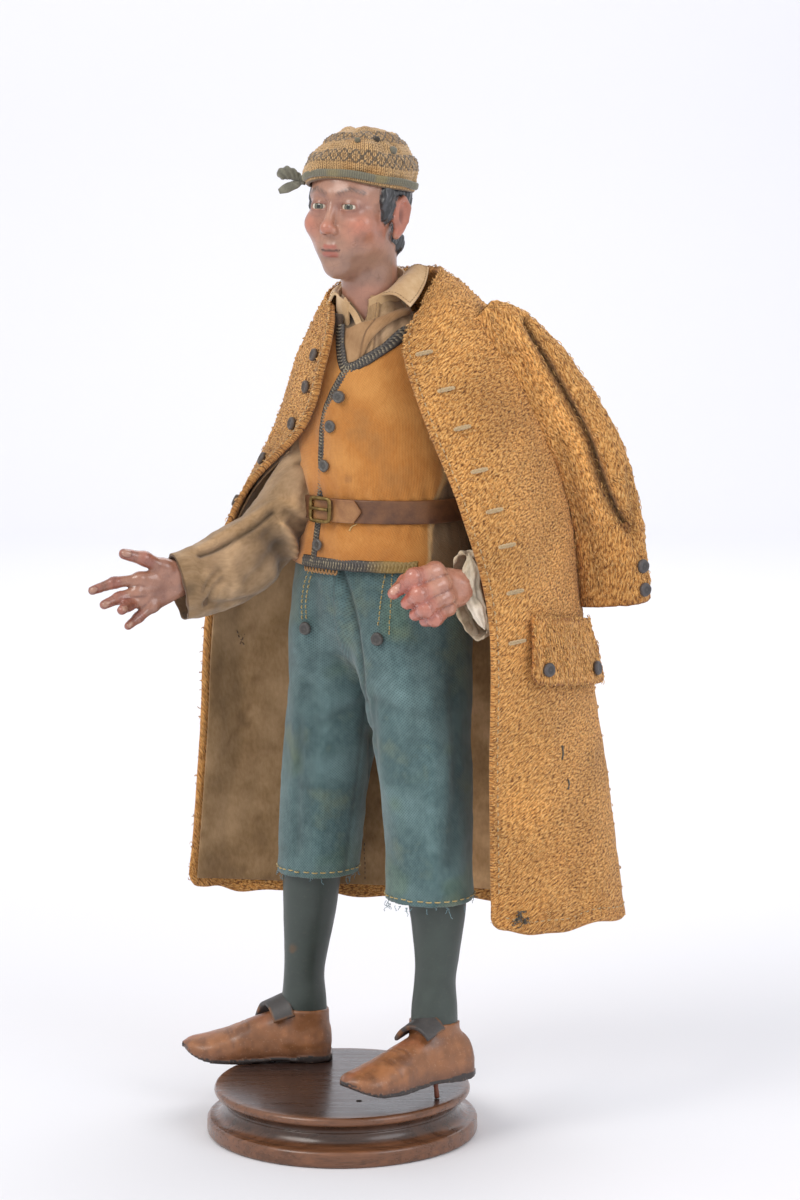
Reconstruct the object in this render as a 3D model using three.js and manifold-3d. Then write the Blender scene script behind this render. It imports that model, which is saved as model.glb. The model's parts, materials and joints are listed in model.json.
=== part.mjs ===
// A dressed crib figure in millimetres, +Z up, standing on its turned plinth.
// The origin is the middle of the plinth's underside, and -Y is the display front.
import * as THREE from "three";
import { mergeVertices } from "three/addons/utils/BufferGeometryUtils.js";
import Module from "manifold-3d";

const wasm = await Module();
wasm.setup();

// Driving sizes
const figureHeight = 391; // top of the plinth to the crown of the cap
const clearance = 0.3; // gap between pieces that touch

const baseRadius = 56;
const baseHeight = 7;
const coveRadius = 48.5;
const coveHeight = 9.2;
const topRadius = 53;
const topHeight = 3.6;
const edgeRounding = 1.6;
const pegRadius = 1;
const pegHeight = 8; // lifts the left shoe off the plinth
const pegLean = 0.8;

const coatThickness = 2.6;
const liningThickness = 0.7;
const sleeveWall = 2.4;
const sleeveOpening = 26; // depth of the hollow in a coat cuff
const flapThickness = 2.2;
const flapWidth = 45; // at its top, and wider below
const flapHeight = 24;
const flapSlant = 6.5; // how much lower a flap's back is than its front
const vestThickness = 1.2;
const braidThickness = 0.9;
const braidWidth = 4;
const hemBraidWidth = 4.6;
const beltThickness = 1.2;
const beltWidth = 9.4;
const buckleSize = 11.4;
const buckleBar = 2.4;
const buckleThickness = 1.4;
const kerchiefThickness = 0.9;
const breechesWall = 1.5;
const shirtWall = 1.2;
const shirtCuffDepth = 16;
const ribbonHeight = 2.6;
const ribbonThickness = 0.7;
const strapThickness = 1.1;
const strapWidth = 9;
const soleThickness = 1.8;

const vestButtonRadius = 2.5;
const coatButtonRadius = 2.7;
const breechesButtonRadius = 2.6;
const buttonHeight = 1.5;
const coatButtonCount = 8;
const coatButtonInset = 8.4; // from the coat's right front edge
const cuffButtonTurn = 30; // degrees round the cuff, away from the coat

// Pose points are read on a figure of this height, from the middle of the plinth's top
const poseHeight = 391;
const poseScale = figureHeight / poseHeight;
const plinthHeight = baseHeight + coveHeight + topHeight;
const mergeDistance = 1e-3;
const upward = new THREE.Vector3(0, 0, 1);

function at(x, y, z) {
  return new THREE.Vector3(x, y, z).multiplyScalar(poseScale).setZ(z * poseScale + plinthHeight);
}

// The figure's own left and front when it is turned by some degrees to the viewer's left
function leftOf(turn) {
  const angle = THREE.MathUtils.degToRad(turn);
  return new THREE.Vector3(Math.cos(angle), -Math.sin(angle), 0);
}

function frontOf(turn) {
  return leftOf(turn).cross(upward);
}

function frameAt(origin, left, up) {
  const front = left.clone().cross(up).normalize();
  const squareUp = front.clone().cross(left).normalize();
  return new THREE.Matrix4().makeBasis(left, squareUp, front).setPosition(origin);
}

function placeOf(frame) {
  return new THREE.Vector3().setFromMatrixPosition(frame);
}

// A closed geometry as a solid that can be joined and cut
function solidOf(geometry) {
  const bare = new THREE.BufferGeometry();
  bare.setAttribute("position", geometry.attributes.position);
  bare.setIndex(geometry.index);
  const merged = mergeVertices(bare, mergeDistance);
  const corners = Array.from(merged.index.array);
  const kept = [];
  for (let i = 0; i < corners.length; i += 3) {
    const [a, b, c] = corners.slice(i, i + 3);
    if (a !== b && b !== c && c !== a) kept.push(a, b, c);
  }
  const vertProperties = new Float32Array(merged.attributes.position.array);
  const build = (order) =>
    new wasm.Manifold(new wasm.Mesh({ numProp: 3, vertProperties, triVerts: new Uint32Array(order) }));
  const solid = build(kept);
  return solid.volume() > 0 ? solid : build(kept.reverse());
}

function join(first, ...others) {
  return others.reduce((whole, next) => whole.add(next), first);
}

function cut(first, ...others) {
  return others.reduce((whole, next) => whole.subtract(next), first);
}

function pieceOf(name, solid, color, roughness, metalness = 0) {
  const { vertProperties, triVerts } = solid.getMesh();
  const geometry = new THREE.BufferGeometry();
  geometry.setAttribute("position", new THREE.BufferAttribute(new Float32Array(vertProperties), 3));
  geometry.setIndex(new THREE.BufferAttribute(new Uint32Array(triVerts), 1));
  geometry.computeVertexNormals();
  const mesh = new THREE.Mesh(geometry, new THREE.MeshStandardMaterial({ color, roughness, metalness }));
  mesh.name = name;
  return mesh;
}

// A closed tube through stations [x, y, z, half across, half deep, turn], from the top down.
// Its rings are level, or square to the path where side gives their across direction.
function loft(stations, { sides = 16, rows = 8, side, grow = 0, shape = () => 1 } = {}) {
  const path = new THREE.CatmullRomCurve3(
    stations.map(([x, y, z]) => at(x, y, z)),
    false,
    "catmullrom",
  );
  const girth = new THREE.CatmullRomCurve3(
    stations.map(([, , , across, deep, turn = 0]) => new THREE.Vector3(across, deep, turn)),
    false,
    "catmullrom",
  );
  const tube = new THREE.CylinderGeometry(1, 1, 1, sides, rows);
  const spots = tube.attributes.position;
  for (let i = 0; i < spots.count; i += 1) {
    const along = THREE.MathUtils.clamp(0.5 - spots.getY(i), 0, 1);
    const { x: across, y: deep, z: turn } = girth.getPoint(along);
    const up = side ? path.getTangent(along).negate() : upward;
    const left = side ? side.clone().addScaledVector(up, -side.dot(up)).normalize() : leftOf(turn);
    const front = left.clone().cross(up);
    const swell = shape(along, Math.atan2(spots.getZ(i), spots.getX(i)));
    const spot = path
      .getPoint(along)
      .addScaledVector(left, spots.getX(i) * swell * (across * poseScale + grow))
      .addScaledVector(front, spots.getZ(i) * swell * (deep * poseScale + grow));
    spots.setXYZ(i, spot.x, spot.y, spot.z);
  }
  return solidOf(tube);
}

// The smooth curve of one column of a table over its first column
function heightCurve(table, column) {
  const points = table.map((row) => new THREE.Vector3(row[0], row[column], 0));
  return new THREE.CatmullRomCurve3(points, false, "catmullrom");
}

// A sheet of even thickness on the surface place(u, v), where u and v run from 0 to 1. Its two
// faces are split along the same diagonals, so that they never cross where the sheet is thin.
function sheet(place, thickness, columns, rows) {
  const slab = new THREE.BoxGeometry(1, 1, 1, columns, rows, 1);
  const corners = slab.index.array;
  const back = slab.groups[5];
  for (let i = back.start; i < back.start + back.count; i += 6) {
    const [a, b, d, , c] = corners.slice(i, i + 6);
    corners.set([a, b, c, a, c, d], i);
  }
  const spots = slab.attributes.position;
  const step = 1e-3;
  for (let i = 0; i < spots.count; i += 1) {
    const u = spots.getX(i) + 0.5;
    const v = 0.5 - spots.getY(i);
    const alongU = place(Math.min(u + step, 1), v).sub(place(Math.max(u - step, 0), v));
    const alongV = place(u, Math.min(v + step, 1)).sub(place(u, Math.max(v - step, 0)));
    const normal = alongU.cross(alongV).normalize();
    const spot = place(u, v).addScaledVector(normal, spots.getZ(i) * thickness);
    spots.setXYZ(i, spot.x, spot.y, spot.z);
  }
  return solidOf(slab);
}

// An egg shape in a frame, with its middle and half sizes in pose millimetres
function ball(frame, [x, y, z], [rx, ry, rz], { lean = 0, columns = 12, rows = 8 } = {}) {
  const geometry = new THREE.SphereGeometry(1, columns, rows);
  geometry.scale(rx * poseScale, ry * poseScale, rz * poseScale);
  geometry.rotateZ(THREE.MathUtils.degToRad(lean));
  geometry.translate(x * poseScale, y * poseScale, z * poseScale);
  return solidOf(geometry.applyMatrix4(frame));
}

function block(frame, [width, height, depth], [x = 0, y = 0, z = 0] = []) {
  const geometry = new THREE.BoxGeometry(width, height, depth);
  return solidOf(geometry.translate(x, y, z).applyMatrix4(frame));
}

// An outline pushed along a frame's front, between two depths
function prism(frame, outline, from, to) {
  const shape = new THREE.Shape(outline.map(([x, y]) => new THREE.Vector2(x, y)));
  const geometry = new THREE.ExtrudeGeometry(shape, { depth: to - from, bevelEnabled: false });
  return solidOf(geometry.translate(0, 0, from).applyMatrix4(frame));
}

// The prism under a stroke of some width along a line of points
function stroke(frame, points, width, from, to) {
  const runs = points.slice(1).map((end, i) => {
    const start = new THREE.Vector2(...points[i]);
    const along = new THREE.Vector2(...end).sub(start);
    const middle = along.clone().multiplyScalar(0.5).add(start);
    const run = new THREE.BoxGeometry(along.length() + width / 2, width, to - from);
    run.rotateZ(along.angle()).translate(middle.x, middle.y, (from + to) / 2);
    return solidOf(run.applyMatrix4(frame));
  });
  return join(...runs);
}

// A level slice of space between two heights
function slab(bottom, top) {
  const wide = figureHeight;
  const box = new THREE.BoxGeometry(wide, wide, top - bottom);
  return solidOf(box.translate(0, 0, (top + bottom) / 2));
}

// A button with a turned rim, its back on the frame's origin and its face to the front
function button(frame, radius) {
  const profile = [
    [0, 0],
    [radius, 0],
    [radius * 0.8, buttonHeight * 0.8],
    [0, buttonHeight],
  ];
  const geometry = new THREE.LatheGeometry(profile.map(([x, y]) => new THREE.Vector2(x, y)), 8);
  return solidOf(geometry.rotateX(Math.PI / 2).applyMatrix4(frame));
}

// Plinth and peg
function makePlinth() {
  const profile = new THREE.Path();
  const coveTop = baseHeight + coveHeight;
  const quarter = Math.PI / 2;
  const baseCorner = baseRadius - edgeRounding;
  const topCorner = topRadius - edgeRounding;
  const nose = topHeight / 2;
  const waist = coveTop - coveHeight * 0.4;
  profile.moveTo(0, 0);
  profile.lineTo(baseCorner, 0);
  profile.absarc(baseCorner, edgeRounding, edgeRounding, -quarter, 0);
  profile.absarc(baseCorner, baseHeight - edgeRounding, edgeRounding, 0, quarter);
  const lowReach = baseCorner - coveRadius;
  profile.absellipse(baseCorner, waist, lowReach, waist - baseHeight, -quarter, -2 * quarter, true);
  profile.absellipse(topCorner, waist, topCorner - coveRadius, coveTop - waist, 2 * quarter, quarter, true);
  profile.absellipse(topCorner, coveTop + nose, edgeRounding, nose, -quarter, 0);
  profile.absellipse(topCorner, coveTop + nose, edgeRounding, nose, 0, quarter);
  profile.lineTo(0, plinthHeight);
  return solidOf(new THREE.LatheGeometry(profile.getPoints(1), 24).rotateX(quarter));
}

const pegFoot = [38.8, -24, 0];

function makePeg() {
  const foot = at(...pegFoot).setZ(plinthHeight + clearance);
  const head = at(...pegFoot).setZ(plinthHeight + pegHeight - clearance);
  head.x -= pegLean;
  const line = new THREE.LineCurve3(foot, head);
  const section = new THREE.Shape().absarc(0, 0, pegRadius, 0, Math.PI * 2);
  return solidOf(new THREE.ExtrudeGeometry(section, { extrudePath: line, steps: 1, curveSegments: 5 }));
}

// Legs, each a carved stocking and shoe in one piece
const shoeLength = 62.5;
const shoeStations = [
  // along from the heel, half width, top height, lift of the sole
  [0, 5.2, 13, 1],
  [3.5, 8, 18.5, 0],
  [14, 8.8, 21.5, 0],
  [24, 8.8, 20.5, 0.3],
  [33, 9.4, 17.5, 0],
  [43, 10.8, 13.6, 0],
  [52, 10.6, 10.8, 0.9],
  [59, 7.4, 9.4, 3.4],
  [shoeLength, 1.5, 8, 5.6],
];
const legs = {
  right: {
    heel: [-4.6, 36, 0],
    turn: 90,
    lift: clearance,
    shank: [
      [-10.6, 35.6, 100, 12.8, 12.8],
      [-12.6, 36, 78.6, 12.2, 12.4],
      [-13.5, 36, 63, 11, 11.4],
      [-15.1, 36.2, 47, 9.1, 9.6],
      [-15.9, 36.2, 37, 8.6, 8.9],
      [-16, 36, 27, 9.6, 9.4],
      [-16.5, 36, 15, 10.6, 8],
    ],
  },
  left: {
    heel: [51.3, -14.6, 0],
    turn: 53.7,
    lift: pegHeight,
    shank: [
      [38.6, -16.6, 100, 12.4, 12.4],
      [38.8, -16.8, 81.4, 11.8, 12],
      [39, -17, 70.6, 10.4, 11],
      [38.7, -17.8, 57.2, 8.8, 9.6],
      [38, -18.6, 48, 8.5, 9],
      [37.8, -20, 37, 9.6, 9.4],
      [37.6, -21.6, 24, 10.4, 8],
    ],
  },
};

// A shoe's frame: left across the foot, up, and front along it from the heel
function shoeFrame({ heel, turn, lift }) {
  const origin = at(...heel).setZ(plinthHeight + lift);
  return frameAt(origin, leftOf(turn), upward);
}

function makeShoe(leg) {
  const curves = [1, 2, 3].map((n) => heightCurve(shoeStations, n));
  const tube = new THREE.CylinderGeometry(1, 1, 1, 10, 8);
  const spots = tube.attributes.position;
  for (let i = 0; i < spots.count; i += 1) {
    const along = THREE.MathUtils.clamp(0.5 - spots.getY(i), 0, 1);
    const [half, top, lift] = curves.map((curve) => curve.getPoint(along).y);
    const reach = Math.hypot(spots.getX(i), spots.getZ(i));
    const rise = spots.getZ(i) > 0 ? spots.getZ(i) : 0;
    const sunk = spots.getZ(i) < -0.2 ? 0 : soleThickness;
    const height = reach < 0.5 ? (top + lift) / 2 : lift + Math.max(sunk, rise * (top - lift));
    spots.setXYZ(
      i,
      spots.getX(i) * half * poseScale,
      height * poseScale,
      curves[0].getPoint(along).x * poseScale,
    );
  }
  return solidOf(tube.applyMatrix4(shoeFrame(leg)));
}

function makeLeg(leg) {
  const shank = loft(leg.shank.map((s) => [...s, leg.turn - 90]), { sides: 9, rows: 5 });
  return join(shank, makeShoe(leg));
}

// The flat strap that lies over the instep and stands a little proud of the shoe
function makeStrap(leg) {
  const frame = shoeFrame(leg);
  const start = 19.5;
  const place = (u, v) => {
    const angle = Math.PI * (0.9 - 0.8 * u);
    const along = start + strapWidth * v;
    const high = 21.6 - 0.3 * (along - start) + 2.6 * (1 - v);
    const across = 10.6 * Math.cos(angle);
    const height = high * Math.pow(Math.sin(angle), 0.55) - 0.4;
    return new THREE.Vector3(across, height, along).multiplyScalar(poseScale).applyMatrix4(frame);
  };
  return cut(sheet(place, strapThickness, 5, 1), inflatedLeg(leg));
}

function inflatedLeg(leg) {
  const shank = loft(leg.shank.map((s) => [...s, leg.turn - 90]), { sides: 9, rows: 5, grow: clearance });
  const grown = { ...leg, lift: leg.lift + clearance };
  return join(shank, makeShoe(grown), makeShoe(leg));
}

// Breeches
const hipTurn = 39;
const hips = [
  [17.5, 8, 222, 37, 30, 38],
  [17.2, 8, 206, 39, 31, hipTurn],
  [16.8, 8, 192, 37.6, 27, hipTurn],
  [16.4, 8, 180, 32, 20, hipTurn],
  [16, 8.5, 170, 20, 10, hipTurn],
];
const hipMesh = { sides: 16, rows: 4 };
const breechLegs = {
  right: [
    [5.2, 18, 208, 21, 27, hipTurn],
    [3.2, 20.6, 188, 22, 28.5, hipTurn],
    [-0.6, 26, 164, 20.8, 23, hipTurn],
    [-6, 32, 124, 18.4, 18.8, hipTurn],
    [-8.1, 34, 102, 17.8, 18.2, hipTurn],
    [-9.8, 35, 81.5, 17, 17.4, hipTurn],
  ],
  left: [
    [29, -1.2, 208, 21, 27, hipTurn],
    [29.4, -4, 188, 22.4, 28.5, hipTurn],
    [31, -9, 164, 21.2, 23, hipTurn],
    [33.8, -14, 128, 18.8, 19, hipTurn],
    [35.4, -15.6, 104, 17.4, 18, hipTurn],
    [36, -16.4, 81, 17.8, 18, hipTurn],
  ],
};

function makeBreeches() {
  const fold = (along, angle) => 1 + 0.012 * Math.cos(5 * angle + 4 * along);
  const body = join(
    loft(hips, hipMesh),
    ...Object.values(breechLegs).map((stations) => loft(stations, { sides: 10, rows: 5, shape: fold })),
  );
  const bores = Object.entries(breechLegs).map(([side, stations]) => {
    const [above, hem] = stations.slice(-2);
    const crown = legs[side].shank[0][2] + clearance / poseScale;
    const ring = (height) => {
      const share = (height - hem[2]) / (above[2] - hem[2]);
      return hem.map((value, i) => THREE.MathUtils.lerp(value, above[i], share));
    };
    return loft([ring(crown), hem, ring(hem[2] - 3)], { sides: 10, rows: 2, grow: -breechesWall });
  });
  return cut(body, ...bores);
}

// Torso, shared by the shirt and by what is worn over it
const chestTurn = 35;
const chestMiddle = [15.5, 6.5];
const waistHeight = 222.3; // where the shirt ends, just above the breeches
const torso = [
  [12.8, 3, 326, 12.4, 12, 32],
  [14.4, 2.8, 319, 15.4, 13.4, 33],
  [14.6, 4.4, 309, 21.6, 18.6, 34],
  [14.8, 6, 292, 28.6, 24.4, 34],
  [15.5, 6.5, 268, 32, 27, chestTurn],
  [17, 7, 243, 34, 27, 36],
  [17.5, 8, waistHeight, 37, 30, 38],
  [17.3, 8, 205, 39.6, 31.6, hipTurn],
];

function torsoGrown(grow) {
  return loft(torso, { sides: 12, rows: 7, grow });
}

// A layer of cloth around the torso, from inner to outer distance off the shirt
function layer(inner, thickness, bottom, top) {
  return cut(torsoGrown(inner + thickness), torsoGrown(inner)).intersect(slab(bottom, top));
}

const sleeves = {
  right: [
    [2, 13, 304, 7, 7],
    [-3.6, 12.5, 288, 9, 9],
    [-10, 10, 266, 10.4, 10.4],
    [-18.5, 7, 244, 12.5, 12],
    [-31, 2.4, 226, 15.5, 11.5],
    [-45, -3, 216, 17, 11],
    [-57, -10.5, 211.6, 15.5, 10],
    [-65, -14, 209.6, 14.4, 9.4],
  ],
  left: [
    [34, -6, 302, 7, 7],
    [45, -5, 286, 9.5, 9],
    [56, -1, 258, 10, 10],
    [65, -6, 234, 11.5, 11],
    [63, -20, 217.5, 13, 10.5],
    [57, -30, 210.5, 17, 8.6],
    [51.5, -37.5, 209, 18.5, 8.6],
  ],
};
const sleeveSides = {
  right: new THREE.Vector3(0.35, 0, 1).normalize(),
  left: new THREE.Vector3(0.1, 0.3, 1).normalize(),
};

function shirtSleeve(name, grow = 0) {
  return loft(sleeves[name], { sides: 8, rows: 7, side: sleeveSides[name], grow });
}

// The hollow at the end of a sleeve, shirtCuffDepth deep
function cuffHollow(name) {
  const stations = sleeves[name];
  const [x, y, z, across, deep] = stations[stations.length - 1];
  const [bx, by, bz] = stations[stations.length - 2];
  const back = new THREE.Vector3(bx - x, by - y, bz - z).normalize();
  const ring = (distance) => {
    const middle = new THREE.Vector3(x, y, z).addScaledVector(back, distance);
    return [...middle.toArray(), across, deep];
  };
  const depth = shirtCuffDepth / poseScale;
  return loft([ring(depth), ring(-3)], {
    sides: 8,
    rows: 1,
    side: sleeveSides[name],
    grow: -shirtWall,
  });
}

const headTurn = 30;
const headMiddle = [6.2, 1, 360];
const neckStations = [
  [10.6, 3, 346, 12, 12.4, headTurn],
  [11.6, 3, 334, 11.4, 11.8, headTurn],
  [12.4, 3.4, 325, 11.4, 11.6, headTurn],
  [12.8, 3.8, 312, 11.4, 11.4, headTurn],
];

function neck(grow = 0) {
  return loft(neckStations, { sides: 8, rows: 3, grow });
}

// The collar is a stand round the neck, low at the throat, with two leaves turned down from it.
// Directions round the neck are degrees from the neck's own front to the figure's left.
const neckBase = [12.3, 3.4];
const collarLeaves = [
  { fold: [46, 122], outer: [66, 106], reach: [26.4, 24], rise: [321.5, 336.5] },
  { fold: [-40, -118], outer: [-50, -112], reach: [16.8, 15], rise: [321.5, 332] },
];

function roundNeck(degrees, reach, height) {
  const angle = THREE.MathUtils.degToRad(degrees);
  const [x, y] = neckBase;
  return at(x, y, height)
    .addScaledVector(frontOf(headTurn), reach * poseScale * Math.cos(angle))
    .addScaledVector(leftOf(headTurn), reach * poseScale * Math.sin(angle));
}

function collarHeight(degrees) {
  const angle = THREE.MathUtils.degToRad(degrees);
  return 328 - 11 * Math.cos(angle) + 5 * Math.sin(angle);
}

function collarLeaf({ fold, outer, reach, rise }, grow) {
  const spread = 0.2 * grow;
  const place = (u, v) => {
    const along = THREE.MathUtils.lerp(-spread, 1 + spread, u);
    const down = THREE.MathUtils.lerp(0, 1 + spread, v);
    const turn = THREE.MathUtils.lerp(...fold, along);
    const top = roundNeck(turn, 13.9, collarHeight(turn) - 0.6);
    const tip = roundNeck(
      THREE.MathUtils.lerp(...outer, along),
      THREE.MathUtils.lerp(...reach, along),
      THREE.MathUtils.lerp(...rise, along),
    );
    return top.lerp(tip, down).add(new THREE.Vector3(0, 0, 2.4 * poseScale * Math.sin(Math.PI * down)));
  };
  return sheet(place, shirtWall + 2 * grow, 4, 1);
}

function collarStand(grow) {
  const place = (u, v) => {
    const turn = THREE.MathUtils.lerp(-178, 178, u);
    const [low, high] = [309, collarHeight(turn) + grow];
    return roundNeck(turn, 13.6 - 0.6 * v, THREE.MathUtils.lerp(high, low, v));
  };
  return sheet(place, shirtWall + 2 * grow, 10, 1);
}

// The whole shirt before its hollows are cut, or the room it takes when it is grown
function shirtForm(grow = 0) {
  return join(
    torsoGrown(grow).intersect(slab(at(0, 0, waistHeight).z, at(0, 0, poseHeight).z)),
    collarStand(grow),
    ...collarLeaves.map((leaf) => collarLeaf(leaf, grow)),
    shirtSleeve("right", grow),
    shirtSleeve("left", grow),
  );
}

function makeShirt() {
  return cut(
    shirtForm(),
    neck(clearance),
    loft(hips, { ...hipMesh, grow: clearance }),
    cuffHollow("right"),
    cuffHollow("left"),
  );
}

// Layers over the chest are cut to outlines given in chest coordinates, across and up
const vestTop = 318.5;
const vestLength = 101.5;
const vestHem = vestTop - vestLength;
const beltRise = 24; // the belt's middle above the vest's hem
const beltHeight = vestHem + beltRise;
const throat = [3.5, 297.8]; // where the vest's neck edge meets its front edge
const kerchiefOutline = [
  [-9, 318],
  [3.3, 299.5],
  [8.3, 299],
  [12.4, 306.4],
  [24, 323],
  [14, 331],
  [0, 331],
];
const neckline = [
  [-5.6, 326],
  [-3.8, 314.6],
  [-1.3, 304.8],
  throat,
  [15.9, 305.3],
  [21.8, 313.2],
  [26.8, 326],
];
const frontEdge = [
  throat,
  [-2.8, 286.8],
  [-6.6, 276.5],
  [-8.4, 256.3],
  [-10.2, beltHeight],
  [-12.2, vestHem + 2],
];
const kerchiefGap = clearance;
const vestGap = kerchiefGap + kerchiefThickness + clearance;
const braidGap = vestGap + vestThickness + clearance;
const chestDepth = 60; // reaches in front of everything worn

function posed(points) {
  return points.map(([x, z]) => [x * poseScale, z * poseScale + plinthHeight]);
}

const chestFront = frameAt(at(...chestMiddle, 0).setZ(0), leftOf(chestTurn), upward);

function makeKerchief() {
  const front = prism(chestFront, posed(kerchiefOutline), 0, chestDepth);
  const cloth = layer(kerchiefGap, kerchiefThickness, at(0, 0, 298).z, at(0, 0, 319).z).intersect(front);
  return cut(cloth, collarStand(clearance), ...collarLeaves.map((leaf) => collarLeaf(leaf, clearance)));
}

function makeVest() {
  const cloth = layer(vestGap, vestThickness, at(0, 0, vestHem).z, at(0, 0, vestTop).z);
  return cut(
    cloth,
    prism(chestFront, posed(neckline), 0, chestDepth),
    collarStand(clearance + shirtWall),
    ...collarLeaves.map((leaf) => collarLeaf(leaf, clearance)),
    shirtSleeve("right", vestGap),
    shirtSleeve("left", vestGap),
  );
}

// A braid of some width laid over the vest's edges
function braidStrokes(grow) {
  const depths = [0, chestDepth];
  const hem = [
    [-19, vestHem + hemBraidWidth / 2],
    [32, vestHem + hemBraidWidth / 2],
  ];
  const edges = [neckline.slice(1, -1), frontEdge].map((line) =>
    stroke(chestFront, posed(line), braidWidth + grow, ...depths),
  );
  return join(...edges, stroke(chestFront, posed(hem), hemBraidWidth + grow, ...depths));
}

function makeBraid() {
  const band = layer(braidGap, braidThickness, at(0, 0, vestHem - 1).z, at(0, 0, vestTop).z);
  return cut(
    band.intersect(braidStrokes(0)),
    ...collarLeaves.map((leaf) => collarLeaf(leaf, clearance)),
    shirtSleeve("right", clearance),
  );
}

// The belt lies on the vest, and its end laps over the braid beside the buckle
const beltHalf = beltWidth / 2 / poseScale;
const beltTip = [
  [-13, beltHeight - beltHalf],
  [7.5, beltHeight - beltHalf],
  [11, beltHeight],
  [7.5, beltHeight + beltHalf],
  [-13, beltHeight + beltHalf],
];

function makeBelt() {
  const bottom = at(0, 0, beltHeight).z - beltWidth / 2;
  const main = layer(braidGap, beltThickness, bottom, bottom + beltWidth);
  const overlap = layer(braidGap + beltThickness - 0.2, beltThickness, bottom, bottom + beltWidth);
  const roomDepth = braidThickness + 2 * clearance;
  const room = layer(braidGap - clearance, roomDepth, bottom - 1, bottom + beltWidth + 1);
  return cut(
    join(main, overlap.intersect(prism(chestFront, posed(beltTip), 0, chestDepth))),
    room.intersect(braidStrokes(2 * clearance)),
    shirtSleeve("right", clearance),
    shirtSleeve("left", clearance),
  );
}

// A frame on a lofted form's front, at a place across and up, with its front square to the form
function spotOn(stations, frame, across, height, distance) {
  const sorted = stations.map(([x, y, z, a, b, turn]) => ({ middle: at(x, y, z), a, b, turn }));
  const target = at(0, 0, height).z;
  const below = sorted.findIndex(({ middle }) => middle.z <= target);
  const [high, low] = [sorted[below - 1], sorted[below]];
  const share = (high.middle.z - target) / (high.middle.z - low.middle.z);
  const middle = high.middle.clone().lerp(low.middle, share);
  const [a, b, turn] = ["a", "b", "turn"].map((key) => THREE.MathUtils.lerp(high[key], low[key], share));
  const origin = placeOf(frame);
  const left = new THREE.Vector3().setFromMatrixColumn(frame, 0);
  const pointAt = (angle) =>
    middle
      .clone()
      .addScaledVector(leftOf(turn), (a * poseScale + distance) * Math.cos(angle))
      .addScaledVector(frontOf(turn), (b * poseScale + distance) * Math.sin(angle));
  let [from, to] = [0, Math.PI];
  for (let i = 0; i < 30; i += 1) {
    const half = (from + to) / 2;
    const offset = pointAt(half).sub(origin).dot(left);
    if (offset > across * poseScale) from = half;
    else to = half;
  }
  const nudge = 0.01;
  const along = pointAt(from - nudge).sub(pointAt(from + nudge)).setZ(0).normalize();
  return frameAt(pointAt(from), along, upward);
}

function makeBuckle() {
  const frame = spotOn(torso, chestFront, -7.6, beltHeight, braidGap + 2 * beltThickness + clearance);
  const half = buckleSize / 2;
  const square = (size) => [
    [-size, -size],
    [size, -size],
    [size, size],
    [-size, size],
  ];
  const outline = new THREE.Shape(square(half).map(([x, y]) => new THREE.Vector2(x, y)));
  outline.holes.push(new THREE.Path(square(half - buckleBar).map(([x, y]) => new THREE.Vector2(x, y))));
  const geometry = new THREE.ExtrudeGeometry(outline, { depth: buckleThickness, bevelEnabled: false });
  return solidOf(geometry.applyMatrix4(frame));
}

// The coat hangs from the shoulders like a cape. Rows run from the neck to the hem, and the
// points of a row from the left front edge round the back to the right front edge.
const coatRows = [
  [
    [30.5, -20, 319.5], [38.5, -5, 333.5], [38, 8, 335.5], [28, 19, 335.5],
    [14, 22.5, 333.5], [2, 18.8, 329], [-4.4, 9, 325], [-3.2, 0, 322],
  ],
  [
    [26, -26, 311.5], [45, -20, 320], [54, 0, 325], [42, 23, 324],
    [16, 31, 320], [-2, 28, 317], [-9, 14, 315.5], [-3.4, -13, 314],
  ],
  [
    [25.4, -32, 301], [52, -28, 303], [73, -4, 305], [61, 26, 303],
    [24, 39, 302], [-6, 36, 300], [-16.6, 15, 300], [-6.4, -19, 300],
  ],
  [
    [34, -39, 276], [61, -34, 276], [83, -2, 276], [72, 30, 276],
    [28, 46, 276], [-10, 44, 276], [-24, 20, 275], [-14.6, -10, 274],
  ],
  [
    [45, -46.5, 243], [70.5, -36, 243], [92, 1, 243], [79, 33, 243],
    [34, 50, 243], [-10, 50, 243], [-35, 40, 243], [-40, 19, 243],
  ],
  [
    [55.5, -49.5, 200], [79, -34, 200], [97, 3, 200], [84, 37, 200],
    [38, 54, 200], [-6, 56, 200], [-39, 54, 200], [-55, 40, 200],
  ],
  [
    [59, -43, 134], [86, -28, 134], [108, 5, 134], [90, 41, 134],
    [40, 58, 134], [-4, 61, 134], [-40, 61, 134], [-60, 51, 134],
  ],
  [
    [60, -38, 72], [90, -25, 70], [116, 5, 69], [94, 43, 65],
    [42, 60, 64], [-3, 64, 65], [-43, 65, 67], [-65, 56, 70],
  ],
];
const coatColumns = coatRows[0].map(
  (_, j) => new THREE.CatmullRomCurve3(coatRows.map((row) => at(...row[j])), false, "catmullrom"),
);
const coatMesh = { columns: 20, rows: 9 };

function coatPoint(u, v) {
  const row = coatColumns.map((column) => column.getPoint(v));
  return new THREE.CatmullRomCurve3(row, false, "catmullrom").getPoint(u);
}

// A point off the coat's surface by some distance, and the frame there with its front outward
function coatSpot(u, v, distance) {
  const step = 1e-3;
  const alongU = coatPoint(Math.max(u - step, 0), v).sub(coatPoint(Math.min(u + step, 1), v));
  const alongV = coatPoint(u, Math.max(v - step, 0)).sub(coatPoint(u, Math.min(v + step, 1)));
  const left = alongU.negate().normalize();
  const front = left.clone().cross(alongV).normalize();
  return frameAt(coatPoint(u, v).addScaledVector(front, distance), left, alongV.normalize());
}

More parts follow.
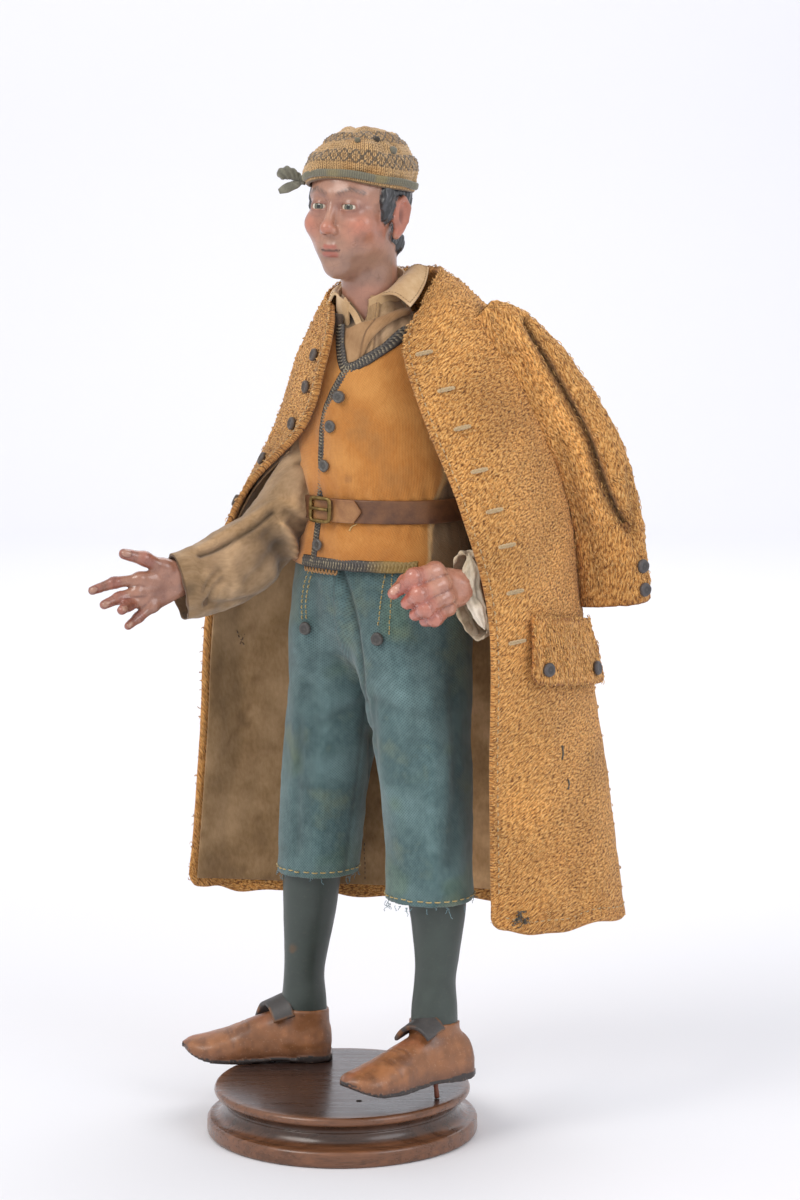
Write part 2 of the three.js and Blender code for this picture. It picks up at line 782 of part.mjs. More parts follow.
const coatSleeves = {
  left: [
    [56, -15, 320, 6, 4],
    [66.5, -15, 310, 12, 7.5],
    [82.5, -11, 289, 14.6, 8.5],
    [99.5, -6, 261, 14.4, 9],
    [107.6, -2, 235, 13.8, 9],
    [110.8, 0, 201.6, 14.7, 9],
  ],
  right: [
    [2, 30, 315, 6, 4],
    [0, 40, 304, 11, 7],
    [-1, 50.5, 284, 13.5, 7.6],
    [1, 57.6, 256, 13.5, 7.8],
    [3, 62.6, 228, 13.5, 8],
    [5, 66, 199, 13.6, 8],
  ],
};
const coatSleeveSides = {
  left: new THREE.Vector3(1, -0.1, 0.5).normalize(),
  right: new THREE.Vector3(1, 0.1, 0).normalize(),
};

function coatSleeve(name) {
  const crease = (along, angle) => {
    const near = Math.exp(-(((angle - Math.PI / 2) / 0.45) ** 2));
    return 1 - 0.3 * near * Math.sin(Math.PI * along);
  };
  return loft(coatSleeves[name], { sides: 10, rows: 5, side: coatSleeveSides[name], shape: crease });
}

function coatSleeveHollow(name) {
  const stations = coatSleeves[name];
  const [x, y, z, across, deep] = stations[stations.length - 1];
  const [bx, by, bz] = stations[stations.length - 2];
  const back = new THREE.Vector3(bx - x, by - y, bz - z).normalize();
  const ring = (distance) => {
    const middle = new THREE.Vector3(x, y, z).addScaledVector(back, distance);
    return [...middle.toArray(), across, deep];
  };
  return loft([ring(sleeveOpening / poseScale), ring(-3)], {
    sides: 10,
    rows: 1,
    side: coatSleeveSides[name],
    grow: -sleeveWall,
  });
}

// The room inside the coat, closed straight across its open front
function coatRoom() {
  const round = 0.8; // share of the way round that follows the cloth
  const tube = new THREE.CylinderGeometry(1, 1, 1, coatMesh.columns / round, coatMesh.rows);
  const spots = tube.attributes.position;
  const inner = (u, v) => placeOf(coatSpot(u, v, -coatThickness / 2));
  for (let i = 0; i < spots.count; i += 1) {
    const v = THREE.MathUtils.clamp(0.5 - spots.getY(i), 0, 1);
    const onCap = Math.hypot(spots.getX(i), spots.getZ(i)) < 0.5;
    const turn = (Math.atan2(spots.getX(i), spots.getZ(i)) / (2 * Math.PI) + 1 + 1e-6) % 1;
    const front = (turn - round) / (1 - round);
    let spot = turn <= round ? inner(turn / round, v) : inner(1, v).lerp(inner(0, v), front);
    if (onCap) spot = inner(0.5, v).lerp(inner(0, v).lerp(inner(1, v), 0.5), 0.5);
    spots.setXYZ(i, spot.x, spot.y, spot.z);
  }
  return solidOf(tube);
}

// Everything the coat may lie against, with room for the facets too
const dressed = join(shirtForm(2 * clearance), torsoGrown(vestGap + vestThickness + clearance));

function makeCoat() {
  const room = coatRoom();
  return cut(
    join(
      sheet(coatPoint, coatThickness, coatMesh.columns, coatMesh.rows),
      cut(coatSleeve("left"), room),
      cut(coatSleeve("right"), room),
    ),
    coatSleeveHollow("left"),
    coatSleeveHollow("right"),
    dressed,
  );
}

// The lining starts this many rows of the coat's mesh down from the neck, and its edges stand
// back from the coat's by a share of a row and of a column
const liningStart = 4;
const liningSetback = 0.3;
const liningGap = 0.9;

// A share of the coat's width or length with its first and last mesh step drawn in by the setback
function drawnIn(share, steps) {
  const fromEdge = Math.min(share, 1 - share) * steps;
  if (fromEdge >= 1) return share;
  const moved = THREE.MathUtils.lerp(liningSetback, 1, fromEdge) / steps;
  return share < 0.5 ? moved : 1 - moved;
}

function makeLining() {
  const { columns, rows } = coatMesh;
  const inset = coatThickness / 2 + liningGap + liningThickness / 2;
  const place = (u, v) => {
    const down = drawnIn(THREE.MathUtils.lerp(liningStart / rows, 1, v), rows);
    return placeOf(coatSpot(drawnIn(u, columns), down, -inset));
  };
  return cut(sheet(place, liningThickness, columns, rows - liningStart), dressed);
}

// Pocket flaps and coat buttons sit on the coat by its own u and v
const pockets = {
  left: { u: 0.178, v: 0.71, backward: 1 },
  right: { u: 0.79, v: 0.71, backward: -1 },
};
const coatOutside = coatThickness / 2 + 4 * clearance; // clear of the facets too

// How much of u or v makes a millimetre on the coat
function sharePerMillimetre(u, v, stepU, stepV) {
  const reach = placeOf(coatSpot(u + stepU, v + stepV, 0)).distanceTo(placeOf(coatSpot(u, v, 0)));
  return (stepU + stepV) / reach;
}

function makeFlap({ u, v, backward }) {
  const shareU = sharePerMillimetre(u, v, 0.01, 0);
  const shareV = sharePerMillimetre(u, v, 0, 0.01);
  const place = (a, b) => {
    const across = (2 * a - 1) * (flapWidth / 2) * (1 + 0.26 * b);
    const down = flapHeight * b + (flapSlant / 2) * (1 + backward * (2 * a - 1));
    const lift = coatOutside + flapThickness / 2 + 1.4 * Math.sin((Math.PI / 2) * b);
    return placeOf(coatSpot(u + across * shareU, v + down * shareV, lift));
  };
  return { place, solid: sheet(place, flapThickness, 6, 3) };
}

const flaps = { left: makeFlap(pockets.left), right: makeFlap(pockets.right) };

// A frame square to a sheet's outer face
function spotOnSheet(place, a, b, distance) {
  const step = 1e-3;
  const left = place(a - step, b).sub(place(a + step, b)).negate().normalize();
  const up = place(a, b - step).sub(place(a, b + step)).normalize();
  const front = left.clone().cross(up).normalize();
  return frameAt(place(a, b).addScaledVector(front, distance), left, up);
}

function makeFlapButton(name, a) {
  return button(spotOnSheet(flaps[name].place, a, 0.78, flapThickness / 2 + clearance), coatButtonRadius);
}

function makeCoatButton(index) {
  const v = 0.27 + (0.56 * index) / (coatButtonCount - 1);
  const inset = coatButtonInset * sharePerMillimetre(0.98, v, 0.01, 0);
  return button(coatSpot(1 - inset, v, coatOutside), coatButtonRadius);
}

// The two buttons on a sleeve's cuff, near its outer edge
function makeCuffButton(name, index) {
  const stations = coatSleeves[name];
  const [x, y, z, across, deep] = stations[stations.length - 1];
  const [aboveX, , aboveZ] = stations[stations.length - 2];
  const height = z + 5.4 + 9.6 * index;
  const side = coatSleeveSides[name].clone().setZ(0).normalize();
  const away = side.clone().cross(upward).multiplyScalar(name === "left" ? 1 : -1);
  const angle = THREE.MathUtils.degToRad(cuffButtonTurn);
  const [along, off] = [Math.cos(angle), Math.sin(angle)];
  const face = side.clone().multiplyScalar(along / across).addScaledVector(away, off / deep).normalize();
  const origin = at(THREE.MathUtils.mapLinear(height, z, aboveZ, x, aboveX), y, height)
    .addScaledVector(side, across * poseScale * along)
    .addScaledVector(away, deep * poseScale * off)
    .addScaledVector(face, clearance);
  return button(frameAt(origin, upward.clone().cross(face), upward), coatButtonRadius);
}

// Head, neck and hair are carved as one piece, in head coordinates: left, up and front
const headLean = 0.5;
const headNod = -5;
const headFrame = frameAt(at(...headMiddle), leftOf(headTurn), upward)
  .multiply(new THREE.Matrix4().makeRotationZ(THREE.MathUtils.degToRad(-headLean)))
  .multiply(new THREE.Matrix4().makeRotationX(THREE.MathUtils.degToRad(headNod)));
const skull = { middle: [0, 6.5, -2.6], size: [18.4, 21.4, 22] };

function mirrored(make) {
  return [make(1), make(-1)];
}

function hairCap() {
  const hair = ball(headFrame, [0, 6, -4.6], [19.6, 21.6, 21.8], { columns: 8, rows: 5 });
  const face = block(headFrame, [60, 50, 30], [0, 3, 20]);
  const nape = block(headFrame, [60, 30, 60], [0, -26.5, 0]);
  return cut(hair, face, nape);
}

function makeHead() {
  const small = { columns: 5, rows: 4 };
  const face = join(
    ball(headFrame, skull.middle, skull.size, { columns: 12, rows: 6 }),
    ball(headFrame, [0, -9.5, 3], [15.4, 17.5, 15.8], { columns: 8, rows: 6 }),
    ball(headFrame, [0, -23.6, 11], [6.6, 5.2, 5.6], small),
  );
  const sockets = mirrored((side) => ball(headFrame, [side * 6.8, 0, 20.4], [4.4, 3, 4], small));
  return join(
    cut(face, ...sockets),
    ...mirrored((side) => ball(headFrame, [side * 6.7, 0, 14.6], [3.6, 2.8, 3.6], small)),
    ball(headFrame, [0, -1.5, 18.6], [1.9, 7, 2.6], small),
    ball(headFrame, [0, -9, 20.6], [2.9, 3, 3.6], small),
    ball(headFrame, [0, -16.2, 17.6], [5.6, 1.2, 2.6], small),
    ball(headFrame, [0, -18.6, 17.2], [4.6, 1.3, 2.4], small),
    ...mirrored((side) => {
      return ball(headFrame, [side * 18.4, -3, -3], [2, 6.6, 4], { lean: side * -12, ...small });
    }),
    ...mirrored((side) => ball(headFrame, [side * 16.6, 3.6, 4], [2.4, 8, 4.4], small)),
    hairCap(),
    neck(),
  );
}

// The room the skull and hair take inside the cap
function hairRoom() {
  return ball(headFrame, [0, 6.2, -3.5], [22.2, 23.6, 25.2], { columns: 8, rows: 6 });
}

const capStations = [
  // height, half across, half deep, shift to the back
  [31.6, 5, 6, -5],
  [30.4, 10.5, 12.4, -4.6],
  [26.6, 16, 19, -4.2],
  [21, 20, 23, -4],
  [14.5, 21.6, 24.4, -4],
  [8.6, 21, 23.8, -3.4],
];

// The cap's form in head coordinates; grow swells it and keeps its heights
function capForm(grow) {
  const [across, deep, shift] = [1, 2, 3].map((n) => heightCurve(capStations, n));
  const tube = new THREE.CylinderGeometry(1, 1, 1, 14, 4);
  const spots = tube.attributes.position;
  for (let i = 0; i < spots.count; i += 1) {
    const along = THREE.MathUtils.clamp(0.5 - spots.getY(i), 0, 1);
    const { x: height, y: half } = across.getPoint(along);
    const angle = Math.atan2(spots.getZ(i), spots.getX(i));
    const lump = 1 + 0.02 * Math.cos(3 * angle + 6 * along);
    const back = shift.getPoint(along).y * poseScale;
    spots.setXYZ(
      i,
      spots.getX(i) * lump * (half * poseScale + grow),
      height * poseScale,
      spots.getZ(i) * lump * (deep.getPoint(along).y * poseScale + grow) + back,
    );
  }
  return solidOf(tube.applyMatrix4(headFrame));
}

function makeCap() {
  return cut(capForm(0), hairRoom());
}

// The band round the cap's rim, with the bow over the right temple
const ribbonRise = 10.6;

function makeRibbon() {
  const level = (height, thick) => block(headFrame, [80, thick, 80], [0, height * poseScale, 0]);
  const sleeve = cut(capForm(clearance + ribbonThickness), capForm(clearance));
  const band = sleeve.intersect(level(ribbonRise, ribbonHeight));
  const knot = [-18.6, ribbonRise - 0.4, 9];
  const small = { columns: 5, rows: 4 };
  const loops = [
    [[-19, ribbonRise, 9], [-24, ribbonRise + 3, 11], [-28.5, ribbonRise + 1.4, 12.4]],
    [[-19, ribbonRise - 0.6, 9], [-24, ribbonRise - 2.8, 11], [-28, ribbonRise - 5.2, 12]],
  ].map((points) => {
    const line = points.map((p) => new THREE.Vector3(...p).multiplyScalar(poseScale));
    const curve = new THREE.CatmullRomCurve3(line);
    const section = new THREE.Shape().absellipse(0, 0, 1.5, 0.7, 0, Math.PI * 2);
    const geometry = new THREE.ExtrudeGeometry(section, { extrudePath: curve, steps: 3, curveSegments: 3 });
    return solidOf(geometry.applyMatrix4(headFrame));
  });
  return cut(join(band, ball(headFrame, knot, [2.6, 2.2, 2.6], small), ...loops), capForm(clearance));
}

// Hands: a palm or a fist with its fingers, as tubes from the root to the tip
function finger(points, radius, tip = 0.82) {
  const [root, joint, end] = points.map((p) => new THREE.Vector3(...p));
  const past = end.clone().sub(joint).normalize().multiplyScalar(radius * 0.7).add(end);
  const stations = [
    [...root.toArray(), radius, radius],
    [...joint.toArray(), radius * 0.98, radius * 0.98],
    [...end.toArray(), radius * tip, radius * tip],
    [...past.toArray(), radius * 0.3, radius * 0.3],
  ];
  return loft(stations, { sides: 5, rows: 3, side: new THREE.Vector3(0.3, 0.4, -0.85).normalize() });
}

const openPalm = [
  [-55, -10, 215, 4.8, 4.2],
  [-61, -14.4, 214.4, 5, 4.2],
  [-69, -20.5, 212.6, 8.8, 4.8],
  [-77.5, -25, 210, 10.6, 4],
  [-83.5, -27.6, 208.4, 9, 3.2],
];
const openFingers = [
  [[-68, -20, 216.5], [-77.5, -24.5, 222.4], [-86, -28, 225], 2.9],
  [[-80, -26, 214.5], [-90, -28, 213.4], [-98.6, -30, 210.6], 2.35],
  [[-81, -27, 209.6], [-88, -30, 207.6], [-93.8, -33.6, 205.4], 2.45],
  [[-80, -26.4, 206], [-84.5, -31.6, 204.8], [-86.6, -38, 203.8], 2.4],
  [[-75, -25, 203.6], [-80.5, -29, 199.6], [-84.4, -33.4, 196.8], 2.2],
];

function makeOpenHand() {
  const palm = loft(openPalm, { sides: 7, rows: 4, side: new THREE.Vector3(0.55, 0, -0.84) });
  return join(palm, ...openFingers.map(([root, joint, tip, radius]) => finger([root, joint, tip], radius)));
}

const fistPalm = [
  [58, -31, 211.6, 5, 5],
  [49, -39.4, 213, 5.4, 5.8],
  [41, -44, 214, 8.2, 9.6],
  [33, -47.5, 213.5, 6.6, 8.6],
  [28, -49, 212.8, 3, 4.4],
];
const fistFingers = [
  [[37, -49, 221.6], [26.5, -56, 221.4], [21.8, -52.5, 216.6], 3.1],
  [[39.4, -50.5, 216.6], [29, -58, 213.4], [24.6, -52.6, 209.6], 3.2],
  [[41.4, -50, 211.6], [32.4, -57, 207], [28.4, -51.6, 204.6], 3.1],
  [[42.6, -48.5, 207], [36.4, -54.4, 202.6], [32.6, -49.6, 201.4], 2.8],
  [[33, -44, 220], [24, -48, 218.4], [18.8, -53.4, 214.6], 3],
];

function makeFist() {
  const palm = loft(fistPalm, { sides: 7, rows: 4, side: new THREE.Vector3(-0.3, -0.4, 0.85).normalize() });
  return join(palm, ...fistFingers.map(([root, joint, tip, radius]) => finger([root, joint, tip], radius)));
}

// A place beside the vest's front edge, at a share of the way up from one height to another
function besideEdge(low, high, share, offset) {
  const height = THREE.MathUtils.lerp(low, high, share);
  const below = frontEdge.findIndex(([, z]) => z <= height);
  const [[highX, highZ], [lowX, lowZ]] = [frontEdge[below - 1], frontEdge[below]];
  const across = THREE.MathUtils.mapLinear(height, lowZ, highZ, lowX, highX);
  return [across + offset, height];
}

// Buttons on the vest, three above the belt and one below it, and on the breeches
const vestButtonSpots = [
  besideEdge(beltHeight + beltHalf, throat[1], 0.785, 4.8),
  besideEdge(beltHeight + beltHalf, throat[1], 0.555, 4.6),
  besideEdge(beltHeight + beltHalf, throat[1], 0.248, 2.8),
  besideEdge(vestHem, beltHeight - beltHalf, 0.5, 2.8),
];
const breechesButtonSpots = [
  ["right", -17.5, 191],
  ["left", 21, 190.6],
];
const hipFront = frameAt(at(hips[1][0], hips[1][1], 0).setZ(0), leftOf(hipTurn), upward);

const looks = {
  wood: ["#5d2f1b", 0.35],
  nail: ["#6b3a22", 0.6],
  stocking: ["#3d4640", 0.55],
  strap: ["#3c4048", 0.6],
  breeches: ["#3f6a76", 0.95],
  linen: ["#b59a74", 0.95],
  kerchief: ["#a98559", 0.9],
  vest: ["#c98a35", 0.9],
  braid: ["#5a5650", 0.6],
  horn: ["#4b4b50", 0.5],
  leather: ["#7a4c28", 0.55],
  brass: ["#8a7440", 0.4, 1],
  wool: ["#b5843a", 1],
  lining: ["#8f7650", 0.95],
  skin: ["#b06a50", 0.4],
  knit: ["#a5803f", 0.95],
  ribbon: ["#66613f", 0.7],
};

const figure = new THREE.Group();

function put(name, solid, look) {
  figure.add(pieceOf(name, solid, ...looks[look]));
}

put("plinth", makePlinth(), "wood");
put("support_peg", makePeg(), "nail");
for (const side of ["left", "right"]) {
  put(`leg_${side}`, makeLeg(legs[side]), "stocking");
  put(`shoe_strap_${side}`, makeStrap(legs[side]), "strap");
}
put("breeches", makeBreeches(), "breeches");
breechesButtonSpots.forEach(([side, across, height], i) => {
  const frame = spotOn(breechLegs[side], hipFront, across, height, 2 * clearance);
  put(`breeches_button_${i + 1}`, button(frame, breechesButtonRadius), "horn");
});
put("shirt", makeShirt(), "linen");
put("neckerchief", makeKerchief(), "kerchief");
put("vest", makeVest(), "vest");
put("vest_braid", makeBraid(), "braid");
vestButtonSpots.forEach(([across, height], i) => {
  const frame = spotOn(torso, chestFront, across, height, braidGap + braidThickness + clearance);
  put(`vest_button_${i + 1}`, button(frame, vestButtonRadius), "horn");
});
put("belt", makeBelt(), "leather");
put("belt_buckle", makeBuckle(), "brass");
put("coat", makeCoat(), "wool");
put("coat_lining", makeLining(), "lining");
for (let i = 0; i < coatButtonCount; i += 1) put(`coat_button_${i + 1}`, makeCoatButton(i), "horn");
for (const side of ["left", "right"]) {
  put(`pocket_flap_${side}`, flaps[side].solid, "wool");
  const front = side === "left" ? 0.17 : 0.83;
  put(`pocket_button_${side}_front`, makeFlapButton(side, front), "horn");
  put(`pocket_button_${side}_back`, makeFlapButton(side, 1 - front), "horn");
  put(`cuff_button_${side}_lower`, makeCuffButton(side, 0), "horn");
  put(`cuff_button_${side}_upper`, makeCuffButton(side, 1), "horn");
}
put("head", makeHead(), "skin");
put("cap", makeCap(), "knit");
put("cap_ribbon", makeRibbon(), "ribbon");
put("hand_right", makeOpenHand(), "skin");
put("hand_left", makeFist(), "skin");

export default figure;
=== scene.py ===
import json
import math
import bpy
import numpy as np
import openvdb
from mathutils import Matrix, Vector
from mathutils.bvhtree import BVHTree

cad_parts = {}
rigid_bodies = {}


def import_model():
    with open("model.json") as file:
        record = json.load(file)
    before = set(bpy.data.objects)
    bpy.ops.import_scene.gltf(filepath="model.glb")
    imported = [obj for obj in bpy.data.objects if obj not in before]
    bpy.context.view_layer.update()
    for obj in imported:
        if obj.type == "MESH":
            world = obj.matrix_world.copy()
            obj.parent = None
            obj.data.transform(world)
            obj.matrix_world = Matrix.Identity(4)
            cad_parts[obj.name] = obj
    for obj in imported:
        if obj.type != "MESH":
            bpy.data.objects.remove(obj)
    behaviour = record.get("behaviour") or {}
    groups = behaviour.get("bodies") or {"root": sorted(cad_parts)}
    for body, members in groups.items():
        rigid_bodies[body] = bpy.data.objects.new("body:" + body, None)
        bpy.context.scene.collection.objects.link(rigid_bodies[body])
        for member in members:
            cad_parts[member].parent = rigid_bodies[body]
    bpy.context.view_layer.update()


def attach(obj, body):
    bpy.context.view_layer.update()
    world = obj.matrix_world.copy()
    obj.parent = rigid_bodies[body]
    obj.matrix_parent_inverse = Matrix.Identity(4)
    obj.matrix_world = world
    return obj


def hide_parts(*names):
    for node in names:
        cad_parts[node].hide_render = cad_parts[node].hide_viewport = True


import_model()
print("frame loaded")

# Everything is worked out in millimetres and written in metres
metre = 0.001
plinthHeight = 19.8
upward = np.array([0.0, 0.0, 1.0])


def hexColour(text):
    parts = [int(text[i : i + 2], 16) / 255 for i in (1, 3, 5)]
    return [c / 12.92 if c <= 0.04045 else ((c + 0.055) / 1.055) ** 2.4 for c in parts] + [1.0]


def unit(vectors):
    return vectors / np.maximum(np.linalg.norm(vectors, axis=-1, keepdims=True), 1e-9)


def leftOf(turn):
    angle = np.radians(turn)
    return np.stack([np.cos(angle), -np.sin(angle), np.zeros_like(angle)], -1)


def frontOf(turn):
    angle = np.radians(turn)
    return np.stack([-np.sin(angle), -np.cos(angle), np.zeros_like(angle)], -1)


def smooth(low, high, x):
    t = np.clip((x - low) / (high - low), 0, 1)
    return t * t * (3 - 2 * t)


def bell(x, middle, width):
    return np.exp(-(((x - middle) / width) ** 2))


# Smooth noise from -1 to 1 at points (..., 3)
def noise(points, seed=0):
    shape = points.shape[:-1]
    p = points.reshape(-1, 3)
    cell = np.floor(p).astype(np.int64)
    f = p - cell
    f = f * f * (3 - 2 * f)
    total = np.zeros(len(p))
    for corner in np.ndindex(2, 2, 2):
        key = (cell + corner) @ np.array([374761393, 668265263, 1274126177]) + seed * 974634777
        key = (key ^ (key >> 13)) * 1103515245
        value = ((key ^ (key >> 16)) & 0xFFFF) / 32767.5 - 1
        weight = np.prod(np.where(corner, f, 1 - f), axis=1)
        total += value * weight
    return total.reshape(shape)


def fractal(points, size, octaves=3, seed=0):
    return sum(noise(points / size * 2**k, seed + k) / 2**k for k in range(octaves))


# Weights of a smooth curve's points at places from 0 to 1
def weights(places, count):
    along = np.clip(np.atleast_1d(places).astype(float), 0, 1) * (count - 1)
    first = np.minimum(along.astype(int), count - 2)
    w = along - first
    cubic = 0.5 * np.stack(
        [-w + 2 * w**2 - w**3, 2 - 5 * w**2 + 3 * w**3, w + 4 * w**2 - 3 * w**3, -(w**2) + w**3], 1
    )
    table = np.zeros((len(along), count))
    each = np.arange(len(along))
    for k in range(4):
        at, share = first + k - 1, cubic[:, k]
        low, high = at < 0, at >= count
        inside = ~(low | high)
        np.add.at(table, (each[inside], at[inside]), share[inside])
        np.add.at(table, (each[low], 0), 2 * share[low])
        np.add.at(table, (each[low], 1), -share[low])
        np.add.at(table, (each[high], count - 1), 2 * share[high])
        np.add.at(table, (each[high], count - 2), -share[high])
    return table


def curve(points, places):
    points = np.asarray(points, float)
    return weights(places, len(points)) @ points


# Even steps along a line of points
def spaced(points, step=None, count=None):
    points = np.asarray(points, float)
    run = np.concatenate([[0], np.cumsum(np.linalg.norm(np.diff(points, axis=0), axis=1))])
    count = count or max(2, int(run[-1] / step) + 1)
    want = np.linspace(0, run[-1], count)
    return np.stack([np.interp(want, run, points[:, i]) for i in range(points.shape[1])], 1)


def gridFaces(rows, columns, closed=False, offset=0, flip=False):
    j = np.arange(columns if closed else columns - 1)
    i = np.arange(rows - 1)[:, None]
    a, b = i * columns + j, i * columns + (j + 1) % columns
    faces = np.stack([a, b, b + columns, a + columns], -1).reshape(-1, 4) + offset
    return faces[:, ::-1] if flip else faces


# Normals of a grid of points (rows, columns, 3)
def gridNormals(points, closed=False):
    down = np.gradient(points, axis=0)
    if closed:
        across = np.roll(points, -1, 1) - np.roll(points, 1, 1)
    else:
        across = np.gradient(points, axis=1)
    return unit(np.cross(across, down))


# A map in metres that follows a grid's own lengths, so that a weave keeps its size
def gridMap(points, closed=False):
    steps = np.linalg.norm(
        np.diff(points, axis=1, append=points[:, :1] if closed else points[:, -1:]), axis=2
    )
    across = np.concatenate(
        [np.zeros((len(points), 1)), np.cumsum(steps, axis=1)[:, : None if closed else -1]], 1
    )
    across -= across[:, across.shape[1] // 2, None]
    down = np.cumsum(np.linalg.norm(np.diff(points, axis=0, prepend=points[:1]), axis=2), axis=0)
    if closed:
        down = np.concatenate([down, down[:, :1]], 1)
    return np.stack([across, down], -1) * metre


# corners: for each face corner its place on the map (faces, 4, 2); tones: a colour per vertex
def makePiece(name, points, faces, materials, corners=None, tones=None, slots=None, flat=False):
    mesh = bpy.data.meshes.new(name)
    mesh.from_pydata(np.asarray(points, float).reshape(-1, 3) * metre, [], [list(map(int, f)) for f in faces])
    mesh.update()
    piece = bpy.data.objects.new(name, mesh)
    bpy.context.scene.collection.objects.link(piece)
    for material in materials if isinstance(materials, list) else [materials]:
        mesh.materials.append(material)
    if slots is not None:
        mesh.polygons.foreach_set("material_index", np.asarray(slots, np.int32))
    if not flat:
        mesh.polygons.foreach_set("use_smooth", np.ones(len(mesh.polygons), bool))
    if corners is not None:
        layer = mesh.uv_layers.new(name="cloth")
        layer.data.foreach_set("uv", np.asarray(corners, np.float32).ravel())
    if tones is not None:
        layer = mesh.color_attributes.new("tone", "FLOAT_COLOR", "POINT")
        tones = np.asarray(tones, np.float32).reshape(-1, 3)
        layer.data.foreach_set(
            "color", np.concatenate([tones, np.ones((len(tones), 1), np.float32)], 1).ravel()
        )
    return piece


def finishPiece(piece, slot, *nodes):
    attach(piece, "root")
    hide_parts(*nodes)
    return piece


def mapCorners(uv, rows, columns, closed, flip):
    width = uv.shape[1]
    j = np.arange(columns if closed else columns - 1)
    i = np.arange(rows - 1)[:, None]
    a = i * width + j
    index = np.stack([a, a + 1, a + 1 + width, a + width], -1).reshape(-1, 4)
    found = uv.reshape(-1, 2)[index]
    return found[:, ::-1] if flip else found


# A sheet of cloth between outer and inner distances from its middle, with rounded open edges.
# Where an edge is open, outer and inner share their points.
def clothPiece(
    name, middle, material, outer, inner, closed=False, flip=False, tones=None, normals=None, uv=None
):
    rows, columns = middle.shape[:2]
    if normals is None:
        normals = gridNormals(middle, closed) * (-1 if flip else 1)
    edge = np.zeros((rows, columns), bool)
    edge[[0, -1]] = True
    if not closed:
        edge[:, [0, -1]] = True
    outside = middle + normals * np.where(edge, 0, outer)[..., None]
    inside = middle - normals * np.where(edge, 0, inner)[..., None]
    count = rows * columns
    index = np.arange(count).reshape(rows, columns).copy()
    free = ~edge
    index[free] = count + np.arange(free.sum())
    front = gridFaces(rows, columns, closed, flip=flip)
    back = index.ravel()[gridFaces(rows, columns, closed, flip=not flip)]
    points = np.concatenate([outside.reshape(-1, 3), inside[free]])
    uv = gridMap(middle, closed) if uv is None else uv
    corners = np.concatenate(
        [mapCorners(uv, rows, columns, closed, flip), mapCorners(uv, rows, columns, closed, not flip)]
    )
    if tones is not None:
        tones = np.broadcast_to(tones, (rows, columns, 3))
        tones = np.concatenate([tones.reshape(-1, 3), tones[free]])
    return makePiece(name, points, np.concatenate([front, back]), material, corners, tones)


# How full a sheet is at a distance from its edge, so that the edge is a half round
def rounding(distance, reach):
    return np.sqrt(np.clip(1 - (1 - np.clip(distance / reach, 0, 1)) ** 2, 0, 1))


def edgeFullness(middle, reach, closed=False):
    def run(axis):
        steps = np.linalg.norm(np.diff(middle, axis=axis), axis=2)
        shape = list(middle.shape[:2])
        shape[axis] = 1
        start = np.concatenate([np.zeros(shape), np.cumsum(steps, axis=axis)], axis)
        end = start.take([-1], axis) - start
        return np.minimum(start, end)

    full = rounding(run(0), reach)
    return full if closed else full * rounding(run(1), reach)


# Places from 0 to 1 that crowd towards both ends, for the rounding there
def crowded(count, length, reach):
    edge = reach * np.array([0, 0.06, 0.25, 0.6]) / length
    inner = np.linspace(reach / length, 1 - reach / length, count)
    return np.concatenate([edge, inner, 1 - edge[::-1]])


# A round tube along points, of one radius or one for each point
def tubeMesh(path, radius, sides=8, ends=True, squash=None, up=None):
    path = np.asarray(path, float)
    radius = np.broadcast_to(radius, len(path)).astype(float)
    along = unit(np.gradient(path, axis=0))
    guide = np.array([0.13, 0.21, 0.97]) if up is None else up
    guide = np.broadcast_to(guide, along.shape)
    side = unit(np.cross(along, guide))
    other = np.cross(side, along)
    angle = np.arange(sides) * 2 * np.pi / sides
    ring = np.cos(angle)[None, :, None] * side[:, None] + (1 if squash is None else squash) * (
        np.sin(angle)[None, :, None] * other[:, None]
    )
    points = (path[:, None] + ring * radius[:, None, None]).reshape(-1, 3)
    faces = gridFaces(len(path), sides, True, flip=True).tolist()
    if ends:
        last = (len(path) - 1) * sides
        faces += [list(range(sides)), [last + i for i in range(sides)][::-1]]
    return points, faces


def merged(parts):
    points, faces, slots, offset = [], [], [], 0
    for part in parts:
        p, f = part[0], part[1]
        points.append(p)
        faces += [[i + offset for i in face] for face in f]
        slots += [part[2] if len(part) > 2 else 0] * len(f)
        offset += len(p)
    return np.concatenate(points), faces, slots


def smoothJoin(a, b, k):
    h = np.clip(0.5 + 0.5 * (b - a) / k, 0, 1)
    return b * (1 - h) + a * h - k * h * (1 - h)


def smoothCut(a, b, k):
    return -smoothJoin(-a, b, k)


def egg(p, middle, size):
    q = (p - np.asarray(middle, np.float32)) / np.asarray(size, np.float32)
    near = np.linalg.norm(q, axis=-1)
    slope = np.linalg.norm(q / np.asarray(size, np.float32), axis=-1)
    return near * (near - 1) / np.maximum(slope, 1e-6)


def rod(p, a, b, ra, rb):
    a, b = np.asarray(a, np.float32), np.asarray(b, np.float32)
    along = np.clip((p - a) @ (b - a) / max(float((b - a) @ (b - a)), 1e-6), 0, 1)
    return np.linalg.norm(p - a - along[..., None] * (b - a), axis=-1) - (ra + (rb - ra) * along)


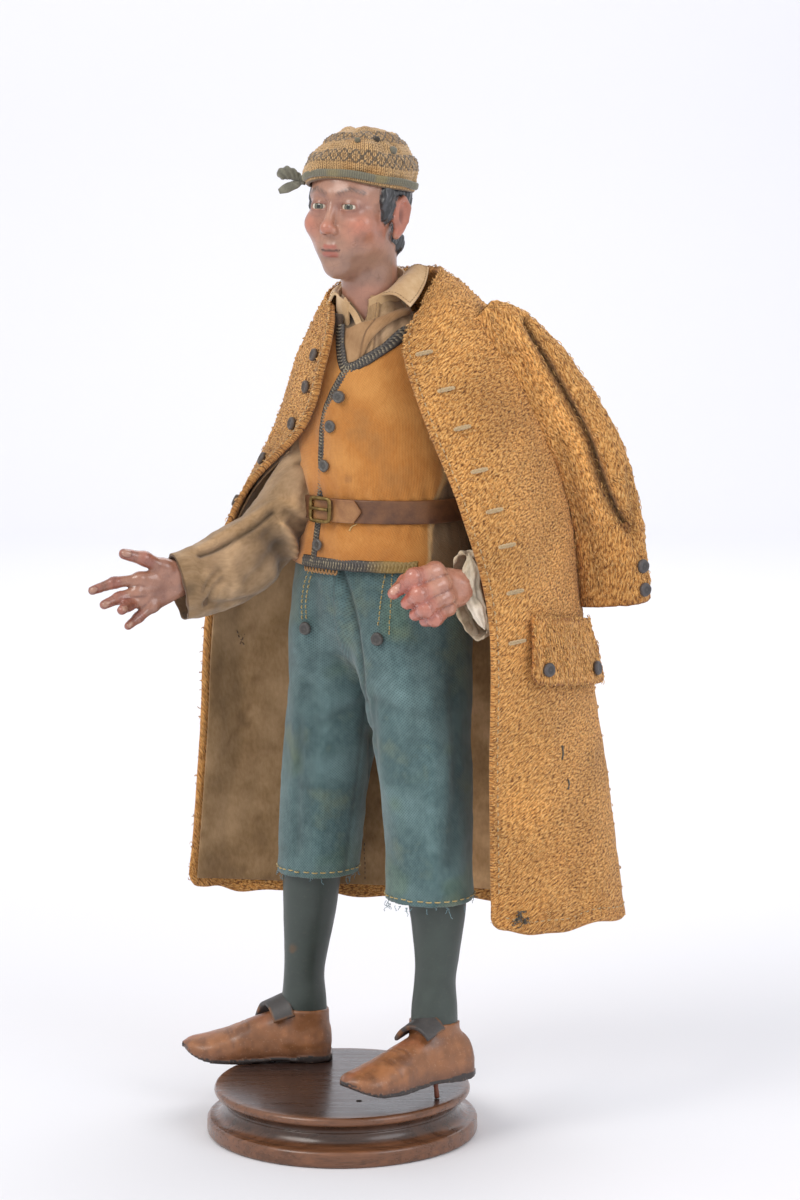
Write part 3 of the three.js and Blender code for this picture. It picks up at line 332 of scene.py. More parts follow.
# The surface where a field is zero, as points and faces, in a box from low to high
def fieldMesh(field, low, high, step):
    low, high = np.asarray(low, float), np.asarray(high, float)
    count = np.ceil((high - low) / step).astype(int) + 1
    axes = [low[i] + step * np.arange(count[i]) for i in range(3)]
    values = np.empty(count, np.float32)
    for start in range(0, count[0], 24):
        part = slice(start, start + 24)
        p = np.stack(np.meshgrid(axes[0][part], axes[1], axes[2], indexing="ij"), -1).astype(np.float32)
        values[part] = field(p)
    grid = openvdb.FloatGrid(float(values.max()) + 1)
    grid.copyFromArray(np.clip(values, -3 * step, 3 * step))
    points, quads = grid.convertToQuads(0.0)
    points = np.asarray(points, float) * step + low
    quads = np.asarray(quads, np.int64)
    a, b, c = points[quads[:, 0]], points[quads[:, 1]], points[quads[:, 2]]
    d = points[quads[:, 3]]
    volume = (np.einsum("ij,ij->i", a, np.cross(b, c)) + np.einsum("ij,ij->i", a, np.cross(c, d))).sum()
    return points, quads if volume > 0 else quads[:, ::-1]


# Adds a node with its settings and links, and hands back the node, or its output that out names.
# A colour mix takes its share at socket 0 and its colours at 6 and 7, and gives its result at 2
def addNode(tree, kind, links=None, stops=None, out=None, **settings):
    node = tree.nodes.new(kind)
    for key, value in settings.items():
        setattr(node, key, value)
    for key, value in (links or {}).items():
        if isinstance(value, bpy.types.NodeSocket):
            tree.links.new(value, node.inputs[key])
        else:
            node.inputs[key].default_value = value
    if stops:
        elements = node.color_ramp.elements
        while len(elements) < len(stops):
            elements.new(0.5)
        for element, (position, colour) in zip(elements, stops):
            element.position = position
            element.color = hexColour(colour) if isinstance(colour, str) else (colour, colour, colour, 1)
    return node if out is None else node.outputs[out]


# Starts a material and hands back its tree, its shader and its coordinates in metres
def startMaterial(name, roughness=0.8, **sockets):
    material = bpy.data.materials.new(name)
    material.use_nodes = True
    tree = material.node_tree
    tree.nodes.clear()
    links = {"Roughness": roughness}
    links.update({key.replace("_", " "): value for key, value in sockets.items()})
    shader = addNode(tree, "ShaderNodeBsdfPrincipled", links)
    addNode(tree, "ShaderNodeOutputMaterial", {"Surface": shader.outputs[0]})
    where = addNode(tree, "ShaderNodeTexCoord")
    return material, tree, shader, where


# Raises the surface by a pattern, on top of what raises it already
def bumped(tree, shader, height, strength, distance):
    links = {"Height": height, "Strength": strength, "Distance": distance * metre}
    old = shader.inputs["Normal"]
    if old.is_linked:
        links["Normal"] = old.links[0].from_socket
    tree.links.new(addNode(tree, "ShaderNodeBump", links, out=0), old)


# Crossing threads of a plain weave, on the cloth's own map: height from 0 to 1
def weaveHeight(tree, where, pitch, wobble=0.25, slant=0.0):
    turned = addNode(tree, "ShaderNodeMapping", {0: where.outputs["UV"], 2: (0.0, 0.0, slant)}, out=0)
    shake = addNode(
        tree, "ShaderNodeTexNoise", {"Vector": turned, "Scale": 1000 / 2.5, "Detail": 3.0, "Roughness": 0.55},
        out=0
    )
    spread = addNode(
        tree, "ShaderNodeVectorMath", {0: shake, 1: (wobble * pitch * metre,) * 3}, out=0,
        operation="MULTIPLY"
    )
    moved = addNode(tree, "ShaderNodeVectorMath", {0: turned, 1: spread}, out=0)
    waves = []
    for direction in ("X", "Y"):
        links = {"Vector": moved, "Scale": 1000 / pitch / 6.2832 * 2, "Distortion": 0.0}
        wave = addNode(tree, "ShaderNodeTexWave", links, wave_type="BANDS", bands_direction=direction)
        waves.append(wave.outputs[1])
    return addNode(tree, "ShaderNodeMath", {0: waves[0], 1: waves[1]}, out=0, operation="MAXIMUM")


# The camera stands where the photograph was taken from
scene = bpy.context.scene
cameraPlace = np.array([0.0, -1407.0, 430.4])
cameraYaw, cameraPitch = math.radians(0.98), math.radians(-8.43)
photoFocal = 3500.0  # in the photograph's pixels
photoMiddle = (400, 600)
cameraAhead = np.array(
    [
        math.sin(cameraYaw) * math.cos(cameraPitch),
        math.cos(cameraYaw) * math.cos(cameraPitch),
        math.sin(cameraPitch),
    ]
)
cameraRight = np.array([math.cos(cameraYaw), -math.sin(cameraYaw), 0.0])
cameraUp = np.cross(cameraRight, cameraAhead)


def linked(name, data, place=(0, 0, 0), turn=(0, 0, 0)):
    thing = bpy.data.objects.new(name, data)
    thing.location = place
    thing.rotation_euler = turn
    scene.collection.objects.link(thing)
    return thing


cameraData = bpy.data.cameras.new("Camera")
cameraData.lens = 105
cameraData.clip_end = 50
scene.camera = linked(
    "Camera", cameraData, cameraPlace * metre, (math.pi / 2 + cameraPitch, 0, -cameraYaw)
)


def areaLight(name, place, aim, size, power, colour="#ffffff"):
    light = bpy.data.lights.new(name, "AREA")
    light.shape = "DISK"
    light.size = size
    light.energy = power
    light.color = hexColour(colour)[:3]
    turn = (Vector(aim) - Vector(place)).to_track_quat("-Z", "Y").to_euler()
    linked(name, light, place, turn).visible_camera = False


lightLook = {"key": 17.0, "fill": 11.0, "back": 6.0, "backdrop": 5.5, "world": 0.8}
areaLight("KeyLight", (-1.15, -1.0, 1.55), (0, 0, 0.22), 1.1, lightLook["key"], "#fffaf4")
areaLight("FillLight", (1.45, -1.3, 1.2), (0, 0, 0.2), 1.3, lightLook["fill"], "#fbfbff")
areaLight("BackLight", (0.5, 1.2, 1.5), (0, 0, 0.25), 1.2, lightLook["back"])
areaLight("BackdropLight", (0, 1.1, 1.4), (0, 2.3, 0.4), 1.0, lightLook["backdrop"])
world = bpy.data.worlds.new("StudioWorld")
scene.world = world
world.use_nodes = True
world.node_tree.nodes["Background"].inputs[0].default_value = hexColour("#fbfcff")
world.node_tree.nodes["Background"].inputs[1].default_value = lightLook["world"]
scene.view_settings.view_transform = "Standard"


def makeFloor():
    # Matt paper: one even pale tone, very faintly clouded
    material, tree, shader, where = startMaterial("PalePaperFloor", 0.9)
    shade = addNode(
        tree, "ShaderNodeTexNoise",
        {"Vector": where.outputs["Object"], "Scale": 1000 / 900, "Detail": 1.0, "Roughness": 0.55}, out=0
    )
    tree.links.new(
        addNode(tree, "ShaderNodeValToRGB", {0: shade}, [(0.3, "#e9e9ed"), (0.7, "#ececf0")], out=0),
        shader.inputs["Base Color"]
    )
    # A floor that curves up into the backdrop, far enough off for a camera behind the figure
    flatEnd, bendRadius, wallTop = 1900, 400, 1600
    bend = np.linspace(0.1, np.pi / 2, 12)
    run = np.concatenate([np.linspace(-2600, flatEnd, 8), flatEnd + bendRadius * np.sin(bend)])
    rise = np.concatenate([np.zeros(8), bendRadius * (1 - np.cos(bend))])
    run, rise = np.append(run, run[-1]), np.append(rise, wallTop)
    across = np.array([-2600, 2600])
    points = np.stack(
        [
            np.broadcast_to(across, (len(run), 2)), np.repeat(run[:, None], 2, 1),
            np.repeat(rise[:, None], 2, 1)
        ],
        -1
    )
    makePiece("backdrop", points, gridFaces(len(run), 2), material)


makeFloor()
print("camera, light and floor made")


def gridTree(points, closed=True):
    faces = gridFaces(points.shape[0], points.shape[1], closed).tolist()
    return BVHTree.FromPolygons((points.reshape(-1, 3) * metre).tolist(), faces)


def pieceTree(piece):
    mesh = piece.data
    return BVHTree.FromPolygons([v.co for v in mesh.vertices], [p.vertices[:] for p in mesh.polygons])


# The places in millimetres, and the directions, that the camera sees at the photograph's pixels
def seenAt(tree, pixels):
    found = []
    for x, y in pixels:
        ray = cameraAhead + (x - photoMiddle[0]) / photoFocal * cameraRight
        ray = ray - (y - photoMiddle[1]) / photoFocal * cameraUp
        hit = tree.ray_cast(Vector(cameraPlace * metre), Vector(unit(ray)))
        if hit[0] is not None:
            found.append([np.array(hit[0]) / metre, np.array(hit[1])])
    return found


def nearest(points, lines):
    best = np.full(points.shape[:-1], 1e9)
    for start, end in zip(lines[:-1], lines[1:]):
        best = np.minimum(best, rod(points, start, end, 0, 0))
    return best


# How near places are to a pixel line laid closely on the surface, as shares falling off over a width
def besideLine(points, tree, pixels, width):
    line = [place for place, _ in seenAt(tree, curve(pixels, np.linspace(0, 1, 24)))]
    if len(line) < 2:
        return np.zeros(points.shape[:-1])
    return bell(nearest(points, spaced(np.array(line), count=18)), 0, width)


# Creases drawn over a surface: each is seen pixels, a width and a depth (below 0 for a ridge)
def creased(points, normals, tree, creases):
    moved = points.copy()
    for pixels, width, depth in creases:
        moved -= normals * (depth * besideLine(points, tree, pixels, width))[..., None]
    return moved


# Tones darkened (share below 1) or lightened along seen pixel lines: each is pixels, a width and a share
def shaded(points, tree, tone, marks):
    for pixels, width, share in marks:
        tone = tone * (1 + (share - 1) * besideLine(points, tree, pixels, width))[..., None]
    return tone


# Painted shade in the creases' grooves and painted highlight on their ridges
def creaseMarks(creases, strength=0.2):
    return [
        (pixels, width * 1.1, 1 - strength * np.clip(depth, -1.6, 1.8)) for pixels, width, depth in creases
    ]


# A lofted form's points: rings from the top down, and angles from the form's left to its front
def loftPoints(stations, along, angles, side=None, grow=0.0, shape=None):
    table = np.array([(list(s) + [0])[:6] for s in stations], float)
    table[:, 2] += plinthHeight
    along = np.asarray(along, float)
    found = curve(table, along)
    if side is None:
        left, up = leftOf(found[:, 5]), np.broadcast_to(upward, (len(along), 3))
    else:
        step = 1e-3
        ahead = curve(table, np.clip(along + step, 0, 1))[:, :3]
        up = unit(curve(table, np.clip(along - step, 0, 1))[:, :3] - ahead)
        side = np.asarray(side, float)
        left = unit(side - up * (up @ side)[:, None])
    front = np.cross(left, up)
    swell = shape(along[:, None], angles[None, :]) if shape else 1
    grow = np.reshape(grow, (-1, 1))
    across = (found[:, 3:4] + grow) * swell * np.cos(angles)
    deep = (found[:, 4:5] + grow) * swell * np.sin(angles)
    return found[:, None, :3] + across[..., None] * left[:, None] + deep[..., None] * front[:, None]


def ringAngles(count):
    return np.arange(count) * 2 * np.pi / count


# Each ring's values at given heights, for a form whose rings are level
def ringAt(stations, heights):
    table = np.array([(list(s) + [0])[:6] for s in stations], float)
    many = curve(table, np.linspace(0, 1, 400))
    order = np.argsort(many[:, 2])
    return np.stack([np.interp(heights, many[order, 2], many[order, i]) for i in range(6)], -1)


def woven(name, light, dark, stain, pitch=0.5, depth=0.12, fleck=0.2, sheen=0.25, tones=False, contrast=0.5,
          slant=0.0):
    # Plain woven cloth: threads on the cloth's own map, worn and stained in soft patches
    material, tree, shader, where = startMaterial(name, 0.88, Sheen_Weight=sheen, Sheen_Roughness=0.5)
    threads = weaveHeight(tree, where, pitch, slant=slant)
    patches = addNode(
        tree, "ShaderNodeTexNoise",
        {"Vector": where.outputs["Object"], "Scale": 1000 / 26, "Detail": 4.0, "Roughness": 0.6}, out=0
    )
    slubs = addNode(
        tree, "ShaderNodeTexNoise",
        {
            "Vector": addNode(
                tree, "ShaderNodeMapping", {0: where.outputs["UV"], 3: (1.0, 0.45, 1.0)}, out=0
            ),
            "Scale": 1000 / 1.4, "Detail": 2.0, "Roughness": 0.6
        },
        out=0
    )
    base = addNode(
        tree, "ShaderNodeValToRGB", {0: patches}, [(0.3, stain), (0.46, dark), (0.62, light)], out=0
    )
    tint = addNode(tree, "ShaderNodeValToRGB", {0: slubs}, [(0.35, dark), (0.65, light)], out=0)
    base = addNode(tree, "ShaderNodeMix", {0: fleck, 6: base, 7: tint}, out=2, data_type="RGBA")
    tint = addNode(tree, "ShaderNodeValToRGB", {0: threads}, [(0.1, 0.36), (0.7, 1.06)], out=0)
    base = addNode(
        tree, "ShaderNodeMix", {0: contrast, 6: base, 7: tint}, out=2, data_type="RGBA", blend_type="MULTIPLY"
    )
    if tones:
        tone = addNode(tree, "ShaderNodeAttribute", out=0, attribute_name="tone")
        base = addNode(
            tree, "ShaderNodeMix", {0: 1.0, 6: base, 7: tone}, out=2, data_type="RGBA", blend_type="MULTIPLY"
        )
    tree.links.new(base, shader.inputs["Base Color"])
    bumped(tree, shader, patches, 0.25, 0.6)
    bumped(tree, shader, threads, 0.7, depth)
    return material


# Painted and carved work: the colours are in the mesh, worn and glossy in patches
def painted(name, roughness, shine, grain, speck="#ffffff", speckShare=0.0, depth=0.06):
    material, tree, shader, where = startMaterial(name, roughness, Coat_Weight=shine, Coat_Roughness=0.22)
    tone = addNode(tree, "ShaderNodeAttribute", out=0, attribute_name="tone")
    cloudy = addNode(
        tree, "ShaderNodeTexNoise",
        {"Vector": where.outputs["Object"], "Scale": 1000 / grain, "Detail": 5.0, "Roughness": 0.62}, out=0
    )
    fine = addNode(
        tree, "ShaderNodeTexNoise",
        {"Vector": where.outputs["Object"], "Scale": 1000 / (grain * 0.16), "Detail": 3.0, "Roughness": 0.6},
        out=0
    )
    tint = addNode(tree, "ShaderNodeValToRGB", {0: cloudy}, [(0.28, 0.78), (0.72, 1.16)], out=0)
    base = addNode(
        tree, "ShaderNodeMix", {0: 1.0, 6: tone, 7: tint}, out=2, data_type="RGBA", blend_type="MULTIPLY"
    )
    worn = addNode(tree, "ShaderNodeValToRGB", {0: fine}, [(0.6, 0.0), (0.7, 1.0)], out=0)
    worn = addNode(tree, "ShaderNodeMath", {0: worn, 1: speckShare}, out=0, operation="MULTIPLY")
    base = addNode(tree, "ShaderNodeMix", {0: worn, 6: base, 7: hexColour(speck)}, out=2, data_type="RGBA")
    tree.links.new(base, shader.inputs["Base Color"])
    uneven = addNode(
        tree, "ShaderNodeValToRGB", {0: cloudy},
        [(0.3, max(roughness - 0.12, 0.05)), (0.7, min(roughness + 0.14, 1.0))], out=0
    )
    tree.links.new(uneven, shader.inputs["Roughness"])
    bumped(tree, shader, fine, 0.35, depth)
    return material


def toneOf(text):
    return np.array(hexColour(text)[:3])


def mix(a, b, share):
    return a + (np.asarray(b) - a) * np.asarray(share)[..., None]


plinthLook = {
    "top": "#3a2720", "edge": "#70482f", "cove": "#472e20", "segments": 100,
    "nailHole": (359, 1101), "pegFoot": (38.8, -24.0), "pegLean": (-0.8, 0, 7.4),
}


def makePlinth():
    foot, cove, top, rounding = (56.0, 7.0), (48.5, 9.2), (53.0, 3.6), 1.6
    waist = foot[1] + cove[1] * 0.6

    def arc(x, z, rx, rz, start, end, steps=8):
        turn = np.radians(np.linspace(start, end, steps))
        return np.stack([x + rx * np.cos(turn), z + rz * np.sin(turn)], 1)

    coveTop = foot[1] + cove[1]
    nose = top[1] / 2
    corner, topCorner = foot[0] - rounding, top[0] - rounding
    profile = np.concatenate(
        [
            np.stack([np.linspace(0.2, topCorner - 1, 40), np.full(40, plinthHeight)], 1),
            arc(topCorner, coveTop + nose, rounding, nose, 90, -90, 14),
            arc(topCorner, waist, topCorner - cove[0], coveTop - waist, 90, 180, 10),
            arc(corner, waist, corner - cove[0], waist - foot[1], 180, 270, 12),
            arc(corner, foot[1] - rounding, rounding, rounding, 90, 0, 7),
            np.stack([np.full(6, foot[0]), np.linspace(foot[1] - rounding - 0.6, rounding + 0.6, 6)], 1),
            arc(corner, rounding, rounding, rounding, 0, -90, 6),
            np.stack([np.linspace(corner - 4, 0.2, 6), np.zeros(6)], 1),
        ]
    )
    angles = ringAngles(plinthLook["segments"])
    wobble = 0.12 * np.sin(3 * angles + 1) + 0.08 * np.sin(5 * angles)
    radius = profile[:, :1] + np.where(profile[:, :1] > 40, wobble, 0)
    points = np.stack(
        [radius * np.cos(angles), -radius * np.sin(angles), np.repeat(profile[:, 1:], len(angles), 1)], -1
    )
    r, z = np.broadcast_to(profile[:, :1], radius.shape), points[..., 2]
    tone = mix(
        toneOf(plinthLook["edge"]), toneOf(plinthLook["top"]), (z > plinthHeight - 0.3) * smooth(53, 47, r)
    )
    # The cove under the top's overhang, and its foot where it meets the base, are painted darker: painted
    # shade in the recess
    tone = mix(tone, toneOf(plinthLook["cove"]), smooth(52, 49, r) * (z < plinthHeight - 3) * (z > 7.2))
    tone = mix(tone, toneOf(plinthLook["cove"]), 0.6 * smooth(7.8, 7.1, z) * (r < 53))
    uv = np.stack([points[..., 0], points[..., 1] + 3 * z], -1) * metre
    uv = np.concatenate([uv, uv[:, :1]], 1)
    material, tree, shader, where = startMaterial(
        "TurnedAndPolishedWood", 0.3, Coat_Weight=0.35, Coat_Roughness=0.15
    )
    stain = addNode(tree, "ShaderNodeAttribute", out=0, attribute_name="tone")
    # Growth rings run across the disc as long streaks, and fine scratches show paler
    streaks = addNode(
        tree, "ShaderNodeTexNoise",
        {
            "Vector": addNode(
                tree, "ShaderNodeMapping", {0: where.outputs["Object"], 3: (0.12, 1.0, 1.0)}, out=0
            ),
            "Scale": 1000 / 4, "Detail": 4.0, "Roughness": 0.6
        },
        out=0
    )
    pores = addNode(
        tree, "ShaderNodeTexNoise",
        {
            "Vector": addNode(
                tree, "ShaderNodeMapping", {0: where.outputs["Object"], 3: (0.08, 1.0, 1.0)}, out=0
            ),
            "Scale": 1000 / 0.9, "Detail": 2.0, "Roughness": 0.6
        },
        out=0
    )
    scratch = addNode(
        tree, "ShaderNodeTexNoise",
        {
            "Vector": addNode(
                tree, "ShaderNodeMapping", {0: where.outputs["Object"], 3: (1.0, 0.25, 1.0)}, out=0
            ),
            "Scale": 1000 / 1.3, "Detail": 6.0, "Roughness": 0.8
        },
        out=0
    )
    tint = addNode(tree, "ShaderNodeValToRGB", {0: streaks}, [(0.3, 0.62), (0.7, 1.35)], out=0)
    base = addNode(
        tree, "ShaderNodeMix", {0: 1.0, 6: stain, 7: tint}, out=2, data_type="RGBA", blend_type="MULTIPLY"
    )
    tint = addNode(tree, "ShaderNodeValToRGB", {0: pores}, [(0.35, 0.5), (0.5, 1.0)], out=0)
    base = addNode(
        tree, "ShaderNodeMix", {0: 0.5, 6: base, 7: tint}, out=2, data_type="RGBA", blend_type="MULTIPLY"
    )
    pale = addNode(tree, "ShaderNodeValToRGB", {0: scratch}, [(0.66, 0.0), (0.72, 1.0)], out=0)
    pale = addNode(tree, "ShaderNodeMath", {0: pale, 1: 0.32}, out=0, operation="MULTIPLY")
    base = addNode(
        tree, "ShaderNodeMix", {0: pale, 6: base, 7: hexColour("#a58a76")}, out=2, data_type="RGBA"
    )
    tree.links.new(base, shader.inputs["Base Color"])
    tree.links.new(
        addNode(tree, "ShaderNodeValToRGB", {0: streaks}, [(0.3, 0.2), (0.75, 0.42)], out=0),
        shader.inputs["Roughness"]
    )
    bumped(tree, shader, pores, 0.3, 0.05)
    corners = mapCorners(uv, len(points), len(angles), True, False)
    piece = makePiece(
        "turned_plinth", points, gridFaces(len(points), len(angles), True), material, corners, tone
    )
    finishPiece(piece, "turned_wood", "plinth")
    # The nail hole of an earlier mounting, and the peg that holds the left shoe up
    hole, _ = seenAt(pieceTree(piece), [plinthLook["nailHole"]])[0]
    dark = painted("NailHolePaintedShade", 0.9, 0.0, 2)
    ring = np.stack([np.cos(ringAngles(16)), np.sin(ringAngles(16)), np.zeros(16)], 1)
    rows = np.stack(
        [hole + ring * s + upward * h for s, h in ((1.3, 0.02), (1.0, 0.22), (0.6, 0.1), (0.05, 0.06))]
    )
    # The hole is drawn as a low disc painted near black: painted shade in the hole
    shade = np.broadcast_to(toneOf("#20130d"), rows.shape)
    piece = makePiece("nail_hole", rows, gridFaces(4, 16, True, flip=True), dark, tones=shade)
    finishPiece(piece, "turned_wood")
    root = np.array([*plinthLook["pegFoot"], plinthHeight + 0.3])
    tip = root + plinthLook["pegLean"]
    path = np.stack([root + (tip - root) * t for t in np.linspace(0, 1, 12)])
    thick = 1.0 + 0.08 * np.sin(np.linspace(0, 9, 12))
    points, faces = tubeMesh(path, thick, 16)
    piece = makePiece("whittled_peg", points, faces, painted("WhittledPegWood", 0.55, 0.1, 3), None,
                      np.broadcast_to(toneOf("#7d4430"), points.shape))
    finishPiece(piece, "peg_wood", "support_peg")


makePlinth()
print("plinth and peg made")

legs = {
    "right": {
        "heel": [-4.6, 36, 0],
        "turn": 90,
        "lift": 0.3,
        "opening": 22.0,
        "strap": (0.86, 0.18, 9.0),
        "shank": [
            [-10.6, 35.6, 100, 12.8, 12.8], [-12.6, 36, 78.6, 12.2, 12.4], [-13.5, 36, 63, 11, 11.4],
            [-15.1, 36.2, 47, 9.1, 9.6], [-15.9, 36.2, 37, 8.6, 8.9], [-16, 36, 27, 9.6, 9.4],
            [-16.5, 36, 15, 10.6, 8],
        ],
    },
    "left": {
        "heel": [51.3, -14.6, 0],
        "turn": 53.7,
        "lift": 8.0,
        "opening": 23.4,
        "strap": (0.8, 0.24, 4.0),
        "shank": [
            [38.6, -16.6, 100, 12.4, 12.4], [38.8, -16.8, 81.4, 11.8, 12], [39, -17, 70.6, 10.4, 11],
            [38.7, -17.8, 57.2, 8.8, 9.6], [38, -18.6, 48, 8.5, 9], [37.8, -20, 37, 9.6, 9.4],
            [37.6, -21.6, 24, 10.4, 8],
        ],
    },
}
shoeStations = [
    [0, 5.2, 13, 1], [3.5, 8, 18.5, 0], [14, 8.8, 21.5, 0], [24, 8.8, 20.5, 0.3], [33, 9.4, 17.5, 0],
    [43, 10.8, 13.6, 0], [52, 10.6, 10.8, 0.9], [59, 7.4, 9.4, 3.4], [62.5, 1.5, 8, 5.6],
]
shoeLook = {
    "leather": "#8f5d39", "low": "#66402a", "red": "#8e4f36", "sole": "#2c2320", "strap": "#43403f",
    "strapEdge": "#7a5334", "stocking": "#3b443f", "wear": "#5b4a36", "step": 0.72, "rings": 104, "round": 60,
}


# Whether a grid's faces have to be turned round to face away from a place
def facesIn(points, place, closed=False):
    return float((gridNormals(points, closed) * (points - place)).sum(-1).mean()) < 0


def makeLeg(name, leg):
    origin = np.array(leg["heel"], float) + upward * (plinthHeight + leg["lift"])
    left, front = leftOf(leg["turn"]), frontOf(leg["turn"])
    table = curve(shoeStations, np.linspace(0, 1, 200))
    shank = [[*s, leg["turn"] - 90] for s in leg["shank"]]
    opening = leg["opening"] + leg["lift"]

    # Shoe coordinates: across, up and along from the heel
    def shoeField(q):
        x, z, y = q[..., 0], q[..., 1], q[..., 2]
        half, top, lift = [np.interp(y, table[:, 0], table[:, i]) for i in (1, 2, 3)]
        middle = lift + 0.3 * (top - lift)
        above = z > middle
        tall = np.where(above, top - middle, middle - lift)
        power = np.where(above, 2.2, 3.4)
        reach = (np.abs(x / half) ** power + np.abs((z - middle) / tall) ** power) ** (1 / power)
        body = (reach - 1) * np.minimum(half, tall)
        body = np.maximum(body, np.maximum(-y - 0.2 + 0.02 * (z - 8) ** 2, y - 62.8))
        # The opening is cut level round the heel and climbs over the instep
        body = np.maximum(body, z - leg["opening"] - 0.05 * y - 1.4 * np.maximum(y - 21, 0))
        # Sole with a heel block and a shallow arch behind the ball of the foot
        arch = 1.0 * bell(y, 21, 6)
        under = np.maximum(
            np.abs(x) - half * 0.97 - 0.35, np.abs(z - lift - 0.9 - arch / 2) - 0.95 + arch / 3
        )
        under = np.maximum(under, np.maximum(-y - 0.6, y - 63.2))
        block = np.maximum(np.abs(x) - half - 0.1, np.maximum(np.abs(y - 7) - 7.6, np.abs(z - 1.5) - 1.5))
        return body, np.minimum(under, block)

    def whole(q):
        body, sole = shoeField(q)
        p = origin + q[..., :1] * left + q[..., 1:2] * upward + q[..., 2:] * front
        height = p[..., 2] - plinthHeight
        ring = ringAt(shank, height)
        turn = np.radians(ring[..., 5])
        dx, dy = p[..., 0] - ring[..., 0], p[..., 1] - ring[..., 1]
        a = dx * np.cos(turn) - dy * np.sin(turn)
        b = -dx * np.sin(turn) - dy * np.cos(turn)
        reach = np.hypot(a / (ring[..., 3] + 0.75), b / (ring[..., 4] + 0.75))
        ankle = np.maximum((reach - 1) * ring[..., 4], height - opening - 0.05 * q[..., 2])
        ankle = np.maximum(ankle, 8 - height)
        return np.minimum(smoothJoin(body, ankle, 1.6), sole)

    points, quads = fieldMesh(whole, (-13, -1.5, -2.5), (13, 36, 65), shoeLook["step"])
    normals = unit(points - np.array([0, 9, 0]) * [1, 1, 0] - points * [0, 0, 1])
    x, z, y = points[:, 0], points[:, 1], points[:, 2]
    body, sole = shoeField(points)
    isSole = (sole < body - 0.1) & (z < 4.5 + np.interp(y, table[:, 0], table[:, 3]))
    # Creases where the toe bends, and soft dents along the sides
    wander = 1.4 * noise(points / 5, 6)
    bend = sum(bell(y + 0.16 * x + wander, place, 0.55) for place in (36.2, 38.3, 42.6, 44.0))
    bend = bend * smooth(-0.5, 0.4, noise(points / 4, 16))
    dents = 0.35 * fractal(points, 9.0, 3, 4)
    upper = smooth(4, 8, z) * smooth(30, 26, z)
    points = points + normals * ((dents - 0.26 * bend) * upper)[:, None]
    # Darker towards the sole: painted shade; and a little darker where the side bulges out
    tone = mix(
        toneOf(shoeLook["leather"]), toneOf(shoeLook["low"]),
        0.8 * smooth(8.5, 2, z) + 0.25 * smooth(0, 1, dents)
    )
    tone = mix(tone, toneOf(shoeLook["red"]), 0.6 * smooth(0.1, 0.7, fractal(points, 14, 2, 9)))
    # Darker along the toe creases: painted shade in the creases
    tone = mix(tone, toneOf(shoeLook["low"]), 0.75 * np.clip(bend, 0, 1) * upper)
    tone = mix(tone, toneOf(shoeLook["low"]), 0.6 * smooth(0.05, 0.7, fractal(points, 6, 3, 19)))
    tone = mix(tone, tone * 1.35, 0.7 * smooth(0.15, 0.7, fractal(points, 5, 3, 29)))
    tone = np.where(isSole[:, None], toneOf(shoeLook["sole"]), tone)
    place = origin + points[:, :1] * left + points[:, 1:2] * upward + points[:, 2:] * front
    shoe = makePiece(f"carved_shoe_{name}", place, quads, shoePaint, tones=tone)
    finishPiece(shoe, "painted_stocking", f"leg_{name}")

    along, angles = np.linspace(0, 1, shoeLook["rings"]), ringAngles(shoeLook["round"])
    points = loftPoints(shank, along, angles)
    normals = gridNormals(points, True)
    points = points + normals * (0.22 * fractal(points, 16, 3, 2))[..., None]
    wear = smooth(0.35, 0.8, fractal(points, 7, 3, 21)) * smooth(0.2, 0.5, noise(points / 30, 5))
    tone = mix(toneOf(shoeLook["stocking"]), toneOf(shoeLook["wear"]), wear)
    stocking = makePiece(
        f"painted_stocking_{name}", points, gridFaces(len(along), len(angles), True), stockingPaint,
        tones=tone
    )
    finishPiece(stocking, "painted_stocking")

    # The flat strap over the instep, a slab with worn edges
    u, v = np.meshgrid(crowded(56, 30, 0.6), crowded(14, 9, 0.6))
    far, near, slant = leg["strap"]
    angle = np.pi * (far + (near - far) * u)
    along = 19.5 + 9 * v - slant * (u - 0.5)
    high = 26.0 - 0.3 * (along - 19.5) + 1.6 * (1 - v)
    height = high * np.sin(angle) ** 0.55 - 0.1
    middle = (
        origin + (10.8 * np.cos(angle))[..., None] * left + height[..., None] * upward
        + along[..., None] * front
    )
    flip = facesIn(middle, origin + front * 24 + upward * 8)
    full = edgeFullness(middle, 0.6)
    edge = np.minimum(np.minimum(u, 1 - u) * 30, np.minimum(v, 1 - v) * 9)
    worn = smooth(1.2, 0.2, edge) * smooth(-0.4, 0.4, fractal(middle, 3, 2, 8))
    tone = mix(toneOf(shoeLook["strap"]), toneOf(shoeLook["strapEdge"]), worn)
    strap = clothPiece(
        f"instep_strap_{name}", middle, strapPaint, 1.1 * full, 1.0 * full, flip=flip, tones=tone
    )
    finishPiece(strap, "strap_leather", f"shoe_strap_{name}")


shoePaint = painted("ShoeSatinPaintOverWood", 0.42, 0.25, 6, "#c9a184", 0.25)
stockingPaint = painted("StockingPaintWornSmooth", 0.5, 0.12, 9, "#6d6a58", 0.12)
strapPaint = painted("StrapLeatherPaintedDark", 0.55, 0.08, 4, "#85725e", 0.2)
for legName, leg in legs.items():
    makeLeg(legName, leg)
print("legs and shoes made")

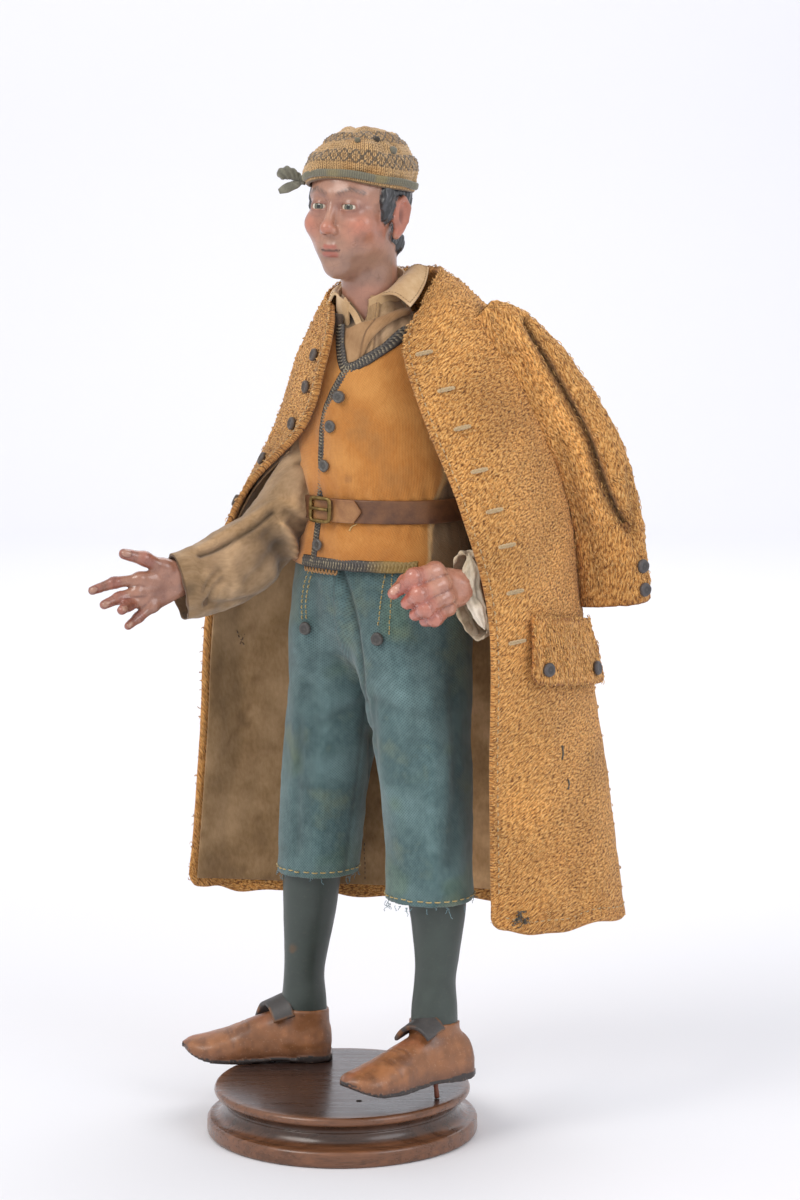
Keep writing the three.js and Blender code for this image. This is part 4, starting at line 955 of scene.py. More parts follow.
breechesLook = {
    "light": "#657f7f", "dark": "#425b5c", "stain": "#6f7a64", "step": 1.32, "weave": 0.85,
}
hips = [
    [17.5, 8, 222, 37, 30, 38], [17.2, 8, 206, 39, 31, 39], [16.8, 8, 192, 37.6, 27, 39],
    [16.4, 8, 180, 32, 20, 39], [16, 8.5, 170, 20, 10, 39],
]
breechLegs = {
    "right": [
        [5.2, 18, 208, 21, 27, 39], [3.2, 20.6, 188, 22, 28.5, 39], [-0.6, 26, 164, 20.8, 23, 39],
        [-6, 32, 124, 18.4, 18.8, 39], [-8.1, 34, 102, 17.8, 18.2, 39], [-9.8, 35, 81.5, 17, 17.4, 39],
    ],
    "left": [
        [29, -1.2, 208, 21, 27, 39], [29.4, -4, 188, 22.4, 28.5, 39], [31, -9, 164, 21.2, 23, 39],
        [33.8, -14, 128, 18.8, 19, 39], [35.4, -15.6, 104, 17.4, 18, 39], [36, -16.4, 81, 17.8, 18, 39],
    ],
}


# How far places are outside a form with level rings, in millimetres
def ringDistance(stations, p, grow=0.0):
    height = p[..., 2] - plinthHeight
    ring = ringAt(stations, height)
    turn = np.radians(ring[..., 5])
    dx, dy = p[..., 0] - ring[..., 0], p[..., 1] - ring[..., 1]
    a = dx * np.cos(turn) - dy * np.sin(turn)
    b = -dx * np.sin(turn) - dy * np.cos(turn)
    wide, deep = ring[..., 3] + grow, ring[..., 4] + grow
    flat = (np.hypot(a / wide, b / deep) - 1) * np.minimum(wide, deep)
    top, bottom = max(s[2] for s in stations), min(s[2] for s in stations)
    return np.maximum(flat, np.maximum(height - top, bottom - height))


def vertexNormals(points, quads):
    quads = np.asarray(quads)
    cross = np.cross(points[quads[:, 2]] - points[quads[:, 0]], points[quads[:, 3]] - points[quads[:, 1]])
    total = np.zeros_like(points)
    for k in range(4):
        np.add.at(total, quads[:, k], cross)
    return unit(total)


def relaxed(points, quads, times=2):
    for _ in range(times):
        total, count = np.zeros_like(points), np.zeros((len(points), 1))
        middle = points[quads].mean(1)
        for k in range(4):
            np.add.at(total, quads[:, k], middle)
            np.add.at(count, quads[:, k], 1)
        points = 0.4 * points + 0.6 * total / np.maximum(count, 1)
    return points


# A map around an upright axis for faces anywhere, whole within each face
def roundMap(points, quads, middle, radius):
    angle = np.arctan2(points[:, 1] - middle[:, 1], points[:, 0] - middle[:, 0])
    corners = angle[quads]
    first = corners[:, :1]
    corners = first + (corners - first + np.pi) % (2 * np.pi) - np.pi
    return np.stack([corners * radius, points[quads][..., 2]], -1) * metre


# Small stitches as short tubes laid along a line, half sunk in the cloth
def stitchParts(line, length=2.6, gap=1.6, thick=0.32, lift=0.25, out=None, sides=6, wander=0.12, seed=3):
    line = np.asarray(line, float)
    run = np.concatenate([[0], np.cumsum(np.linalg.norm(np.diff(line, axis=0), axis=1))])
    parts = []
    spot = gap / 2
    rng = np.random.default_rng(seed)
    while spot + length < run[-1]:
        places = spot + length * np.linspace(0, 1, 6)
        path = np.stack([np.interp(places, run, line[:, i]) for i in range(3)], 1)
        rise = np.array([-0.35, 0.5, 0.9, 0.9, 0.5, -0.35])[:, None] * lift
        if out is not None:
            outward = np.stack([np.interp(places, run, out[:, i]) for i in range(3)], 1)
            path = path + outward * rise
        path = path + rng.normal(0, wander, 3)
        parts.append(tubeMesh(path, thick, sides))
        spot += length + gap * rng.uniform(0.7, 1.3)
    return parts


def threadMaterial(name, light, dark):
    # Twisted thread: fine slanting bands of light and shade along each stitch
    material, tree, shader, where = startMaterial(name, 0.75, Sheen_Weight=0.3)
    twist = addNode(
        tree, "ShaderNodeTexNoise",
        {
            "Vector": addNode(
                tree, "ShaderNodeMapping", {0: where.outputs["Object"], 3: (1.0, 1.0, 2.2)}, out=0
            ),
            "Scale": 1000 / 0.5, "Detail": 2.0, "Roughness": 0.6
        },
        out=0
    )
    tree.links.new(
        addNode(tree, "ShaderNodeValToRGB", {0: twist}, [(0.35, dark), (0.62, light)], out=0),
        shader.inputs["Base Color"]
    )
    bumped(tree, shader, twist, 0.5, 0.05)
    return material


# Seen folds: pixels, width and depth. Seams, worn places, and painted shade and highlight along the folds:
# pixels, width and share of light left
breechesFolds = [
    ([(340, 567), (350, 596), (356, 624), (361, 659), (364, 700)], 1.3, 1.2),
    ([(332, 570), (340, 600), (346, 640)], 2.6, -0.5),
    ([(366, 706), (371, 740), (369, 800)], 2.2, 1.2),
    ([(372, 706), (376, 760), (384, 840)], 2.6, 1.0),
    ([(366, 700), (340, 716), (318, 724)], 2.6, 0.7),
    ([(372, 700), (402, 712), (430, 716)], 2.6, 0.7),
    ([(300, 720), (298, 780), (296, 850)], 2.4, 0.7),
    ([(330, 700), (322, 780), (318, 860)], 3.0, -0.7),
    ([(428, 700), (430, 780), (434, 880)], 3.4, -0.8),
    ([(452, 680), (455, 760), (452, 860)], 3.0, 0.7),
    ([(316, 580), (314, 650), (306, 700)], 3.0, 0.6),
    ([(412, 640), (418, 680), (414, 740)], 3.0, 0.6),
]
breechesSeamsAndShading = [
    ([(340, 567), (350, 596), (356, 624), (361, 659), (364, 700)], 0.9, 0.62),
    ([(365, 700), (361, 735), (355, 790), (349, 830), (345, 868)], 0.9, 0.7),
    ([(368, 700), (364, 735), (358, 790), (352, 830), (348, 868)], 1.0, 1.2),
    ([(312, 590), (326, 630), (344, 660)], 5.0, 0.82), ([(410, 650), (430, 680), (434, 730)], 6.0, 0.8),
    ([(400, 610), (404, 660), (398, 720)], 5.0, 1.12), ([(300, 740), (306, 790), (300, 850)], 5.0, 0.86),
    ([(452, 640), (456, 740), (452, 860)], 5.0, 0.72), ([(332, 740), (330, 800), (326, 860)], 4.0, 1.12),
]
breechesSlits = [
    [(309, 570), (304, 587), (302, 606), (303, 624)], [(313, 570), (308, 589), (306, 606), (307, 622)],
    [(385, 574), (381, 600), (378, 630)], [(392, 572), (391, 600), (389, 636)],
]


def makeBreeches():
    def field(p):
        body = ringDistance(hips, p)
        for stations in breechLegs.values():
            body = smoothJoin(body, ringDistance(stations, p), 2.2)
        for stations in breechLegs.values():
            hem = stations[-1][2] + plinthHeight
            bore = np.maximum(
                ringDistance([[*s[:3], *s[3:]] for s in stations[2:]], p, -1.7), p[..., 2] - hem - 19
            )
            below = np.where(p[..., 2] < hem, -1.0, bore)
            body = np.maximum(body, -np.where(p[..., 2] < hem + 0.4, np.maximum(below, bore), bore))
        return body

    low = np.array([-32.0, -42, 98])
    points, quads = fieldMesh(field, low, (64, 60, 243), breechesLook["step"])
    points = relaxed(points, quads, 2)
    normals = vertexNormals(points, quads)
    height = points[:, 2] - plinthHeight
    middles = {side: ringAt(stations, height) for side, stations in breechLegs.items()}
    toRight = np.hypot(*(points - middles["right"][:, :3])[:, :2].T)
    toLeft = np.hypot(*(points - middles["left"][:, :3])[:, :2].T)
    isRight = toRight < toLeft
    middle = np.where(isRight[:, None], middles["right"][:, :3], middles["left"][:, :3])
    outside = ((points - middle) * normals).sum(1) > 0
    # Soft folds that fall from the hips, fading to the hems, and hollows round the crotch
    side = points - middle
    angle = np.arctan2(side[:, 1], side[:, 0])
    wave = np.sin(5 * angle + 0.045 * height + np.where(isRight, 0.0, 1.7)) * smooth(80, 130, height)
    wave = 0.55 * wave + 0.5 * fractal(points * [1, 1, 0.45], 15, 3, 7) + 0.25 * fractal(points, 6, 2, 3)
    moved = points + normals * (wave * np.where(outside, 1, 0.3))[:, None]
    tree = BVHTree.FromPolygons((moved * metre).tolist(), quads.tolist())
    plain = moved
    moved = creased(moved, normals, tree, breechesFolds)
    radius = 18.0
    corners = roundMap(moved, quads, middle, radius)
    hem = np.where(isRight, 81.5, 81.0)
    fray = smooth(2.2, 0.0, height - hem) * (0.6 + 0.4 * noise(points / 2.2, 5))
    patches = smooth(0.25, 0.75, fractal(points, 22, 3, 12))
    tone = mix(np.ones(3), np.array([1.06, 1.02, 0.78]), patches * 0.8)
    # Darker where the two legs meet below the crotch: painted shade between the legs
    tone = mix(tone, [0.62, 0.6, 0.52], 0.7 * smooth(4.0, 1.4, np.abs(toLeft - toRight)) * (height < 170))
    tone = mix(tone, [1.3, 1.15, 0.85], 0.5 * fray)
    tone = mix(tone, [0.8, 0.82, 0.8], 0.6 * smooth(0.2, 0.9, fractal(points * [1, 1, 0.3], 11, 2, 31)))
    material = woven(
        "TealLinenTwillFadedInPatches", breechesLook["light"], breechesLook["dark"], breechesLook["stain"],
        breechesLook["weave"], 0.16, 0.35, tones=True, contrast=0.85, slant=0.7,
    )
    tone = shaded(plain, tree, tone, creaseMarks(breechesFolds, 0.2) + breechesSeamsAndShading)
    piece = makePiece("linen_breeches", moved, quads, material, corners, tone)
    finishPiece(piece, "linen_twill", "breeches")

    # Running stitches round the hems, and the sewn slits below the waist
    own = pieceTree(piece)
    parts = []
    for stations in breechLegs.values():
        ring = ringAt(stations, np.full(240, stations[-1][2] + 3.2))
        turns = np.linspace(0, 2 * np.pi, 240)
        line, outs = [], []
        for k in range(240):
            aim = leftOf(ring[k, 5]) * math.cos(turns[k]) + frontOf(ring[k, 5]) * math.sin(turns[k])
            centre = ring[k, :3] + upward * plinthHeight
            hit = own.ray_cast(Vector((centre + aim * 40) * metre), Vector(-aim))
            line.append(np.array(hit[0]) / metre if hit[0] else centre + aim * ring[k, 3])
            outs.append(aim)
        parts += stitchParts(line, 2.2, 1.5, 0.3, 0.4, np.array(outs), seed=1)
    for pixels in breechesSlits:
        found = seenAt(own, curve(pixels, np.linspace(0, 1, 30)))
        line, outs = np.array([f[0] for f in found]), np.array([f[1] for f in found])
        parts += stitchParts(line, 1.3, 0.8, 0.28, 0.4, outs, wander=0.05)
    points, faces, _ = merged(parts)
    thread = threadMaterial("YellowedSewingThread", "#c9b074", "#8a7440")
    finishPiece(makePiece("breeches_stitches", points, faces, thread), "braid_thread")
    # Threads that have come loose at the hems
    rng = np.random.default_rng(11)
    loose = []
    for stations in breechLegs.values():
        x, y, z, across, deep, turn = stations[-1]
        for _ in range(26):
            a = rng.uniform(0, 2 * np.pi)
            start = np.array([x, y, z + plinthHeight + 0.4])
            start = start + leftOf(turn) * across * math.cos(a) + frontOf(turn) * deep * math.sin(a)
            drop = np.cumsum(rng.normal(0, 0.35, (6, 3)) - [0, 0, 0.35], axis=0)
            loose.append(tubeMesh(np.concatenate([[start], start + drop]), 0.13, 5))
    points, faces, _ = merged(loose)
    finishPiece(makePiece("breeches_frayed_threads", points, faces, breechesThread), "linen_twill")


breechesThread = threadMaterial("TealThreadFrayedFromHem", "#7c9ba0", "#3f6672")
makeBreeches()
print("breeches made")


def buttonPlace(name):
    mesh = bpy.data.objects[name].data
    points = np.array([v.co[:] for v in mesh.vertices]) / metre
    points = np.unique(points.round(4), axis=0)
    centre = points.mean(0)
    _, _, axes = np.linalg.svd(points - centre)
    normal = axes[2]
    flat = points - centre - ((points - centre) @ normal)[:, None] * normal
    reach = np.linalg.norm(flat, axis=1)
    rim = reach > 0.93 * reach.max()
    if ((points[~rim] - points[rim].mean(0)) @ normal).mean() < 0:
        normal = -normal
    back = points[rim].mean(0)
    return back, normal, reach.max()


def frameOf(normal):
    side = unit(np.cross([0.0, 0, 1], normal)) if abs(normal[2]) < 0.95 else np.array([1.0, 0, 0])
    return side, np.cross(normal, side)


# A turned button: dished face and raised rim, seated on the cloth under it where that is given
def makeButton(name, node, slot, material, colour, height=1.5, swell=1.0, dish=0.35, under=None):
    back, normal, radius = buttonPlace(node)
    hit = under and under.ray_cast(Vector((back + normal * 4) * metre), Vector(-normal), 10 * metre)[0]
    if hit:
        back = back - normal * max(0, (back - np.array(hit) / metre) @ normal - 0.3)
    side, up = frameOf(normal)
    radius = radius * swell
    profile = [
        (0.02, 0.05), (0.7, 0.05), (0.95, 0.2), (1.0, 0.45), (0.96, 0.72), (0.86, 0.95), (0.76, 1.0),
        (0.66, 0.96),
        (0.52, 1 - dish * 0.8), (0.34, 1 - dish), (0.16, 1 - dish * 0.95), (0.02, 1 - dish * 0.9),
    ]
    turn = ringAngles(40)
    rows = []
    for r, h in profile:
        uneven = 1 + 0.02 * np.sin(3 * turn + len(name)) + 0.012 * np.sin(7 * turn)
        ring = (np.cos(turn)[:, None] * side + np.sin(turn)[:, None] * up) * (r * radius * uneven)[:, None]
        rows.append(back + ring + normal * (h * height - 0.1))
    rows = np.array(rows)
    share = np.linspace(0, 1, len(rows))[:, None] * np.ones(len(turn))
    tone = mix(toneOf(colour), toneOf(colour) * 0.55, smooth(0.6, 0.8, share) * smooth(1.0, 0.85, share))
    faces = gridFaces(len(rows), len(turn), True, flip=facesIn(rows, back, True))
    piece = makePiece(name, rows, faces, material, tones=tone)
    return finishPiece(piece, slot, node)


hornPaint = painted("TarnishedMetalButtonFace", 0.42, 0.15, 1.6, "#a59c92", 0.35, 0.1)
for index, name in enumerate(("breeches_button_1", "breeches_button_2")):
    makeButton(f"slit_{name}", name, "button_metal", hornPaint, "#494643", 2.0, 1.05, 0.1)

torso = [
    [12.8, 3, 326, 12.4, 12, 32], [14.4, 2.8, 319, 15.4, 13.4, 33], [14.6, 4.4, 309, 21.6, 18.6, 34],
    [14.8, 6, 292, 28.6, 24.4, 34], [15.5, 6.5, 268, 32, 27, 35], [17, 7, 243, 34, 27, 36],
    [17.5, 8, 222.3, 37, 30, 38], [17.3, 8, 205, 39.6, 31.6, 39],
]
chestTurn = 35
chestMiddle = np.array([15.5, 6.5, 0.0])
vestDistance = 1.5 + 0.6


# Points round the chest at angles and heights, some distance off the shirt
def roundChest(angles, heights, distance):
    ring = ringAt(torso, heights)
    left, front = leftOf(ring[..., 5]), frontOf(ring[..., 5])
    a, b = ring[..., 3] + distance, ring[..., 4] + distance
    middle = ring[..., :3] + upward * plinthHeight
    return middle + (a * np.cos(angles))[..., None] * left + (b * np.sin(angles))[..., None] * front


# Points on the chest's front by coordinates across and up
def chestPoint(across, heights, distance):
    across, heights, distance = np.broadcast_arrays(
        np.asarray(across, float), np.asarray(heights, float), np.asarray(distance, float)
    )
    low, high = np.zeros(across.shape), np.full(across.shape, np.pi)
    for _ in range(26):
        half = (low + high) / 2
        offset = (roundChest(half, heights, distance) - chestMiddle) @ leftOf(chestTurn)
        low = np.where(offset > across, half, low)
        high = np.where(offset > across, high, half)
    return roundChest((low + high) / 2, heights, distance)


neckline = np.array(
    [[-5.6, 326], [-3.8, 314.6], [-1.3, 304.8], [3.5, 297.8], [15.9, 305.3], [21.8, 313.2], [26.8, 326]]
)
vestTop, vestHem, beltHeight = 318.5, 217.0, 241.0
frontEdge = np.array(
    [[3.5, 297.8], [-2.8, 286.8], [-6.6, 276.5], [-8.4, 256.3], [-10.2, beltHeight], [-12.2, vestHem + 2]]
)
vestLook = {
    "light": "#cf9048", "dark": "#b9762f", "stain": "#9c6a35", "weave": 0.62, "braid": "#5b5550",
    "braidLight": "#b5a684", "braidDark": "#2a2625",
}


# The raw left edge of the vest's front, as seen
vestSide = [(442, 430), (440, 450), (437, 480), (435, 500), (432, 530), (430, 555)]


def makeVest():
    columns = 204
    angles = ringAngles(columns)
    top = np.full(columns, vestTop)
    for _ in range(30):
        offset = (roundChest(angles, top, vestDistance) - chestMiddle) @ leftOf(chestTurn)
        limit = np.interp(offset, neckline[:, 0], neckline[:, 1], vestTop + 9, vestTop + 9)
        isFront = np.sin(angles) > 0
        top = np.where(isFront, 0.5 * top + 0.5 * np.minimum(vestTop, limit), vestTop)
    rows = crowded(64, 100, 0.6)
    heights = top + (vestHem - top) * rows[:, None]
    grid = np.broadcast_to(angles, heights.shape)
    middle = roundChest(grid, heights, vestDistance)
    offset = (middle - chestMiddle) @ leftOf(chestTurn)
    edge = np.interp(heights, frontEdge[::-1, 1], frontEdge[::-1, 0])
    front = np.sin(grid) > 0
    normals = gridNormals(middle, True)
    # The front laps over along its edge, the cloth puckers at the belt and blouses above it
    lap = 0.5 * smooth(-1, 1, offset - edge) * smooth(60, 20, offset - edge) * front * (heights < 297)
    belt = -0.7 * bell(heights, beltHeight, 6) + 0.9 * bell(heights, beltHeight + 13, 8)
    pucker = 0.35 * np.sin(grid * 34 + 2 * noise(middle / 20, 3)) * bell(heights, beltHeight, 11)
    soft = 0.45 * fractal(middle * [1, 1, 0.6], 17, 3, 6)
    drag = 0.5 * np.sin((offset * 0.9 + (heights - 260) * 0.55) * 0.28) * smooth(310, 280, heights) * front
    middle = middle + normals * (lap + belt + pucker + soft + 0.5 * drag)[..., None]
    tone = np.ones((*heights.shape, 3))
    stain = smooth(2.3, 1.2, np.hypot(offset - 5.4, heights - 254)) * front
    tone = mix(tone, [0.62, 0.62, 0.8], 0.6 * stain)
    tone = mix(tone, [0.8, 0.74, 0.66], 0.5 * smooth(12, 2, heights - vestHem))
    tone = mix(tone, [1.12, 1.02, 0.8], 0.6 * smooth(0.1, 0.8, fractal(middle, 20, 2, 4)))
    # The back is brown linen; the front panel ends at its left side in a pale raw edge
    seen = np.array([place for place, _ in seenAt(gridTree(middle), vestSide)])
    across = (seen - chestMiddle) @ leftOf(chestTurn)
    side = np.interp(-heights, plinthHeight - seen[:, 2], across) + 0.25 * noise(middle / 2.5, 19)
    back = np.maximum(smooth(0, 0.5, offset - side), smooth(33, 34, -offset)) * front + ~front
    tone = mix(tone, [0.32, 0.46, 1.05], np.clip(back, 0, 1))
    tone = mix(tone, [1.0, 1.7, 4.0], 0.8 * bell(offset, side - 0.2, 0.4) * front)
    # The top of the front at the right is painted nearly black: painted shade in the hole there
    hole = front * (offset < -3) * smooth(307, 312, heights)
    tone = mix(tone, [0.12, 0.16, 0.4], hole)
    full = edgeFullness(middle, 0.6, True)
    material = woven(
        "OchreVestLinenHandWoven", vestLook["light"], vestLook["dark"], vestLook["stain"], vestLook["weave"],
        0.14, 0.28, tones=True, contrast=0.62,
    )
    piece = clothPiece("woven_vest", middle, material, 0.6 * full, 0.6 * full, True, False, tone)
    finishPiece(piece, "silk_linen", "vest")
    return pieceTree(piece)


vestSurface = makeVest()


# A plaited band along a line on the chest: flat, its strands crossing in small raised knots
def braidPart(line, width, distance, pitch=1.3):
    line = spaced(line, 0.32)
    run = np.concatenate([[0], np.cumsum(np.linalg.norm(np.diff(line, axis=0), axis=1))])
    side = unit(np.gradient(line, axis=0))[:, ::-1] * [1, -1]
    across = np.linspace(-0.5, 0.5, 13)
    uneven = 1 + 0.07 * noise(np.stack([run / 2.5, run * 0, run * 0], 1), 3)
    flat = line[:, None] + side[:, None] * (across[:, None] * width) * uneven[:, None, None]
    phase = 2 * np.pi * run[:, None] / pitch
    knots = np.abs(np.sin(phase / 2 + 3.4 * np.abs(across) * 2)) * np.cos(np.pi * across) ** 0.3
    ridge = np.abs(np.cos(3 * np.pi * across))
    height = 0.75 * knots + 0.35 * ridge * np.sin(phase + 3 * across)
    edge = np.sqrt(np.clip(1 - (2 * across) ** 4, 0, 1))
    outer = chestPoint(flat[..., 0], flat[..., 1], distance + (0.15 + 0.95 * np.clip(height, 0, 1.2)) * edge)
    inner = chestPoint(flat[..., 0], flat[..., 1], distance - 0.35)
    # The lower parts of the plait are painted darker: painted shade between the knots
    shade = np.clip(height, 0, 1)
    tone = mix(toneOf(vestLook["braidDark"]), toneOf(vestLook["braid"]), shade)
    light = smooth(0.45, 0.9, np.sin(phase + 5 * across) * knots + 0.4 * noise(outer / 1.1, 2))
    tone = mix(tone, toneOf(vestLook["braidLight"]), 0.75 * light)
    count = outer.shape[0] * outer.shape[1]
    rows, columns = outer.shape[:2]
    faces = gridFaces(rows, columns)
    if facesIn(outer, chestMiddle + upward * outer[..., 2].mean()):
        faces = faces[:, ::-1]
    under = gridFaces(rows, columns, offset=count)[:, ::-1]
    if facesIn(outer, chestMiddle + upward * outer[..., 2].mean()):
        under = under[:, ::-1]
    i = np.arange(rows - 1) * columns
    j = np.arange(columns - 1)
    last = (rows - 1) * columns
    walls = [np.stack([i, i + columns, i + columns + count, i + count], 1)]
    walls.append(
        np.stack(
            [i + columns - 1, i + columns - 1 + count, i + 2 * columns - 1 + count, i + 2 * columns - 1], 1
        )
    )
    walls.append(np.stack([j, j + count, j + 1 + count, j + 1], 1))
    walls.append(np.stack([last + j, last + j + 1, last + j + 1 + count, last + j + count], 1))
    points = np.concatenate([outer.reshape(-1, 3), inner.reshape(-1, 3)])
    # The underside is painted at half its tone: painted shade
    tones = np.concatenate([tone.reshape(-1, 3), tone.reshape(-1, 3) * 0.5])
    return points, np.concatenate([faces, under, *walls]).tolist(), tones


strawPixels = [(350, 531), (352, 527), (357, 524), (361, 519)]


def makeBraid():
    distance = 3.0
    hem = np.stack([np.linspace(-19, 32, 20), np.full(20, vestHem + 2.3)], 1)
    lines = [
        (curve(neckline[1:-1], np.linspace(0, 1, 60)), 4.2), (curve(frontEdge, np.linspace(0, 1, 80)), 3.6),
        (hem, 4.6)
    ]
    points, faces, tones, offset = [], [], [], 0
    for line, width in lines:
        p, f, t = braidPart(line, width, distance)
        points.append(p)
        tones.append(t)
        faces += [[i + offset for i in face] for face in f]
        offset += len(p)
    tones = np.concatenate(tones)
    points = np.concatenate(points)
    # Towards the vest's left the hem braid is worn back to its yellow core
    low = (points[:, 2] < plinthHeight + vestHem + 6) * smooth(
        12, 24, (points - chestMiddle) @ leftOf(chestTurn)
    )
    tones = mix(tones, toneOf("#9b7d3c"), 0.75 * low)
    material = painted("MetalThreadBraidTarnished", 0.55, 0.05, 0.8, "#b9ad8e", 0.3, 0.08)
    finishPiece(
        makePiece("plaited_vest_braid", points, faces, material, tones=tones), "braid_thread", "vest_braid"
    )
    # Small scallops of the vest's own cloth hang below the braid
    parts = []
    for across in np.arange(-17.5, 1.0, 1.9):
        line = [chestPoint(across + s, vestHem + 0.5 - d, vestDistance) for s, d in
                ((-0.8, 0), (-0.7, 1.6), (0, 2.5), (0.7, 1.6), (0.8, 0))]
        parts.append(tubeMesh(curve(np.array(line), np.linspace(0, 1, 14)), 0.4, 6))
    points, faces, _ = merged(parts)
    ochre = threadMaterial("OchreScallopThread", "#a97b45", "#7d5a34")
    finishPiece(makePiece("scalloped_hem_thread", points, faces, ochre), "silk_linen")
    # A pale broken straw caught in the cloth under the belt
    straw = [place + normal * 0.4 for place, normal in seenAt(vestSurface, strawPixels)]
    points, faces = tubeMesh(curve(np.array(straw), np.linspace(0, 1, 12)), np.linspace(0.3, 0.14, 12), 7)
    dry = threadMaterial("DryStrawSplit", "#e0bf7c", "#a9803f")
    finishPiece(makePiece("straw_fleck", points, faces, dry), "silk_linen")


makeBraid()
# Each button's height and dish: the top one is a taller, flatter knob
vestButtons = {
    "vest_button_1": (2.6, 0.12), "vest_button_2": (1.5, 0.3), "vest_button_3": (1.5, 0.3),
    "vest_button_4": (1.5, 0.3),
}
for name, (height, dish) in vestButtons.items():
    makeButton(f"turned_{name}", name, "button_metal", hornPaint, "#58544f", height, 1.02, dish)
print("vest, braid and buttons made")

beltLook = {
    "leather": "#7d5230", "dark": "#523220", "tip": "#ab7a4b", "brass": ("#5c5236", "#866f44", "#ab8e58")
}


def leatherMaterial(name, light, dark):
    # Vegetable-tanned strap: fine grain, rubbed paler on its raised faces
    material, tree, shader, where = startMaterial(name, 0.55, Coat_Weight=0.12, Coat_Roughness=0.3)
    rubbed = addNode(
        tree, "ShaderNodeTexNoise",
        {"Vector": where.outputs["Object"], "Scale": 1000 / 9, "Detail": 4.0, "Roughness": 0.6}, out=0
    )
    grain = addNode(tree, "ShaderNodeTexVoronoi", {"Vector": where.outputs["Object"], "Scale": 1600.0})
    base = addNode(tree, "ShaderNodeValToRGB", {0: rubbed}, [(0.35, dark), (0.65, light)], out=0)
    tint = addNode(tree, "ShaderNodeValToRGB", {0: grain.outputs[0]}, [(0.0, 1.0), (0.6, 0.6)], out=0)
    base = addNode(
        tree, "ShaderNodeMix", {0: 0.3, 6: base, 7: tint}, out=2, data_type="RGBA", blend_type="MULTIPLY"
    )
    tree.links.new(base, shader.inputs["Base Color"])
    bumped(tree, shader, grain.outputs[0], 0.3, 0.08)
    bumped(tree, shader, rubbed, 0.3, 0.3)
    return material


def makeBelt():
    columns = 180
    rows = crowded(10, 9.4, 0.6)
    angles = ringAngles(columns)
    heights = beltHeight + 4.7 - 9.4 * rows[:, None] + 0 * angles
    grid = np.broadcast_to(angles, heights.shape)
    distance = 3.6 + 0.15 * np.sin(5 * grid)
    middle = roundChest(grid, heights, distance)
    middle = middle + gridNormals(middle, True) * (0.25 * fractal(middle, 9, 2, 5))[..., None]
    full = edgeFullness(middle, 0.6, True)
    strap = leatherMaterial("BrownStrapLeatherRubbed", beltLook["leather"], beltLook["dark"])
    piece = clothPiece("belt_strap", middle, strap, 0.65 * full, 0.5 * full, True, False)
    finishPiece(piece, "belt_leather", "belt")
    # The free end laps over the braid and ends in a point
    u, v = np.meshgrid(crowded(40, 24, 0.6), crowded(12, 9.4, 0.6))
    point = 8.6 + 3.5 * (1 - np.abs(2 * v - 1))
    across = -13 + (point + 13) * u
    lift = 4.75 + 0.5 * smooth(-6, 8, across) + 0.3 * np.sin(across * 0.5)
    middle = chestPoint(across, beltHeight + 4.7 - 9.4 * v, lift)
    flip = facesIn(middle, chestMiddle + upward * (beltHeight + plinthHeight))
    full = edgeFullness(middle, 0.6)
    tip = leatherMaterial("TanLeatherStrapEnd", beltLook["tip"], "#80522f")
    piece = clothPiece("belt_strap_end", middle, tip, 0.6 * full, 0.55 * full, flip=flip)
    finishPiece(piece, "belt_leather")

    # Square frame buckle with a tongue, its bars rounded by wear.
    # Aged brass: a warm metal gleam, dull and green where the tarnish sits
    brass, tree, shader, where = startMaterial("AgedBrassWithGreenTarnish", 0.42, Metallic=1.0)
    tarnish = addNode(
        tree, "ShaderNodeTexNoise",
        {"Vector": where.outputs["Object"], "Scale": 1000 / 3, "Detail": 5.0, "Roughness": 0.65}, out=0
    )
    metal = list(zip((0.3, 0.5, 0.7), beltLook["brass"]))
    tree.links.new(
        addNode(tree, "ShaderNodeValToRGB", {0: tarnish}, metal, out=0), shader.inputs["Base Color"]
    )
    tree.links.new(
        addNode(tree, "ShaderNodeValToRGB", {0: tarnish}, [(0.35, 0.6), (0.65, 0.32)], out=0),
        shader.inputs["Roughness"]
    )
    bumped(tree, shader, tarnish, 0.3, 0.08)
    turn = np.linspace(0, 2 * np.pi, 97)[:-1]
    reach = 4.6 / (np.abs(np.cos(turn)) ** 7 + np.abs(np.sin(turn)) ** 7) ** (1 / 7)
    loop = np.stack([reach * np.cos(turn), reach * np.sin(turn)], 1)
    section = ringAngles(12)
    out, lift = 0.85 * np.cos(section), 0.7 * np.sin(section)
    away = unit(loop)
    flat = loop[:, None] + away[:, None] * out[:, None]
    place = chestPoint(-7.0 + flat[..., 0] * 1.14, beltHeight + flat[..., 1], 6.6)
    normal = frontOf(35 + 8)
    points = place + lift[None, :, None] * normal
    faces = []
    for i in range(96):
        for j in range(12):
            a, b = i * 12 + j, i * 12 + (j + 1) % 12
            c, d = ((i + 1) % 96) * 12 + (j + 1) % 12, ((i + 1) % 96) * 12 + j
            faces.append([a, b, c, d])
    bar = [chestPoint(-7.6 - 4.6, beltHeight + 0.3, 6.9), chestPoint(-7.6, beltHeight + 0.4, 7.5),
           chestPoint(-7.6 + 5.2, beltHeight + 0.2, 7.2)]
    tongue = tubeMesh(curve(np.array(bar), np.linspace(0, 1, 12)), 0.7, 8)
    across = [chestPoint(-7.6 - 4.4, beltHeight + s, 6.4) for s in (-4.2, 4.2)]
    hinge = tubeMesh(np.array(across), 0.75, 8)
    points, faces, _ = merged([(points.reshape(-1, 3), faces), tongue, hinge])
    finishPiece(makePiece("square_buckle", points, faces, brass), "buckle_brass", "belt_buckle")


makeBelt()
print("belt and buckle made")

